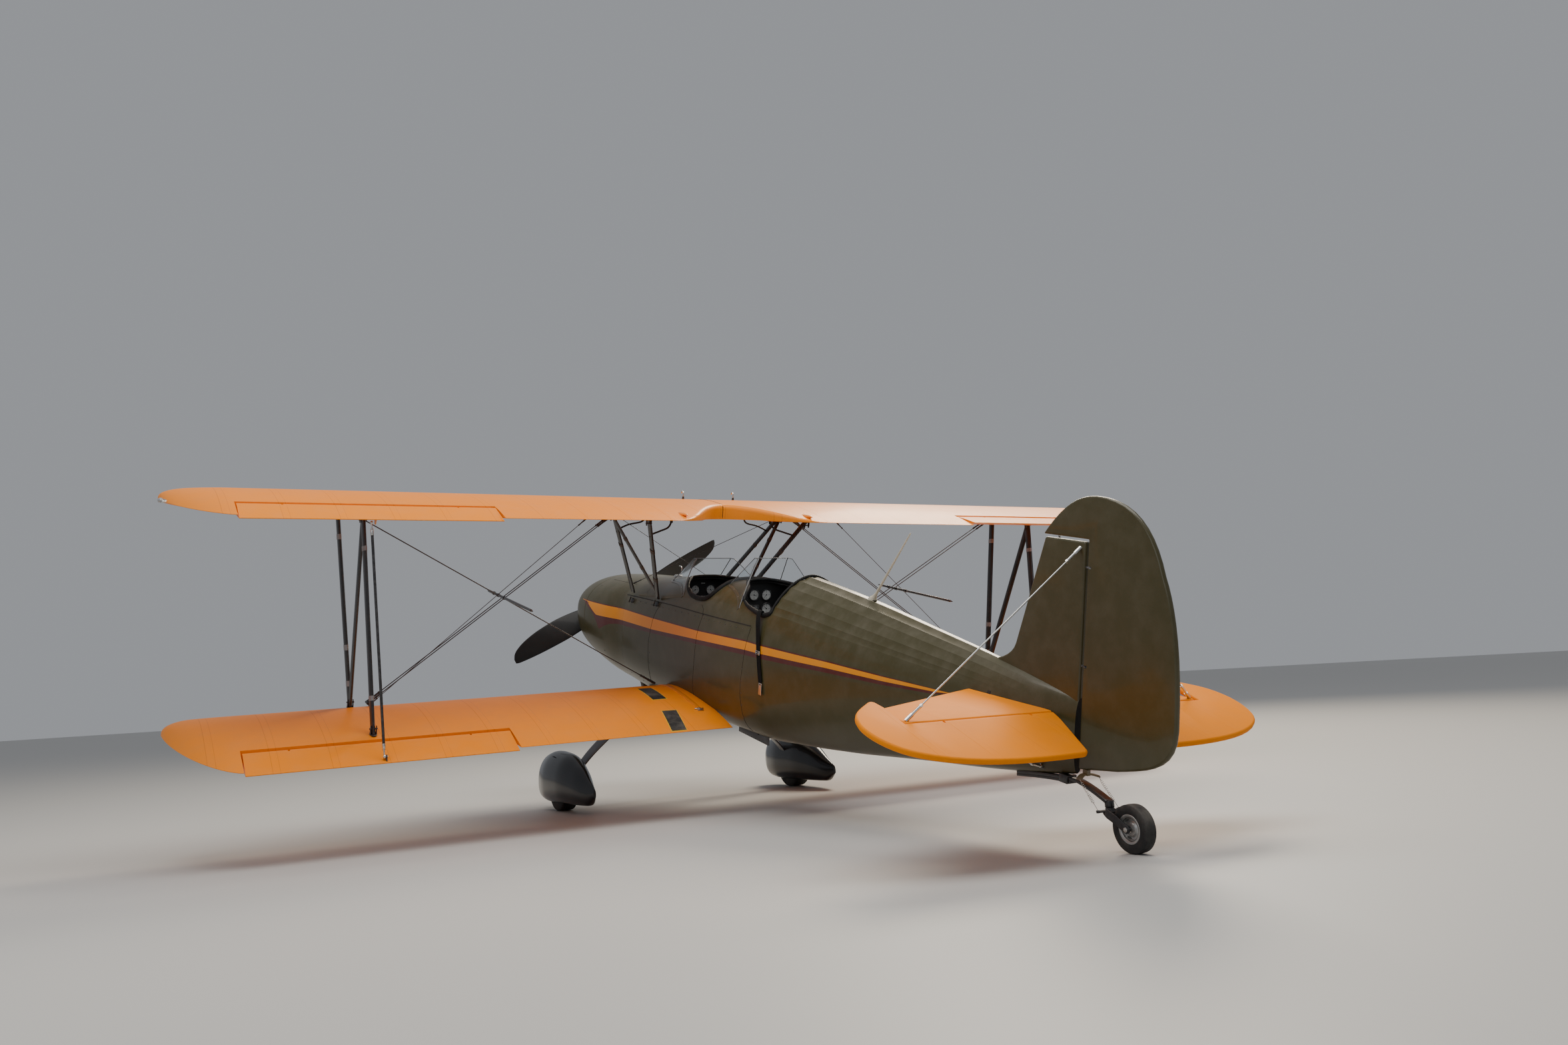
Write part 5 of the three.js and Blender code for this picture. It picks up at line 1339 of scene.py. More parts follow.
def leg_point(u, v):
    at = v * leg_run[-1]
    x, y, z, chord, thick = (through(leg_run, LEG[:, i], at) for i in range(5))
    ahead, behind = (np.clip(at + step, 0, leg_run[-1]) for step in (0.004, -0.004))
    dx, dz = (through(leg_run, LEG[:, i], ahead) - through(leg_run, LEG[:, i], behind) for i in (0, 2))
    length = np.hypot(dx, dz)
    turn = 2 * np.pi * u
    c, s = np.cos(turn), np.sin(turn)
    radius = ((np.abs(c)) ** 3 + (np.abs(s)) ** 3) ** (-1 / 3)
    fore, out = c * radius * chord / 2, s * radius * thick / 2
    return stacked(x - dz / length * out, y + fore, z + dx / length * out)


leg = smooth(wrapped("gear_leg_left_blade", 32, 48, leg_point), 40)
MAIN_AXLE = Vector(from_ground(TRACK_HALF, 0, 0.18))
axle = rod("axle", (0.862, MAIN_AXLE.y, MAIN_AXLE.z), (1.032, MAIN_AXLE.y, MAIN_AXLE.z), 0.0165, 28)
leg = joined("gear_leg_left_blade", leg, bevelled(axle, 0.002))
paired(leg, leg_blue, replaces=("gear_leg_left",))

# aft of the contact, half width, bottom and top height
PANT = np.array([(-0.405, 0.008, 0.205, 0.262), (-0.35, 0.062, 0.118, 0.335), (-0.23, 0.108, 0.066, 0.386),
                 (-0.06, 0.131, 0.055, 0.408), (0.14, 0.122, 0.055, 0.392), (0.34, 0.086, 0.055, 0.318),
                 (0.5, 0.044, 0.058, 0.226), (0.606, 0.009, 0.112, 0.168)])


def pant_point(u, v):
    aft = PANT[0, 0] + (PANT[-1, 0] - PANT[0, 0]) * (1 - np.cos(v * np.pi)) / 2
    half, bottom, top = (through(PANT[:, 0], PANT[:, i], aft) for i in range(1, 4))
    turn = 2 * np.pi * u - np.pi / 2
    c, s = np.cos(turn), np.sin(turn)
    middle = bottom + (top - bottom) * 0.42
    reach = np.where(s > 0, top - middle, middle - bottom)
    power = np.where(s > 0, 2.0, 3.0)
    radius = ((np.abs(c) / half) ** power + (np.abs(s) / reach) ** power) ** (-1 / power)
    return from_ground(TRACK_HALF + radius * c, aft, middle + radius * s)


pant = wrapped("wheel_pant_left_shell", 64, 72, pant_point)
room = rod("wheel_room", (TRACK_HALF - 0.074, MAIN_AXLE.y, MAIN_AXLE.z),
           (TRACK_HALF + 0.074, MAIN_AXLE.y, MAIN_AXLE.z), 0.194, 64)
mouth = [tuple(from_ground(TRACK_HALF - 0.0739, aft, height))
         for aft, height in ((-0.15, 0), (0.15, 0), (0.15, 0.15), (-0.15, 0.15))]
cut(pant, room, prism("mouth", mouth, (0.1478, 0, 0)))
smooth(pant, 35)
paired(pant, navy_gloss, replaces=("wheel_pant_left",))
print("pant faces", len(pant.data.polygons))

# %% [markdown]
# ## Propeller and spinner
# Two wide composite blades are carved with more pitch near the hub and swept back at the tips. The
# blade is a loft of thin sections, made once and turned half round for the other. The spinner is a
# turned shell with a hole for each blade, on a back plate with bolts.

# %% Propeller
HUB_RADIUS = 0.072
BLADE_ANGLE = math.radians(26)
HALF_TURN = Matrix.Rotation(math.pi, 4, "Y")
# radius, chord, thickness, pitch in degrees, sweep
BLADE = np.array([(0.05, 0.066, 0.052, 62, 0), (0.14, 0.092, 0.04, 55, 0), (0.26, 0.14, 0.027, 45, 0),
                  (0.4, 0.18, 0.02, 37, 0), (0.56, 0.196, 0.016, 30, 0.002), (0.72, 0.184, 0.013, 25, 0.01),
                  (0.85, 0.156, 0.01, 22, 0.024), (0.94, 0.118, 0.008, 20, 0.042),
                  (0.99, 0.078, 0.006, 19, 0.062), (1.01, 0.034, 0.004, 19, 0.082)])
BLADE_AXES = AIRFRAME @ Matrix.Translation((0, PROPELLER_Y, 0)) @ Matrix.Rotation(BLADE_ANGLE, 4, "Y")


def blade_point(u, v):
    reach = BLADE[0, 0] + (BLADE[-1, 0] - BLADE[0, 0]) * (1 - (1 - v) ** 1.5)
    chord, thick, pitch, sweep = (through(BLADE[:, 0], BLADE[:, i], reach) for i in range(1, 5))
    pitch = np.radians(pitch)
    turn = 2 * np.pi * u
    lead = np.cos(turn) * chord / 2
    lift = np.sin(turn) * thick * np.where(np.sin(turn) > 0, 0.5, 0.22)
    return stacked(reach, -lead * np.sin(pitch) - lift * np.cos(pitch),
                   lead * np.cos(pitch) - lift * np.sin(pitch) - sweep * 0.75)


blade = smooth(wrapped("blade", 40, 64, blade_point), 50)
hub = turned("hub", [(-0.058, 0.002), (-0.058, 0.068), (-0.054, HUB_RADIUS), (0.0515, HUB_RADIUS),
                     (0.0555, 0.068), (0.0555, 0.002)], (0, 0, 0), (0, 1, 0), 48, ring=False)
propeller = joined("propeller_skin", blade, copied(blade, "blade", HALF_TURN), smooth(hub))
settle(propeller, blade_black, "propeller", replaces=("propeller_blades",), frame_axes=BLADE_AXES)

nose_curve = flowing([(-0.182, 0.0), (-0.176, 0.024), (-0.158, 0.062), (-0.128, 0.091), (-0.084, 0.112),
                      (-0.03, 0.122), (0.02, 0.124)], 4)
nose_curve[0, 1] = 0.0004
inside_curve = [(y + 0.012 if y < -0.02 else y, max(r - 0.01, 0.0004)) for y, r in nose_curve[::-1]]
spinner = turned("spinner_shell", [*nose_curve, (0.0435, 0.124), (0.0435, 0.1135), *inside_curve],
                 (0, 0, 0), (0, 1, 0), 64)
for way in (-1, 1):
    cut(spinner, rod("blade_hole", (way * 0.02, 0, 0), (way * 0.2, 0, 0), 0.054, 40))
back_plate = turned("back_plate", [(0.036, 0.0725), (0.036, 0.1128), (0.0435, 0.1128), (0.0435, 0.0725)],
                    (0, 0, 0), (0, 1, 0), 64)
screw = bevelled(rod("screw", (0.12, 0.03, 0), (0.1255, 0.03, 0), 0.004, 12), 0.0008)
screws = scattered("screws", screw, [Matrix.Rotation(math.radians(a), 4, "Y") for a in range(15, 375, 30)])
spinner = joined("spinner_shell", bevelled(spinner, 0.0012, 2, 45), bevelled(back_plate, 0.001), screws)
settle(spinner, blade_black, "propeller", replaces=("spinner",), frame_axes=BLADE_AXES)
print("propeller faces", len(propeller.data.polygons), "spinner faces", len(spinner.data.polygons))

# %% [markdown]
# ## Wheels
# A tyre and its rim are turned shapes. The tread's grooves and the ring of slots in the wheel's disc
# are what the eye looks for, so the profile carries the grooves and a boolean cuts the slots.

# %% Wheels
def tyre_profile(radius, wide, rim, grooves):
    """Half section from the bead over the tread and back: place across, radius"""
    half = wide / 2
    shoulder = [(half * 0.72, rim - 0.004), (half * 0.86, rim + 0.002),
                (half * 0.97, rim + (radius - rim) * 0.26),
                (half, rim + (radius - rim) * 0.48), (half * 0.96, rim + (radius - rim) * 0.7),
                (half * 0.84, radius * 0.972), (half * 0.66, radius * 0.992)]
    over = [(x, r) for x, r in flowing(shoulder, 3)]
    tread = []
    for place in grooves:
        tread += [(place + 0.0028, radius * (1 - 0.06 * (place / half) ** 2)),
                  (place + 0.0016, radius - 0.005), (place - 0.0016, radius - 0.005),
                  (place - 0.0028, radius * (1 - 0.06 * (place / half) ** 2))]
    inside = [(-half * 0.72, rim - 0.01), (half * 0.72, rim - 0.01)]
    return over + tread + [(-x, r) for x, r in over[::-1]] + inside


def wheel(name, radius, wide, rim, bore, grooves, slots, bolts, body, replaced, centre):
    tyre = smooth(turned(f"{name}_tyre", tyre_profile(radius, wide, rim, grooves), centre, sides=72), 32)
    half = wide / 2
    face = [(half * 0.72, rim - 0.0055), (half * 0.62, rim - 0.0055), (half * 0.58, rim - 0.013),
            (half * 0.4, rim - 0.016), (half * 0.34, rim * 0.62), (half * 0.44, rim * 0.52),
            (half * 0.6, rim * 0.46), (half * 0.66, bore + 0.006), (half * 0.66, bore + 0.0006)]
    disc = turned("disc", [*face, *((-x, r) for x, r in face[::-1]), (-half * 0.72, rim - 0.0105),
                           (half * 0.72, rim - 0.0105)], centre, sides=72)
    for i in range(slots):
        turn = Matrix.Rotation(2 * math.pi * i / slots + 0.3, 4, "X")
        there = Matrix.Translation(centre) @ turn @ Matrix.Translation((0, rim * 0.72, 0))
        cut(disc, moved(rod("slot", (-wide, 0, 0), (wide, 0, 0), rim * 0.115, 20),
                        there @ Matrix.Diagonal((1, 0.8, 1.9, 1))))
    nut = bevelled(rod("nut", (half * 0.58, rim * 0.36, 0), (half * 0.7, rim * 0.36, 0), rim * 0.06, 6),
                   0.0006)
    places = [Matrix.Translation(centre) @ Matrix.Rotation(2 * math.pi * i / bolts, 4, "X") @ flip
              for i in range(bolts) for flip in (Matrix.Identity(4), HALF_TURN)]
    lip = [(half * 0.7, rim - 0.0085), (half * 0.84, rim - 0.0065), (half * 0.92, rim - 0.001),
           (half * 0.95, rim + 0.004), (half * 0.9, rim + 0.006), (half * 0.84, rim + 0.001),
           (half * 0.7, rim - 0.0045)]
    lips = [bevelled(turned("lip", [(side * x, r) for x, r in lip], centre, sides=72), 0.0006)
            for side in (-1, 1)]
    rim_piece = joined(f"{name}_rim", bevelled(disc, 0.0008, 2, 40), scattered("nuts", nut, places), *lips)
    settle(tyre, tread_rubber, body, replaces=replaced)
    settle(rim_piece, rim_metal, body)


def across_axle(name, low, high, radius, sides, edge):
    """Bevelled disc or bar round the tailwheel's axle line, between two places across"""
    ends = [(x, TAIL_AXLE.y, TAIL_AXLE.z) for x in (low, high)]
    return bevelled(rod(name, *ends, radius, sides), edge)


TAIL_AXLE = Vector(from_ground(0, WHEELBASE, 0.103))
hub_at = {side: Vector((sign * TRACK_HALF, MAIN_AXLE.y, MAIN_AXLE.z)) for side, sign in SIDES}
for side, centre in hub_at.items():
    wheel(f"wheel_{side}", 0.18, 0.124, 0.078, 0.0168, (-0.03, -0.01, 0.01, 0.03), 5, 6,
          f"main_wheel_{side}", (f"wheel_{side}",), centre)
wheel("tailwheel", 0.103, 0.066, 0.057, 0.0092, (-0.014, 0.0, 0.014), 3, 4, "tail_wheel", ("tailwheel",),
      TAIL_AXLE)
settle(across_axle("hub_cap", 0.0225, 0.0262, 0.014, 32, 0.0012), bright_metal, "tail_wheel")
BRAKE_RING = [(-0.052, 0.052), (-0.052, 0.071), (-0.0475, 0.071), (-0.0475, 0.052)]
for side, sign in SIDES:
    disc = turned(f"brake_disc_{side}", BRAKE_RING, hub_at[side], (sign, 0, 0), 64)
    settle(bevelled(disc, 0.0006), bright_metal, f"main_wheel_{side}")

# %% [markdown]
# ## Tail spring and steering fork
# A curved leaf spring carries the swivel head. The fork below it turns with the rudder: a steering
# arm at the rudder's foot pulls a horn on the fork through two springs.

# %% Tail gear
SWIVEL_AHEAD = 0.134


def fork_at(x, aft, height):
    return Vector(from_ground(x, WHEELBASE + aft, height))


spring_path = flowing([(0, 4.2, -0.112), (0, 4.33, -0.086), (0, 4.44, -0.067), (0, 4.52, -0.056),
                       (0, 4.604, -0.05), (0, 4.7, -0.066), tuple(fork_at(0, -SWIVEL_AHEAD, 0.208))], 8)
leaf = swept("tail_leaf", spring_path, strip_section(0.046, 0.014))
short = swept("short_leaf", spring_path[:30] - np.array([0, 0, 0.0135]), strip_section(0.044, 0.013))


def upright(name, x, aft, low, high, radius, sides):
    return rod(name, fork_at(x, aft, low), fork_at(x, aft, high), radius, sides)


head = [bevelled(upright("head", 0, -SWIVEL_AHEAD, 0.184, 0.214, 0.021, 32), 0.002),
        bevelled(upright("head_cap", 0, -SWIVEL_AHEAD, 0.214, 0.2155, 0.015, 24), 0.0006)]
clamp = bevelled(block("clamp", (-0.03, 4.5, -0.078), (0.03, 4.556, -0.038)), 0.004)
spring_piece = joined("tail_spring_leaves", bevelled(leaf, 0.0018), bevelled(short, 0.0018), *head, clamp)
settle(spring_piece, strut_black, replaces=("tail_spring",))

ARM_X = 0.044
crown = bevelled(upright("crown", 0, -SWIVEL_AHEAD, 0.15, 0.1825, 0.0205, 32), 0.002)
arm_half = [(ARM_X, 0, 0.103), (ARM_X, -0.06, 0.138), (ARM_X - 0.003, -0.112, 0.163), (0.02, -0.128, 0.168)]
bridge_path = flowing([fork_at(*p) for p in [(-x, aft, height) for x, aft, height in arm_half]
                       + arm_half[::-1]], 7)
blend = np.array([(0, 0, 1) if abs(x) < 0.03 else (math.copysign(1, x), 0, 0) for x in bridge_path[:, 0]],
                 float)
for _ in range(4):
    blend[1:-1] = (blend[:-2] + blend[1:-1] * 2 + blend[2:]) / 4
fork = swept("fork_arms", bridge_path, strip_section(0.036, 0.008), up=blend)
ends = [across_axle("end", s * (ARM_X - 0.0045), s * (ARM_X + 0.0045), 0.0165, 28, 0.001) for s in (-1, 1)]
axle = across_axle("axle", -0.05, 0.05, 0.0085, 24, 0.001)
horn_line = ((-0.066, -0.146), (-0.03, -0.14), (0.03, -0.14), (0.066, -0.146))
horn = swept("horn", flowing([fork_at(x, aft, 0.17) for x, aft in horn_line], 6), strip_section(0.02, 0.006))
eyes = [upright("eye", s * 0.062, -0.145, 0.164, 0.176, 0.0075, 18) for s in (-1, 1)]
fork_piece = joined("tail_fork_frame", crown, bevelled(fork, 0.0012), *ends, axle, bevelled(horn, 0.001),
                    *eyes)
settle(fork_piece, fitting_black, "tail_fork", replaces=("tailwheel_fork",))
nuts = [across_axle("nut", s * 0.0487, s * 0.0545, 0.0115, 6, 0.0008) for s in (-1, 1)]
bolts = [bevelled(upright("bolt", s * 0.022, -0.124, 0.172, 0.1775, 0.006, 6), 0.0006) for s in (-1, 1)]
settle(joined("fork_nuts", *nuts, *bolts), bright_metal, "tail_fork")

# the steering arm stands on the rudder's foot, and its springs reach down to the horn
arm = [swept("arm", flowing([(-0.062, 4.668, -0.02), (-0.03, 4.65, -0.012), (0.0, 4.645, -0.01),
                             (0.03, 4.65, -0.012), (0.062, 4.668, -0.02)], 6), strip_section(0.026, 0.006)),
       block("arm_post", (-0.01, 4.632, -0.014), (0.01, 4.662, 0.012))]
settle(joined("steering_arm", *[bevelled(part, 0.001) for part in arm]), arm_tan, "rudder")


def coil_spring(name, start, end, radius=0.0055, turns=13, wire=0.0011):
    start, end = Vector(start), Vector(end)
    along = (end - start).normalized()
    first = along.orthogonal().normalized()
    second = along.cross(first)
    t = np.linspace(0, 1, turns * 10 + 1)
    wide = radius * np.clip(np.minimum(t, 1 - t) * 9, 0.05, 1)
    path = [start.lerp(end, k) + first * (w * math.cos(k * turns * 2 * math.pi))
            + second * (w * math.sin(k * turns * 2 * math.pi)) for k, w in zip(t, wide)]
    return swept(name, [tuple(p) for p in path], round_section(wire, 5), up=tuple(along))


SPRING_TURNS = 7
for side, s in SIDES:
    top, foot = Vector((s * 0.058, 4.666, -0.022)), fork_at(s * 0.062, -0.145, 0.176)
    middle = top.lerp(foot, 0.46)
    for label, body, hook, at in (("upper", "rudder", top, 0.18), ("lower", "tail_fork", foot, 0.4)):
        coil_end = hook.lerp(middle, at)
        piece = joined(f"steering_spring_{label}_{side}",
                       coil_spring("coil", coil_end, middle, turns=SPRING_TURNS),
                       rod("link", hook, hook.lerp(middle, at + 0.04), 0.0013, 8))
        settle(smooth(piece, 60), bright_metal, body=None)
        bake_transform(piece)
print("tail gear faces", len(spring_piece.data.polygons) + len(fork_piece.data.polygons))

# %% [markdown]
# ## Engine, exhaust and antenna
# Behind the two inlets lies a flat engine: a crankcase with four finned cylinders. The fins are one
# turned profile with many grooves, which is quicker than stacking discs. The exhaust is round tube
# swept along its bends and bored at its mouth, and the aerial is a whip on a trumpet foot.

# %% Engine, exhaust and antenna
FIN_COUNT, FIN_PITCH, BARREL, FIN_REACH = 11, 0.0125, 0.052, 0.068
fins = [(0, 0), (0, BARREL)]
for at in 0.012 + FIN_PITCH * np.arange(FIN_COUNT):
    fins += [(at, BARREL), (at + 0.001, FIN_REACH), (at + 0.005, FIN_REACH), (at + 0.006, BARREL)]
fins += [(0.158, BARREL), (0.158, 0)]
engine_parts = [
    bevelled(block("crankcase", (-0.11, -0.8, -0.12), (0.11, -0.23, 0.1)), 0.018, 3),
    bevelled(block("sump", (-0.09, -0.72, -0.19), (0.09, -0.36, -0.116)), 0.014, 3),
    rod("shaft", (0, -0.79, 0), (0, -0.958, 0), 0.066, 32, 0.042)]
for side in (-1, 1):
    for y in (-0.655, -0.375):
        cover = moved(block("cover", (-0.022, -0.058, -0.064), (0.022, 0.058, 0.064)),
                      Matrix.Translation((side * 0.285, y, -0.03)))
        engine_parts += [turned("barrel", fins, (side * 0.107, y, -0.03), (side, 0, 0), 32, ring=False),
                         bevelled(cover, 0.008, 3)]
settle(smooth(joined("engine_with_fins", *engine_parts), 30), dull_metal, replaces=("engine_block",))

stack_path = flowing([(0.13, -0.33, -0.17), (0.13, -0.316, -0.28), (0.13, -0.17, -0.43),
                      (0.13, -0.06, -0.56)], 10)
stack = swept("exhaust_stack_left_pipe", stack_path, round_section(0.026, 28))
mouth_step = stack_path[-1] - stack_path[-2]
cut(stack, rod("bore", stack_path[-1] - 5 * mouth_step, stack_path[-1] + mouth_step, 0.0238, 28))
paired(smooth(stack, 40), hot_steel, replaces=("exhaust_stack_left",))

WHIP = [(-0.024, 0.03), (0, 0.0285), (0.01, 0.0262), (0.02, 0.0215), (0.032, 0.0155), (0.046, 0.0108),
        (0.066, 0.0078), (0.3, 0.006), (0.538, 0.0044), (0.5465, 0.0037), (0.5498, 0.0012)]
whip_foot, whip_tip = Vector((0, 2.85, 0.5243)), Vector((0, 3.198, 0.95))
whip_way = np.array((whip_tip - whip_foot).normalized())
whip = swept("antenna_whip", np.array(whip_foot) + np.outer([at for at, _ in WHIP], whip_way),
             round_section(1, 28), up=(1, 0, 0), scale=[radius for _, radius in WHIP])
cut(whip, body_loft("antenna_tool", 2.7, 3.05, 20, SKIN_GAP))
settle(smooth(whip, 40), whip_cream, replaces=("antenna",))

# %% [markdown]
# ## Cockpit rims
# A padded leather roll runs round each opening and a thinner one edges the hood over each panel.
# The rear roll thins out and climbs over the turtledeck's front arch. Each is a round section swept
# along the opening's edge, at the height of the deck, with small swells where the stuffing bunches.

# %% Cockpit rims
ROLL_RADIUS, TRIM_RADIUS, ROLL_INSET, ROLL_RISE = 0.017, 0.0115, 0.004, 0.003
ARCH_SHARE = 0.52


def deck_height(x, y):
    half, middle, top, upper = (through(BODY[:, 0], BODY[:, i], np.asarray(y, float)) for i in (1, 2, 3, 5))
    return middle + (top - middle) * (1 - np.clip(np.abs(x) / half, 0, 1) ** upper) ** (1 / upper)


def deck_spot(x, y):
    return Vector((x, y, float(deck_height(x, y))))


def deck_normal(x, y, step=0.002):
    rise_x = deck_height(x + step, y) - deck_height(x - step, y)
    rise_y = deck_height(x, y + step) - deck_height(x, y - step)
    made = stacked(-rise_x / (2 * step), -rise_y / (2 * step), 1.0)
    return made / np.linalg.norm(made, axis=-1, keepdims=True)


def lengths(path):
    """Distance run along a path, at each of its points"""
    return np.concatenate([[0], np.cumsum(np.linalg.norm(np.diff(path, axis=0), axis=1))])


def evenly(points, step):
    """The same path with its points at equal spaces"""
    points = np.asarray(points, float)
    run = lengths(points)
    at = np.linspace(0, run[-1], max(2, int(round(run[-1] / step)) + 1))
    return stacked(*(np.interp(at, run, points[:, i]) for i in range(points.shape[1])))


def on_deck(outline, rise, step=0.01):
    plan = evenly(outline, 0.003)
    return evenly(stacked(plan[:, 0], plan[:, 1], deck_height(plan[:, 0], plan[:, 1]) + rise), step)


def rounded_ends(path, radius):
    """Share of the radius at each point, so that a roll closes in a dome at both ends"""
    run = lengths(path)
    nearest = np.clip(np.minimum(run, run[-1] - run) / radius, 0, 1)
    return run, np.sqrt(np.clip(1 - (1 - nearest) ** 2, 0.02, 1))


for cockpit, sizes in COCKPITS.items():
    edge = both_sides(flowing(sizes["rim"], OUTLINE_STEPS))
    way = np.gradient(edge, axis=0)
    way /= np.linalg.norm(way, axis=1)[:, None]
    path = on_deck(edge + stacked(-way[:, 1], way[:, 0]) * ROLL_INSET, ROLL_RISE)
    run, share = rounded_ends(path, ROLL_RADIUS)
    share = share * (1 + 0.022 * np.sin(run * 73) + 0.016 * np.sin(run * 171 + 1))
    if cockpit == "rear":
        over = np.clip((path[:, 2] - deck_height(*sizes["rim"][4]) - 0.01) / 0.05, 0, 1)
        share = share * (1 - over * (1 - ARCH_SHARE))
    roll = swept(f"{cockpit}_coaming_roll", path, round_section(ROLL_RADIUS, 20), scale=share)
    settle(smooth(roll, 60), rim_leather, replaces=(f"{cockpit}_coaming",))
    path = on_deck(both_sides(flowing(sizes["hood"], OUTLINE_STEPS)[::-1]), 0.001)
    trim = swept(f"{cockpit}_hood_trim", path, round_section(TRIM_RADIUS, 14),
                 scale=rounded_ends(path, TRIM_RADIUS)[1])
    settle(smooth(trim, 60), rim_leather)

# %% [markdown]
# ## Panels and instruments
# Each panel is a thin board with an arched top that fits under the deck, so it is cut from a smaller
# loft of the same body. An instrument is a turned ring round a white face with scale marks. The
# little plates stay blank.

# %% Panels and instruments
PANEL_THICK = 0.012
PANEL_FACES = {"front": 0.604, "rear": 1.492}


def standing(point, way):
    """Stands a small part's Z along way at a point"""
    return Matrix.Translation(Vector(point)) @ Vector(way).to_track_quat("Z", "Y").to_matrix().to_4x4()


def screw_head(radius=0.003, height=0.0014):
    made = rod("head", (0, 0, -0.0006), (0, 0, height), radius, 10)
    return bevelled(made, height * 0.45, 2)


def instruments(cockpit, face_y, dials, dial=0.035):
    rim = [(-0.001, dial - 0.001), (-0.001, dial + 0.007), (0.005, dial + 0.007), (0.0078, dial + 0.004),
           (0.0078, dial + 0.0015), (0.003, dial - 0.001)]
    rings, faces, marks = [], [], []
    for x, z, needle in dials:
        middle = Matrix.Translation((x, face_y, z))
        rings.append(turned("ring", rim, (x, face_y, z), (0, 1, 0), 40))
        faces.append(rod("face", (x, face_y - 0.001, z), (x, face_y + 0.0022, z), dial, 40))
        for i in range(24):
            reach = 0.42 if i % 6 == 0 else 0.8 if i % 2 == 0 else 0.88
            tick = block("tick", (-0.0007, 0, dial * reach), (0.0007, 0.0028, dial * 0.95))
            marks.append(moved(tick, middle @ Matrix.Rotation(i * math.pi / 12, 4, "Y")))
        hand = prism("hand", [(-0.0018, 0, -0.006), (0.0018, 0, -0.006), (0.0004, 0, dial * 0.78),
                              (-0.0004, 0, dial * 0.78)], (0, 0.0036, 0))
        marks += [moved(hand, middle @ Matrix.Rotation(needle, 4, "Y")),
                  rod("hub", (x, face_y, z), (x, face_y + 0.0044, z), 0.004, 16)]
    settle(smooth(joined(f"{cockpit}_instrument_rings", *rings), 35), fitting_black)
    settle(smooth(joined(f"{cockpit}_instrument_faces", *faces), 35), dial_white)
    settle(joined(f"{cockpit}_instrument_marks", *marks), panel_black)


def plates(name, face_y, boxes, finish, lift=0.0016):
    made = [block("plate", (x - w / 2, face_y - 0.001, z - h / 2), (x + w / 2, face_y + lift, z + h / 2))
            for x, z, w, h in boxes]
    settle(bevelled(joined(name, *made), min(0.0006, lift * 0.3), 2), finish)


for cockpit, low in (("front", 0.12), ("rear", 0.15)):
    face_y = PANEL_FACES[cockpit]
    board = body_loft(f"{cockpit}_panel_board", face_y - PANEL_THICK, face_y, 1, -WALL - SKIN_GAP)
    cut(board, block("below", (-0.5, face_y - 0.1, -1), (0.5, face_y + 0.1, low)))
    settle(bevelled(board, 0.0015, 2, 50), panel_black, replaces=(f"{cockpit}_panel",))
front_face, rear_face = PANEL_FACES["front"], PANEL_FACES["rear"]
instruments("front", front_face, [(0.063, 0.293, 2.2), (-0.063, 0.293, -2.5)], 0.033)
instruments("rear", rear_face, [(0.047, 0.374, -1.9), (-0.047, 0.374, 2.4), (-0.052, 0.281, 0.9)], 0.034)
plates("front_blank_plates", front_face, [(0, 0.341, 0.032, 0.007), (-0.008, 0.24, 0.046, 0.012)],
       dial_white)
plates("front_plate_frame", front_face, [(-0.008, 0.24, 0.06, 0.022)], fitting_black, 0.001)
plates("rear_small_box", rear_face, [(0.044, 0.281, 0.06, 0.052)], fitting_black, 0.022)
plates("rear_box_screen", rear_face + 0.021, [(0.044, 0.287, 0.044, 0.022)], lamp_glass, 0.0022)
knobs = []
for face_y, z, xs in ((front_face, 0.19, (-0.09, -0.03, 0.03, 0.09)),
                      (rear_face, 0.205, (-0.12, -0.06, 0.0, 0.06, 0.12))):
    for x in xs:
        knobs += [rod("nut", (x, face_y - 0.001, z), (x, face_y + 0.004, z), 0.0062, 6),
                  rod("toggle", (x, face_y, z), (x, face_y + 0.018, z + 0.006), 0.0018, 10, 0.0028)]
settle(smooth(joined("panel_switches", *knobs), 35), bright_metal)

# %% [markdown]
# ## Windshields
# Each windshield is one clear sheet with two folds, so it has a flat front and two sides that sweep
# back. A search up each line of the sheet finds where it meets the deck. The sheet starts just under
# that line and is given its thickness. Its foot turns outwards as a narrow flange with small screws,
# which hides the joint.

# %% Windshields
SCREENS = {
    "front": dict(foot=[(0.368, 1.026, 0.184), (0.203, 0.327, 0.24)],
                  top=[(0.152, 0.79, 0.54), (0.15, 0.74, 0.54)], bow=0.028),
    "rear": dict(foot=[(0.344, 1.808, 0.261), (0.246, 1.231, 0.27)],
                 top=[(0.128, 1.68, 0.638), (0.125, 1.622, 0.638)], bow=0.01),
}
SHEET_THICK, FLANGE_WIDE, FOLD_STEPS, RISE_STEPS = 0.003, 0.021, 16, 14
SHEET_SUNK = 0.004
BOW_SIDEWAYS, BOW_UP = 0.82, 0.57
EDGE_STRIP = strip_section(0.0052, 0.0046)
sheet_edge = paint("sheet_edge", "clear_acrylic", (0.15, 0.16, 0.17), 0.28, depth=0.3, patch=12.0, coat=0.2,
                   dust=0.1)
sheet_foot = paint("sheet_foot", "clear_acrylic", (0.06, 0.056, 0.034), 0.3, depth=0.3, patch=12.0,
                   coat=0.2, dust=0.05)


def mirrored_on(points):
    return np.array(points + [(-x, y, z) for x, y, z in points[::-1]])


def along_folds(corners, s):
    return stacked(*(np.interp(s, range(len(corners)), corners[:, i]) for i in range(3)))


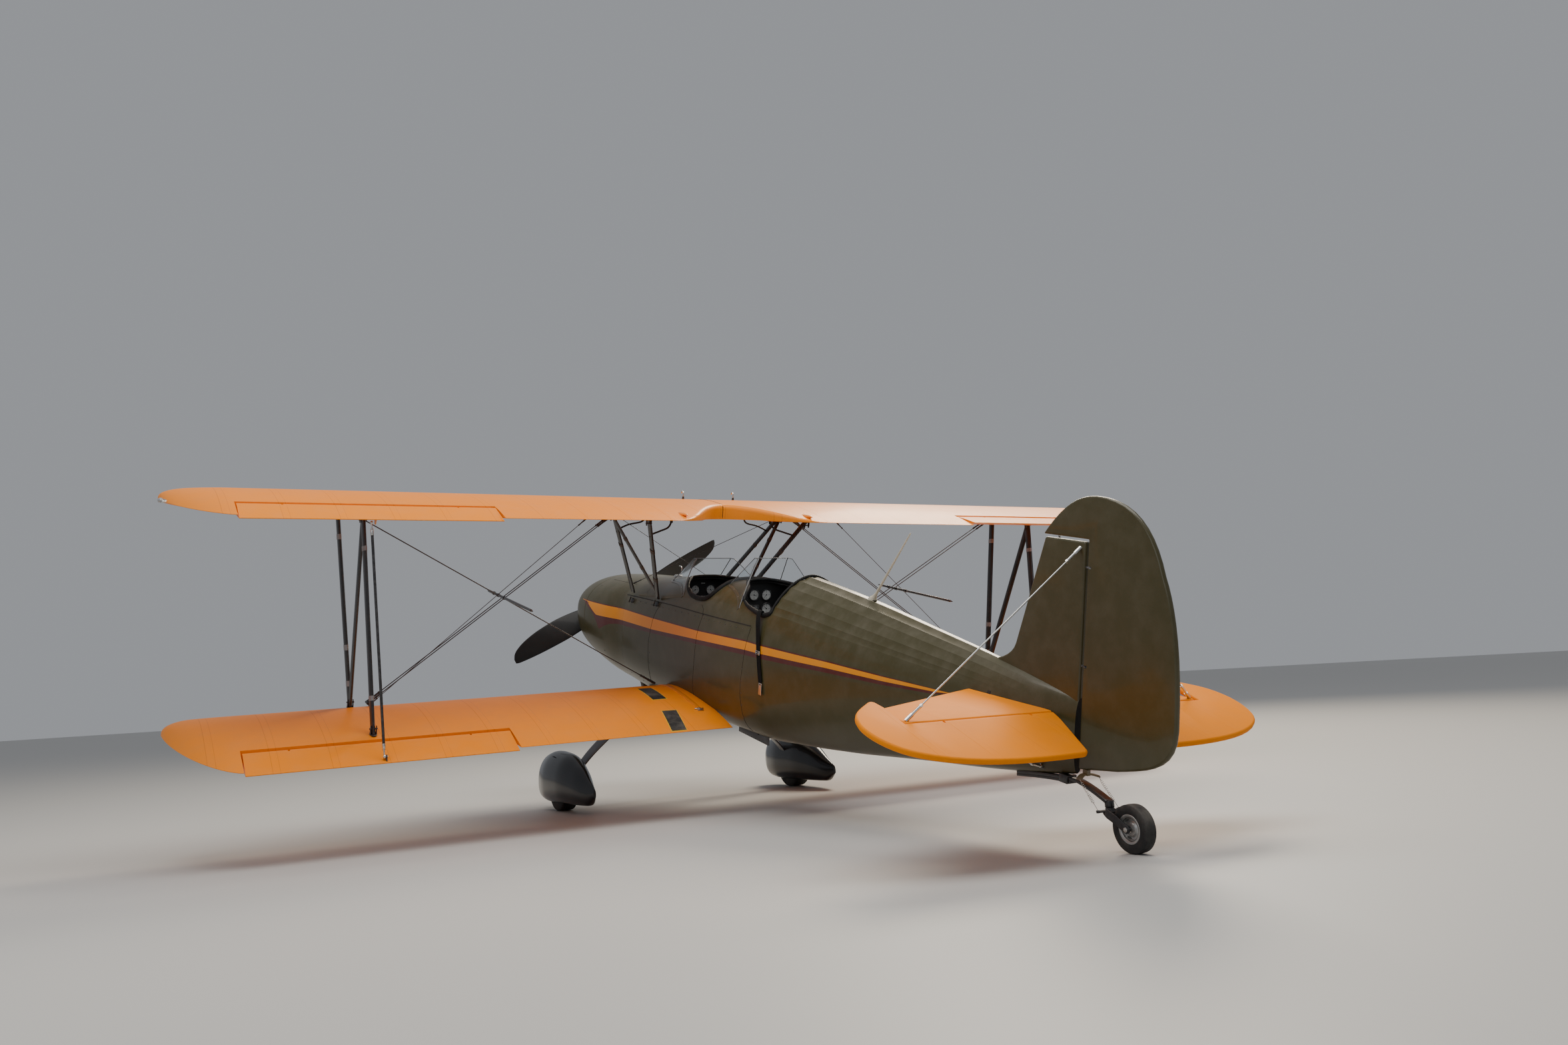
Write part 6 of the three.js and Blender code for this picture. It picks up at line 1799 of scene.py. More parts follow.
def on_sheet(foot, top, bow, s, v):
    """Point on a windshield, s across its folds from 0 to 3 and v up it. Its rear edges bow outwards"""
    flat = along_folds(foot, s) * (1 - v[:, None]) + along_folds(top, s) * v[:, None]
    side = np.clip(1 - s, 0, 1) - np.clip(s - 2, 0, 1)
    return flat + (bow * 4 * v * (1 - v))[:, None] * stacked(side * BOW_SIDEWAYS, 0, np.abs(side) * BOW_UP)


for cockpit, sizes in SCREENS.items():
    foot, top, bow = mirrored_on(sizes["foot"]), mirrored_on(sizes["top"]), sizes["bow"]
    s = np.linspace(0, 3, 3 * FOLD_STEPS + 1)
    low, high = np.zeros_like(s), np.ones_like(s)
    for _ in range(30):
        share = (low + high) / 2
        p = on_sheet(foot, top, bow, s, share)
        under = p[:, 2] < deck_height(p[:, 0], p[:, 1])
        low, high = np.where(under, share, low), np.where(under, high, share)

    def trimmed(u, v):
        start = np.interp(u * 3, s, share) - SHEET_SUNK
        return on_sheet(foot, top, bow, u * 3, start + (1 - start) * v)
    sheet = wrapped(f"{cockpit}_windshield_sheet", 3 * FOLD_STEPS, RISE_STEPS, trimmed, closed=False,
                    ends=False)
    modified(sheet, "SOLIDIFY", thickness=SHEET_THICK, offset=0.0)
    settle(smooth(sheet, 18), acrylic, replaces=(f"{cockpit}_windshield",))
    normal = deck_normal(p[:, 0], p[:, 1])
    out = np.cross(np.gradient(p, axis=0), normal)
    out /= np.linalg.norm(out, axis=1)[:, None]
    out *= np.sign(out[len(s) // 2] @ np.array((0, -1, 0)))
    flange_line = p + out * FLANGE_WIDE / 2
    flange_line[:, 2] = deck_height(flange_line[:, 0], flange_line[:, 1])
    flange = swept(f"{cockpit}_windshield_flange", flange_line + normal * 0.0009,
                   strip_section(FLANGE_WIDE, 0.002), up=normal)
    settle(bevelled(flange, 0.0007, 2), sheet_foot)
    holds = [standing(flange_line[i] + normal[i] * 0.0018, normal[i]) for i in range(3, len(s) - 2, 6)]
    settle(scattered(f"{cockpit}_flange_screws", screw_head(), holds), bright_metal)
    edges = []
    for i in range(0, len(s), FOLD_STEPS):
        rise = share[i] + (1 - share[i]) * np.linspace(0, 1, 12)
        edges.append(swept("edge", on_sheet(foot, top, bow, np.full(12, s[i]), rise), EDGE_STRIP))
    edges.append(swept("edge", top, EDGE_STRIP))
    settle(bevelled(joined(f"{cockpit}_windshield_edges", *edges), 0.001, 2), sheet_edge)
    print(cockpit, "windshield foot from", [round(float(v), 3) for v in p[0]], "to",
          [round(float(v), 3) for v in p[FOLD_STEPS]])

# %% [markdown]
# ## Seats and controls
# The seats are bent sheet: a back with round top corners, a pan with a rolled front lip, and two
# sides with lightening holes. The two sticks share a torque tube along the floor.

# %% Seats and controls
SEATS = {"front": (0.9, 1.33), "rear": (1.64, 2.07)}
SEAT_HALF, SEAT_SHEET, SEAT_SIDE, SHOULDER = 0.205, 0.01, 0.012, 0.075
SEAT_FOOT, PAN_TOP, SEAT_TOP = -0.49, -0.308, 0.19


def seat_frame(name, front, back):
    shoulders = [(SEAT_HALF, PAN_TOP - SEAT_SHEET),
                 *curved((SEAT_HALF, SEAT_TOP - SHOULDER), (SEAT_HALF, SEAT_TOP),
                         (SEAT_HALF - SHOULDER, SEAT_TOP), steps=9),
                 (SEAT_HALF - SHOULDER, SEAT_TOP)]
    outline = shoulders + [(-x, z) for x, z in shoulders[::-1]]
    parts = [prism("back", [(x, back - SEAT_SHEET, z) for x, z in outline], (0, SEAT_SHEET, 0)),
             block("pan", (-SEAT_HALF, front + 0.006, PAN_TOP - SEAT_SHEET),
                   (SEAT_HALF, back - 0.002, PAN_TOP)),
             rod("lip", (-SEAT_HALF, front + 0.008, PAN_TOP - 0.008),
                 (SEAT_HALF, front + 0.008, PAN_TOP - 0.008), 0.008, 20)]
    for side in (-1, 1):
        inner_x, outer_x = side * (SEAT_HALF - SEAT_SIDE), side * SEAT_HALF
        plate = block("side", (min(inner_x, outer_x), front + 0.03, SEAT_FOOT),
                      (max(inner_x, outer_x), back - 0.002, PAN_TOP - 0.002))
        holes = [rod("hole", (side * 0.15, y, -0.4), (side * 0.25, y, -0.4), 0.052, 36)
                 for y in (front + 0.13, front + 0.3)]
        parts.append(cut(plate, *holes))
    return bevelled(joined(name, *parts), 0.002, 2)


for name, (front, back) in SEATS.items():
    settle(seat_frame(f"{name}_seat_frame", front, back), seat_grey, replaces=(f"{name}_seat",))

control_parts, grips = [rod("torque_tube", (0, 0.82, -0.38), (0, 1.62, -0.38), 0.012, 24)], []
for y in (0.85, 1.59):
    foot, head = np.array((0, y, -0.38)), np.array((0, y + 0.058, 0.09))
    control_parts += [rod("stick", foot, head, 0.011, 20), bevelled(block(
        "stand", (-0.016, y - 0.016, -0.482), (0.016, y - 0.004, -0.38)), 0.002)]
    shares = np.array([0.74, 0.755, 0.8, 0.84, 0.88, 0.92, 0.955, 0.985, 1.0])
    radii = [0.0118, 0.0165, 0.0178, 0.0165, 0.0178, 0.0168, 0.0185, 0.0165, 0.008]
    grips.append(swept("grip", foot + np.outer(shares, head - foot), round_section(1, 20), up=(1, 0, 0),
                       scale=radii))
settle(smooth(joined("sticks_and_tube", *control_parts), 40), seat_grey, replaces=("control_sticks",))
settle(smooth(joined("stick_grips", *grips), 50), hose_rubber)
print("seats", sorted(SEATS), "sticks 2")

# %% [markdown]
# ## Cushions
# A cushion is a sewn cover with foam in it, so it swells between its seams and its corners pull in.
# Cloth with air inside makes that shape. The pad starts a little too small, is remeshed to even
# squares, and is blown up for twenty frames. Then its seat side is pressed flat against the metal
# and the sewn channels go in, because remeshing would erase them.

# %% Cushions
VOXEL, PRESSURE, SWELL, LAST_FRAME = 0.006, 4.0, 0.009, 20
CHANNEL_DEEP, CHANNEL_WIDE = 0.0055, 0.0055


def stuffed(pad):
    modified(bevelled(pad, 0.01, 3), "REMESH", mode="VOXEL", voxel_size=VOXEL)
    start = np.array([v.co for v in pad.data.vertices])
    pick(pad)
    cover = pad.modifiers.new("cover", "CLOTH")
    cover.settings.use_pressure = True
    cover.settings.uniform_pressure_force = PRESSURE
    cover.settings.effector_weights.gravity = 0.0
    cover.point_cache.frame_end = LAST_FRAME
    for moment in range(1, LAST_FRAME + 1):
        bpy.context.scene.frame_set(moment)
    bpy.ops.object.modifier_apply(modifier=cover.name)
    bpy.context.scene.frame_set(1)

    def capped(points):
        move = points - start
        far = np.linalg.norm(move, axis=1, keepdims=True)
        return start + move * np.minimum(1, SWELL / np.maximum(far, 1e-9))
    shaped(pad, capped)
    return modified(pad, "SUBSURF", levels=1, render_levels=1)


def channel(at, lines):
    """How deep the sewing pulls the cover down at each place"""
    return CHANNEL_DEEP * sum(np.exp(-((at - line) / CHANNEL_WIDE) ** 2) for line in lines)


front, back = SEATS["front"]
seat_pad = stuffed(block("seat_pad", (-0.176, front + 0.024, -0.3), (0.176, back - 0.086, -0.25)))
back_pad = stuffed(block("back_pad", (-0.176, back - 0.064, -0.296), (0.176, back - 0.018, 0.164)))


def sewn_seat(p):
    up_side = np.clip((p[:, 2] + 0.275) / 0.02, 0, 1)
    return stacked(p[:, 0], p[:, 1], np.maximum(p[:, 2], -0.3077) - up_side
                   * channel(p[:, 0], (-0.088, 0, 0.088)))


def sewn_back(p):
    front_side = np.clip((back - 0.041 - p[:, 1]) / 0.015, 0, 1)
    pulled = np.minimum(p[:, 1], back - 0.0105) + front_side * channel(p[:, 2], (-0.17, -0.06, 0.05))
    return stacked(p[:, 0], pulled, p[:, 2])


shaped(seat_pad, sewn_seat)
shaped(back_pad, sewn_back)
for name, (seat_front, _) in SEATS.items():
    move = Matrix.Translation((0, seat_front - front, 0))
    for pad, label, replaced in ((seat_pad, "cushion", (f"{name}_cushion",)), (back_pad, "backrest", ())):
        made = settle(smooth(copied(pad, f"{name}_{label}_pad", move), 60), seat_leather, replaces=replaced)
for pad in (seat_pad, back_pad):
    bpy.data.objects.remove(pad)

# %% [markdown]
# ## Bulkhead, headrest and harness strap
# A dark bulkhead closes the space behind the rear seat. One strap of the harness hangs out over the
# left rim. It is flat webbing, laid along a smooth line with its width fore and aft, and it ends in
# a metal tongue, with a slider higher up.

# %% Bulkhead, headrest and harness strap
bulkhead = body_loft("rear_bulkhead", 2.18, 2.186, 1, -WALL - SKIN_GAP)
settle(bulkhead, cockpit_black)
rest_outline = [(0.105, 0.385), *curved((0.105, 0.45), (0.105, 0.495), (0.06, 0.495), steps=7),
                (0.06, 0.495)]
rest_outline += [(-x, z) for x, z in rest_outline[::-1]]
headrest = bevelled(prism("rear_headrest", [(x, 2.15, z) for x, z in rest_outline], (0, 0.0295, 0)), 0.011,
                    4, 40)
settle(headrest, seat_leather)

STRAP = [(0.285, 2.066, 0.215), (0.287, 2.068, 0.322), (0.3, 2.074, 0.357), (0.318, 2.08, 0.354),
         (0.338, 2.098, 0.318), (0.358, 2.14, 0.24), (0.3685, 2.175, 0.13), (0.3715, 2.2, 0.04),
         (0.3695, 2.222, -0.057)]
strap_path = flowing(STRAP, 7)
strap_along = np.gradient(strap_path, axis=0)
strap_up = np.cross((0, 1, 0), strap_along)
strap = swept("harness_strap_webbing", strap_path, strip_section(0.044, 0.0026), up=strap_up)
settle(smooth(strap, 40), belt_webbing, replaces=("harness_strap",))


def buckle_plate(name, centre, wide, high, thick, slots):
    made = block(name, (-thick / 2, -wide / 2, -high / 2), (thick / 2, wide / 2, high / 2))
    bevelled(made, min(wide, high) * 0.16, 4, 60)
    cut(made, *(block("slot", (-0.02, -wide * 0.32, z - 0.003), (0.02, wide * 0.32, z + 0.003))
                for z in slots))
    return smooth(moved(made, Matrix.Translation(centre)), 40)


tongue = buckle_plate("tongue", (0.3725, 2.229, -0.094), 0.034, 0.072, 0.0024, (0.026,))
slider = buckle_plate("slider", (0.374, 2.178, 0.118), 0.052, 0.026, 0.006, (0.006, -0.006))
settle(joined("harness_metal", tongue, slider), bright_metal)
print("strap length", round(float(lengths(strap_path)[-1]), 3))

# %% [markdown]
# ## Hinges
# Every moving surface turns on pins in fixed lugs. A slot is cut in its nose at each lug with a
# block, the pin stays with the surface, and the lug is a rounded plate that reaches forward into the
# wing or the tail plane. The slots are cut after the surface has been set at its rest angle.

# %% Hinges
LUG_THICK, LUG_RADIUS, LUG_PIN, LUG_CLEAR, LUG_SLOT, LUG_REACH = 0.008, 0.009, 0.004, 0.0008, 0.012, 0.04
RUDDER_LUGS, ELEVATOR_LUGS, AILERON_LUG_SHARES = (0.1, 0.47, 0.92), (0.21, 0.7), (0.16, 0.84)


def hinge_axes(point, axis):
    """Matrix with X along a hinge line and Y aft, at a point on it"""
    along = Vector(axis).normalized()
    aft = (Vector((0, 1, 0)) - along * along.y).normalized()
    turn = Matrix((along, aft, along.cross(aft))).transposed().to_4x4()
    return Matrix.Translation(Vector(point)) @ turn


def hinged(moving, places, body, fixed, lug_finish=bracket_orange):
    """Cuts slots in a finished surface, gives it pins, and makes the lugs that stand on what carries it"""
    tools, pins, lugs = [], [], []
    for place in places:
        tools.append(moved(block("slot", (-LUG_SLOT / 2, -0.06, -0.06),
                                 (LUG_SLOT / 2, LUG_RADIUS + 0.003, 0.06)), place))
        pins.append(moved(rod("pin", (-LUG_SLOT / 2 - 0.003, 0, 0), (LUG_SLOT / 2 + 0.003, 0, 0), LUG_PIN,
                              12), place))
        lug = cut(block("lug", (-LUG_THICK / 2, -LUG_REACH, -0.008), (LUG_THICK / 2, 0, 0.008)),
                  rod("eye", (-LUG_THICK / 2, 0, 0), (LUG_THICK / 2, 0, 0), LUG_RADIUS, 24),
                  operation="UNION")
        cut(lug, rod("hole", (-0.02, 0, 0), (0.02, 0, 0), LUG_PIN + LUG_CLEAR, 16))
        lugs.append(moved(bevelled(lug, 0.0008, 2, 50), place))
    surface = moved(bpy.data.objects[f"{moving}_skin"], TO_AIRFRAME)
    smooth(moved(cut(surface, *tools), AIRFRAME), 35)
    settle(joined(f"{moving}_pins", *pins), bright_metal, body)
    settle(joined(f"{fixed}_hinge_lugs", *lugs), lug_finish)


for side, sign in SIDES:
    for key in WINGS:
        start, end = (TO_SIDE[side] @ p for p in hinge_line[key])
        places = [hinge_axes(start.lerp(end, share), end - start) for share in AILERON_LUG_SHARES]
        hinged(f"aileron_{key}_{side}", places, f"aileron_{key}_{side}", f"{key}_wing_{side}")
    places = [hinge_axes((sign * x, ELEVATOR_Y, ELEVATOR_Z), (1, 0, 0)) for x in ELEVATOR_LUGS]
    hinged(f"elevator_{side}", places, "elevators", f"stabilizer_{side}")
hinged("rudder", [hinge_axes((0, RUDDER_Y, z), (0, 0, 1)) for z in RUDDER_LUGS], "rudder", "fin",
       fitting_black)

# %% [markdown]
# ## Slave struts
# A thin strut on each side makes the upper aileron follow the lower one. It hangs beside a lug on
# each aileron, with a bolt through the eye. The strut and the lugs stand on the frame's pivot points.

# %% Slave struts
SLAVE_X, SLAVE_AFT, SLAVE_LIFT = {"lower": 2.48, "upper": 2.565}, 0.182, {"lower": 0.018, "upper": -0.03}
SLAVE_EYE, SLAVE_EYE_HALF, SLAVE_ROD, SLAVE_LUG = 0.011, 0.005, 0.008, 0.006
SLAVE_GAP = {"lower": 0.004, "upper": 0.013}
slave_pivot = {}
for key in WINGS:
    start, end = hinge_line[key]
    on_hinge = start.lerp(end, (SLAVE_X[key] - start.x) / (end.x - start.x))
    slave_pivot[key] = on_hinge + Vector((0, SLAVE_AFT, -SLAVE_AFT * 0.06 + SLAVE_LIFT[key]))
for side, sign in SIDES:
    eyes = {}
    for key in WINGS:
        rest = TO_SIDE[side] @ turned_about(*hinge_line[key], -AILERON_REST * sign)
        p, way = slave_pivot[key], 1 if SLAVE_LIFT[key] > 0 else -1
        outline = [(-0.03, -way * 0.02), (0.02, -way * 0.02), (0.01, way * 0.004), (-0.01, way * 0.004)]
        web = prism("web", [(p.x - SLAVE_LUG / 2, p.y + y, p.z + z) for y, z in outline], (SLAVE_LUG, 0, 0))
        eye = rod("eye", p - Vector((SLAVE_LUG / 2, 0, 0)), p + Vector((SLAVE_LUG / 2, 0, 0)), SLAVE_EYE,
                  28)
        lug = cut(web, eye, operation="UNION")
        cut(lug, rod("hole", p - Vector((0.02, 0, 0)), p + Vector((0.02, 0, 0)), 0.0045, 16))
        moved(bevelled(lug, 0.0008, 2, 50), rest)
        lug.name = f"aileron_{key}_{side}_slave_lug"
        settle(lug, bracket_orange if key == "upper" else fitting_black, f"aileron_{key}_{side}")
        pivot = rest @ p
        eyes[key] = pivot + Vector((sign * (SLAVE_LUG / 2 + SLAVE_GAP[key] + SLAVE_EYE_HALF), 0, 0))
    low, high = eyes["lower"], eyes["upper"]
    way = (high - low).normalized()
    half = Vector((SLAVE_EYE_HALF, 0, 0))
    tube = smooth(rod("tube", low + way * 0.07, high - way * 0.07, SLAVE_ROD, 20), 40)
    tube.name = f"slave_strut_{side}_tube"
    settle(tube, strut_black, f"slave_strut_{side}", replaces=(f"slave_strut_{side}",))
    ends = []
    for eye_at, inward_way in ((low, way), (high, -way)):
        ends += [rod("eye", eye_at - half, eye_at + half, SLAVE_EYE, 28),
                 rod("shank", eye_at + inward_way * 0.004, eye_at + inward_way * 0.046, 0.0046, 16),
                 rod("nut", eye_at + inward_way * 0.034, eye_at + inward_way * 0.042, 0.0082, 6),
                 rod("cup", eye_at + inward_way * 0.044, eye_at + inward_way * 0.072, 0.0092, 20)]
    ends += [rod("pin", low - Vector((sign * 0.02, 0, 0)), low + Vector((sign * 0.0078, 0, 0)), 0.004, 16),
             rod("bolt", high - half * 1.5, high + half * 1.5, 0.0062, 6)]
    settle(bevelled(joined(f"slave_strut_{side}_ends", *ends), 0.0007, 2, 40), bright_metal,
           f"slave_strut_{side}")
at_rest = {key: AIRFRAME @ turned_about(*hinge_line[key], -AILERON_REST) @ p
           for key, p in slave_pivot.items()}
print("slave pivots in the frame", {key: [round(v, 4) for v in p] for key, p in at_rest.items()})

# %% [markdown]
# ## Strut fittings, tapes and bracing
# The struts stand on small plates with bolted forks, and bands of tape mark where clamps sit. Bars
# of black rod hold the crossing wires apart, two wires cross between the cabane struts, and black
# fuel pipes bend from the wing to the cabane struts.

# %% Strut fittings and bracing
tape_brown = paint("tape_brown", "black_paint", (0.06, 0.046, 0.036), 0.55, depth=0.5, patch=60.0, dust=0.2)
tape_silver = paint("tape_silver", "stay_steel", (0.3, 0.3, 0.31), 0.42, metal=0.6, depth=0.4, patch=40.0,
                    dust=0.15)


def sleeve(low, high, share, length, chord, thick):
    low, high = Vector(low), Vector(high)
    way = (high - low).normalized() * length / 2
    middle = low.lerp(high, share)
    return streamlined("sleeve", middle - way, middle + way, chord, thick, 24, 1)


def foot_fitting(point, way, length=0.085, wide=0.04, fork=0.05):
    """Rounded plate on the skin, two fork cheeks and a bolt, standing at a strut's end"""
    plate = moved(rod("plate", (0, 0, -0.002), (0, 0, 0.004), 0.5, 32),
                  Matrix.Diagonal((wide, length, 1, 1)))
    cheeks = [prism("cheek", [(x - 0.0015, -0.015, 0), (x - 0.0015, 0.015, 0), (x - 0.0015, 0.009, fork),
                              (x - 0.0015, -0.009, fork)], (0.003, 0, 0))
              for x in (-0.0165, 0.0165)]
    bolt = rod("bolt", (-0.023, 0, fork * 0.66), (0.023, 0, fork * 0.66), 0.0052, 6)
    made = bevelled(joined("fitting", plate, *cheeks, bolt), 0.001, 2, 50)
    up = Vector(way).normalized()
    fore = (Vector((0, 1, 0)) - up * up.y).normalized()
    turn = Matrix((fore.cross(up), fore, up)).transposed().to_4x4()
    return moved(made, Matrix.Translation(Vector(point)) @ turn)


DOWN, UP = Vector((0, 0, -1)), Vector((0, 0, 1))
fittings = [foot_fitting(place, DOWN if "upper" in name else UP) for name, place in FEET.items()]
fittings += [foot_fitting(CABANE[name], DOWN, 0.075) for name in ("upper_front", "upper_rear")]
for name in ("front", "rear"):
    foot = CABANE[name]
    normal = Vector(deck_normal(foot.x, foot.y))
    fittings.append(foot_fitting(deck_spot(foot.x, foot.y), normal, 0.07, 0.034, 0.036))
paired(joined("strut_fittings_left", *fittings), fitting_black)
brown = [sleeve(CABANE["rear"], CABANE["upper_rear"], share, 0.03, 0.054, 0.028) for share in (0.24, 0.6)]
brown.append(sleeve(CABANE["front"], CABANE["upper_front"], 0.62, 0.026, 0.054, 0.028))
brown += [sleeve(*CABANE_DIAGONAL, share, 0.026, 0.05, 0.025) for share in (0.35, 0.72)]
paired(joined("cabane_left_tapes", *brown), tape_brown)
silver = [sleeve(FEET["front"], FEET["upper_front"], share, 0.034, 0.061, 0.029)
          for share in (0.12, 0.3, 0.86)]
silver += [sleeve(FEET["rear"], FEET["upper_rear"], share, 0.028, 0.061, 0.029) for share in (0.16, 0.84)]
paired(joined("interplane_left_tapes", *silver), tape_silver)

JAVELIN_X, JAVELIN_Z, JAVELIN_Y = 1.6, 0.305, (0.585, 1.5)
javelin = rod("bar", (JAVELIN_X, JAVELIN_Y[0], JAVELIN_Z), (JAVELIN_X, JAVELIN_Y[1], JAVELIN_Z), 0.0088, 16)
tips = [rod("tip", (JAVELIN_X, y, JAVELIN_Z), (JAVELIN_X, y + way * 0.035, JAVELIN_Z), 0.0088, 16, 0.002)
        for y, way in zip(JAVELIN_Y, (-1, 1))]
clamps = [rod("clamp", (JAVELIN_X, y - 0.012, JAVELIN_Z), (JAVELIN_X, y + 0.012, JAVELIN_Z), 0.012, 16)
          for y in (0.7, 0.8, 0.93)]
paired(smooth(joined("javelin_left", javelin, *tips, *clamps), 40), strut_black)
single = wire_with_forks("single_wire_left", moved_up(wing_seat("lower", 2.41, 0.13, 1), 0.006),
                         (1.02, 0.8, 0.816), 0.0022, 0.036)
paired(single, stay_metal)
crossing = [wire_with_forks("cross", (side * 0.352, 0.128, 0.285),
                            (-side * 0.668, 0.474 + side * 0.01, 0.826), 0.0021, 0.034)
            for side in (1, -1)]
settle(joined("cabane_cross_wires", *crossing), stay_metal)

pipes = []
for start, bends, share, (low, high) in (
        ((0.4, 0.86, 0.845), [(0.402, 0.862, 0.812), (0.43, 0.872, 0.772), (0.5, 0.893, 0.748)], 0.8,
         ("rear", "upper_rear")),
        ((0.41, 0.42, 0.845), [(0.412, 0.418, 0.81), (0.44, 0.412, 0.775), (0.54, 0.408, 0.752)], 0.8,
         ("front", "upper_front"))):
    finish_at = CABANE[low].lerp(CABANE[high], share)
    lead = finish_at + (CABANE[low] - CABANE[high]).normalized() * 0.035
    path = flowing([start, *bends, tuple(finish_at), tuple(lead)], 8)
    pipes += [swept("pipe", path, round_section(0.0065, 14), up=(0, 1, 0)),
              rod("cuff", start, (start[0], start[1], start[2] - 0.04), 0.0105, 18)]
paired(smooth(joined("fuel_pipes_left", *pipes), 40), hose_rubber)

# %% [markdown]
# ## Seams, hinge line and screws
# The panels' joints are fine dark lines. Each is a thin strip swept over the skin, because a groove
# would need far more faces. A small search finds the skin at a station and a height. A long piano
# hinge runs below the deck, with a row of screws under it.

# %% Seams, hinge line and screws
SEAM_WIDE, SEAM_THICK, HINGE_WIDE, HINGE_THICK = 0.0022, 0.001, 0.0056, 0.003


def skin_at(y, z):
    """Points and outward normals on the body's left side at stations y and heights z"""
    y, z = np.atleast_1d(np.asarray(y, float)), np.atleast_1d(np.asarray(z, float))
    low, high = np.full_like(y, -math.pi / 2), np.full_like(y, math.pi / 2)
    for _ in range(34):
        middle = (low + high) / 2
        under = body_point(middle, y)[:, 2] < z
        low, high = np.where(under, middle, low), np.where(under, high, middle)
    here = body_point(low, y)
    step = 0.004
    around = body_point(low + step, y) - body_point(low - step, y)
    aft = body_point(low, y + step) - body_point(low, y - step)
    normal = np.cross(aft, around)
    normal /= np.linalg.norm(normal, axis=1)[:, None]
    return here, normal * np.sign(normal[:, :1])


def skin_line(name, points, wide=SEAM_WIDE, thick=SEAM_THICK, steps=16):
    path = flowing([(0, y, z) for y, z in points], steps)
    here, normal = skin_at(path[:, 1], path[:, 2])
    return swept(name, here + normal * thick * 0.25, strip_section(wide, thick), up=normal)


SIDE_SEAMS = [[(0.657, 0.208), (0.64, 0.186), (0.567, 0.081), (0.506, -0.103), (0.517, -0.328),
               (0.52, -0.43)],
              [(1.368, 0.238), (1.355, 0.216), (1.301, 0.048), (1.278, -0.182), (1.266, -0.297),
               (1.262, -0.43)],
              [(2.016, 0.25), (2.002, 0.105), (1.961, -0.141), (1.964, -0.238), (1.966, -0.42)],
              [(1.355, 0.222), (1.335, 0.262), (1.29, 0.286)],
              [(-0.52, 0.232), (-0.3, 0.244), (-0.01, 0.258)]]
HINGE_RUN = [(-0.021, 0.178), (0.4, 0.199), (0.849, 0.22), (1.34, 0.233), (2.007, 0.254)]
seams = [skin_line("seam", points) for points in SIDE_SEAMS]
paired(joined("skin_seams_left", *seams), seam_dark)
paired(skin_line("piano_hinge_left", HINGE_RUN, HINGE_WIDE, HINGE_THICK, 30), seam_dark)


def screws_on(points):
    here, normal = skin_at(*zip(*points))
    return [standing(p + n * 0.0002, n) for p, n in zip(here, normal)]


def spaced(start, end, count, drop=0.0):
    return [(y, z + drop) for y, z in np.linspace(start, end, count)]


screw_places = (spaced((1.3, 0.232), (2.0, 0.254), 10, -0.026)
                + spaced((0.06, 0.181), (1.24, 0.23), 12, -0.024)
                + spaced((0.534, -0.02), (0.52, -0.4), 6) + spaced((1.3, 0.02), (1.268, -0.4), 7)
                + spaced((1.985, 0.06), (1.968, -0.4), 7)
                + [(-0.08, 0.06), (-0.085, -0.12), (-0.08, -0.26), (-0.56, 0.18), (-0.575, 0.04),
                   (-0.575, -0.11), (-0.57, -0.26), (-0.3, -0.3), (-0.2, -0.36), (0.1, -0.4),
                   (0.32, -0.42)])
paired(scattered("skin_screws_left", screw_head(0.0036, 0.0016), screws_on(screw_places)), dull_metal)

FUEL_CAP, VENT_FOOT = (0.045, 0.262), (0.01, 0.24)
cap_at, vent_at = deck_spot(*FUEL_CAP), deck_spot(*VENT_FOOT)
cap = bevelled(rod("cap", cap_at - UP * 0.006, cap_at + UP * 0.016, 0.03, 32), 0.004, 3)
neck = rod("neck", cap_at - UP * 0.008, cap_at + UP * 0.006, 0.036, 32)
rises = ((0, 0, -0.01), (0, 0, 0.04), (0, 0, 0.066), (0, -0.022, 0.078), (0, -0.046, 0.078))
vent = swept("vent", flowing([vent_at + Vector(rise) for rise in rises], 7), round_section(0.0045, 14),
             up=(1, 0, 0))
settle(smooth(joined("fuel_cap_and_vent", cap, neck, vent), 35), bright_metal)

# the cable hole is a near-black patch on the skin: painted shade where the opening is
hole_at, hole_way = skin_at(4.07, 0.245)
hole = moved(block("hole", (-0.012, -0.012, -0.004), (0.012, 0.012, 0.0008)),
             standing(hole_at[0], hole_way[0]))
paired(joined("control_cable_hole_left", bevelled(hole, 0.0006, 2)), inside_painted_shade)
print("screws", len(screw_places), "on each side")

# %% [markdown]
# ## Small parts on the wings
# Anti-slip pads with a bright border lie by the root, a strip covers the joint with the fuselage,
# two bent vent tubes stand on the upper wing, and a lamp sits at each tip. Pads and strips are thin
# sheets laid over the wing's own section.

# %% Small parts on the wings
border_yellow = paint("border_yellow", "orange_paint", (0.8, 0.5, 0.02), 0.4, dust=0.1)


def wing_top(key, x, y):
    wing = WINGS[key]
    x, y = np.asarray(x, float), np.asarray(y, float)
    f = (y - wing["edge"] - x * slope(wing["sweep"])) / CHORD
    return wing_axis(wing, x, f, section_height(f, 1) * CHORD)


def laid_sheet(name, corners, grow, lift, thick):
    """Thin sheet on the lower wing's top, from its corners seen from above"""
    plan = np.array(corners)
    middle = plan.mean(axis=0)
    plan = middle + (plan - middle) * (1 + grow / np.abs(plan - middle).max(axis=0))

    def place(u, v):
        u, v = u[:, None], v[:, None]
        p = (plan[0] * (1 - u) + plan[1] * u) * (1 - v) + (plan[3] * (1 - u) + plan[2] * u) * v
        return wing_top("lower", p[:, 0], p[:, 1]) + (0, 0, lift)
    return modified(wrapped(name, 6, 14, place, closed=False, ends=False), "SOLIDIFY", thickness=thick,
                    offset=0.0)


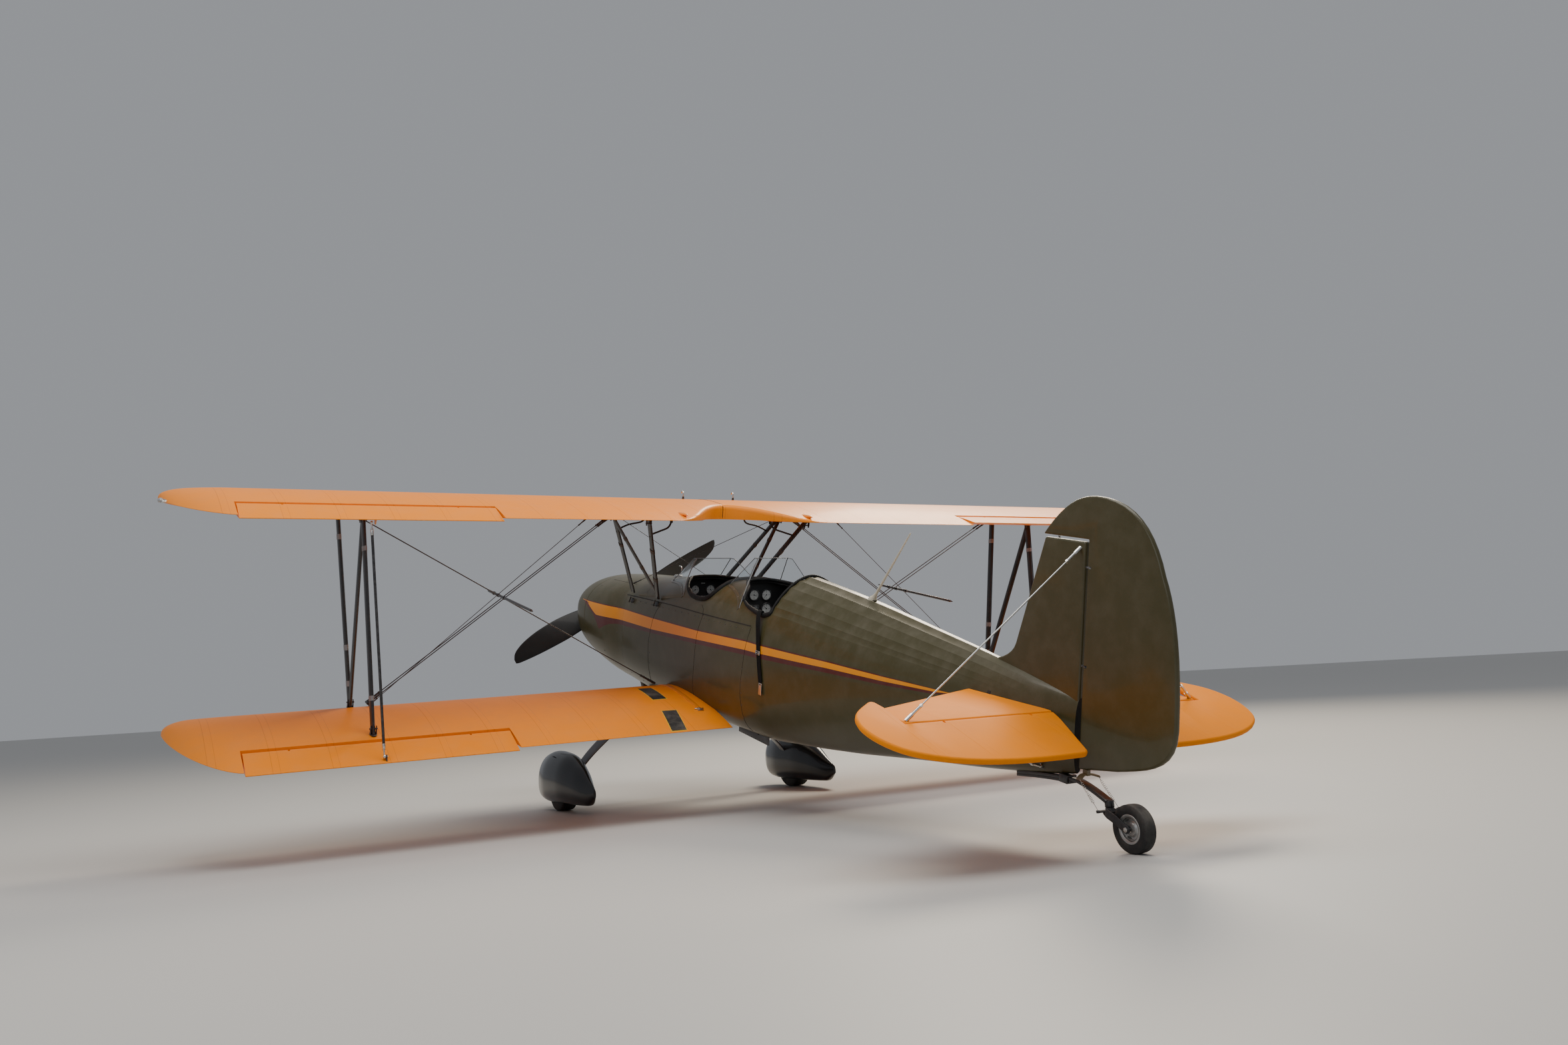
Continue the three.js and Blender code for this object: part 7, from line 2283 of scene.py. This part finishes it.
PADS = [[(0.652, 1.006), (0.557, 1.01), (0.569, 1.303), (0.666, 1.304)],
        [(0.692, 1.513), (0.593, 1.517), (0.645, 1.8), (0.745, 1.8)]]
borders = [laid_sheet("border", pad, 0.007, 0.0002, 0.001) for pad in PADS]
pads = [laid_sheet("pad", pad, 0.0, 0.0008, 0.002) for pad in PADS]
paired(joined("walk_pad_borders_left", *borders), border_yellow)
paired(joined("walk_pads_left", *pads), walk_black)

strip_plan = flowing([(0.392, 0.8), (0.404, 0.9), (0.418, 1.1), (0.428, 1.35), (0.432, 1.555)], 10)
strip_line = wing_top("lower", strip_plan[:, 0], strip_plan[:, 1])
root_strip = swept("root_strip_left", strip_line + np.array((0, 0, 0.0012)), strip_section(0.034, 0.0034),
                   up=(0, 0, 1))
paired(bevelled(root_strip, 0.0012, 2), bracket_orange)
latch_at = Vector(strip_line[-1])
latch = [block("plate", (-0.02, -0.055, 0.001), (0.02, 0.006, 0.0055)),
         rod("bolt", (-0.03, -0.024, 0.008), (0.034, -0.024, 0.008), 0.0042, 14),
         block("catch", (-0.006, -0.04, 0.004), (0.006, -0.008, 0.013))]
latch = moved(joined("root_latch_left", *latch), Matrix.Translation(latch_at))
paired(bevelled(latch, 0.001, 2), bright_metal)

vents, sockets = [], []
for x in (0.14, -0.27):
    foot = Vector(wing_top("upper", abs(x), 0.46 + abs(x) * slope(WINGS["upper"]["sweep"])))
    foot.x = x
    rises = [(0, 0, -0.004), (0, 0, 0.034), (0, -0.003, 0.048), (0, -0.014, 0.057), (0, -0.026, 0.054),
             (0, -0.031, 0.043)]
    vents.append(swept("tube", flowing([foot + Vector(r) for r in rises], 6), round_section(0.0048, 14),
                       up=(1, 0, 0)))
    sockets.append(rod("socket", foot - UP * 0.003, foot + UP * 0.02, 0.0092, 20, 0.007))
settle(smooth(joined("tank_vent_tubes", *vents), 40), bright_metal)
settle(smooth(joined("tank_vent_sockets", *sockets), 40), hose_rubber)

rear_share = 1 - CUTOUT_DEPTH / CHORD
joint_share = np.linspace(0.03, rear_share - 0.03, 34)
joint_top = wing_axis(WINGS["upper"], 0.0, joint_share, section_height(joint_share, 1) * CHORD + 0.0008)
down_face = [wing_axis(WINGS["upper"], 0.0, rear_share + push, float(h) * CHORD)
             for push, h in ((-0.002, section_height(rear_share, 1) - 0.01),
                             (0.0008, section_height(rear_share, 1) - 0.028),
                             (0.0008, section_height(rear_share, -1) + 0.012))]
joint_path = np.vstack([joint_top, *[np.reshape(p, (1, 3)) for p in down_face]])
joint_up = np.cross((1, 0, 0), np.gradient(joint_path, axis=0))
settle(swept("wing_joint_line", joint_path, strip_section(0.0046, 0.0012), up=joint_up), seam_brown)


def egg(name, centre, half_size):
    """A sphere drawn out to half_size each way"""
    deselect()
    bpy.ops.mesh.primitive_uv_sphere_add(segments=28, ring_count=16, radius=1)
    there = Matrix.Translation(Vector(centre)) @ Matrix.Diagonal((*half_size, 1))
    return smooth(moved(named(name), there), 60)


fairing_at = wing_top("upper", 0.49, 1.225)
paired(egg("cable_fairing_left", fairing_at, (0.02, 0.085, 0.012)), bracket_orange)
tip_at = Vector(wing_axis(WINGS["upper"], 3.632, 0.5, 0.02))
paired(egg("tip_lamp_left", tip_at + Vector((0.022, 0, 0.002)), (0.016, 0.034, 0.014)), lamp_glass)
paired(egg("tip_lamp_base_left", tip_at + Vector((0.008, 0, -0.002)), (0.02, 0.044, 0.011)), bright_metal)
print("small wing parts done")

# %% [markdown]
# ## Size
# The box of the dressed machine is kept beside the box of the bare model.

# %% Size
visual_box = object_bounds()
sizes = {name: [[float(v) for v in corner] for corner in box]
         for name, box in (("cad", cad_box), ("visual", visual_box))}
print(sizes)
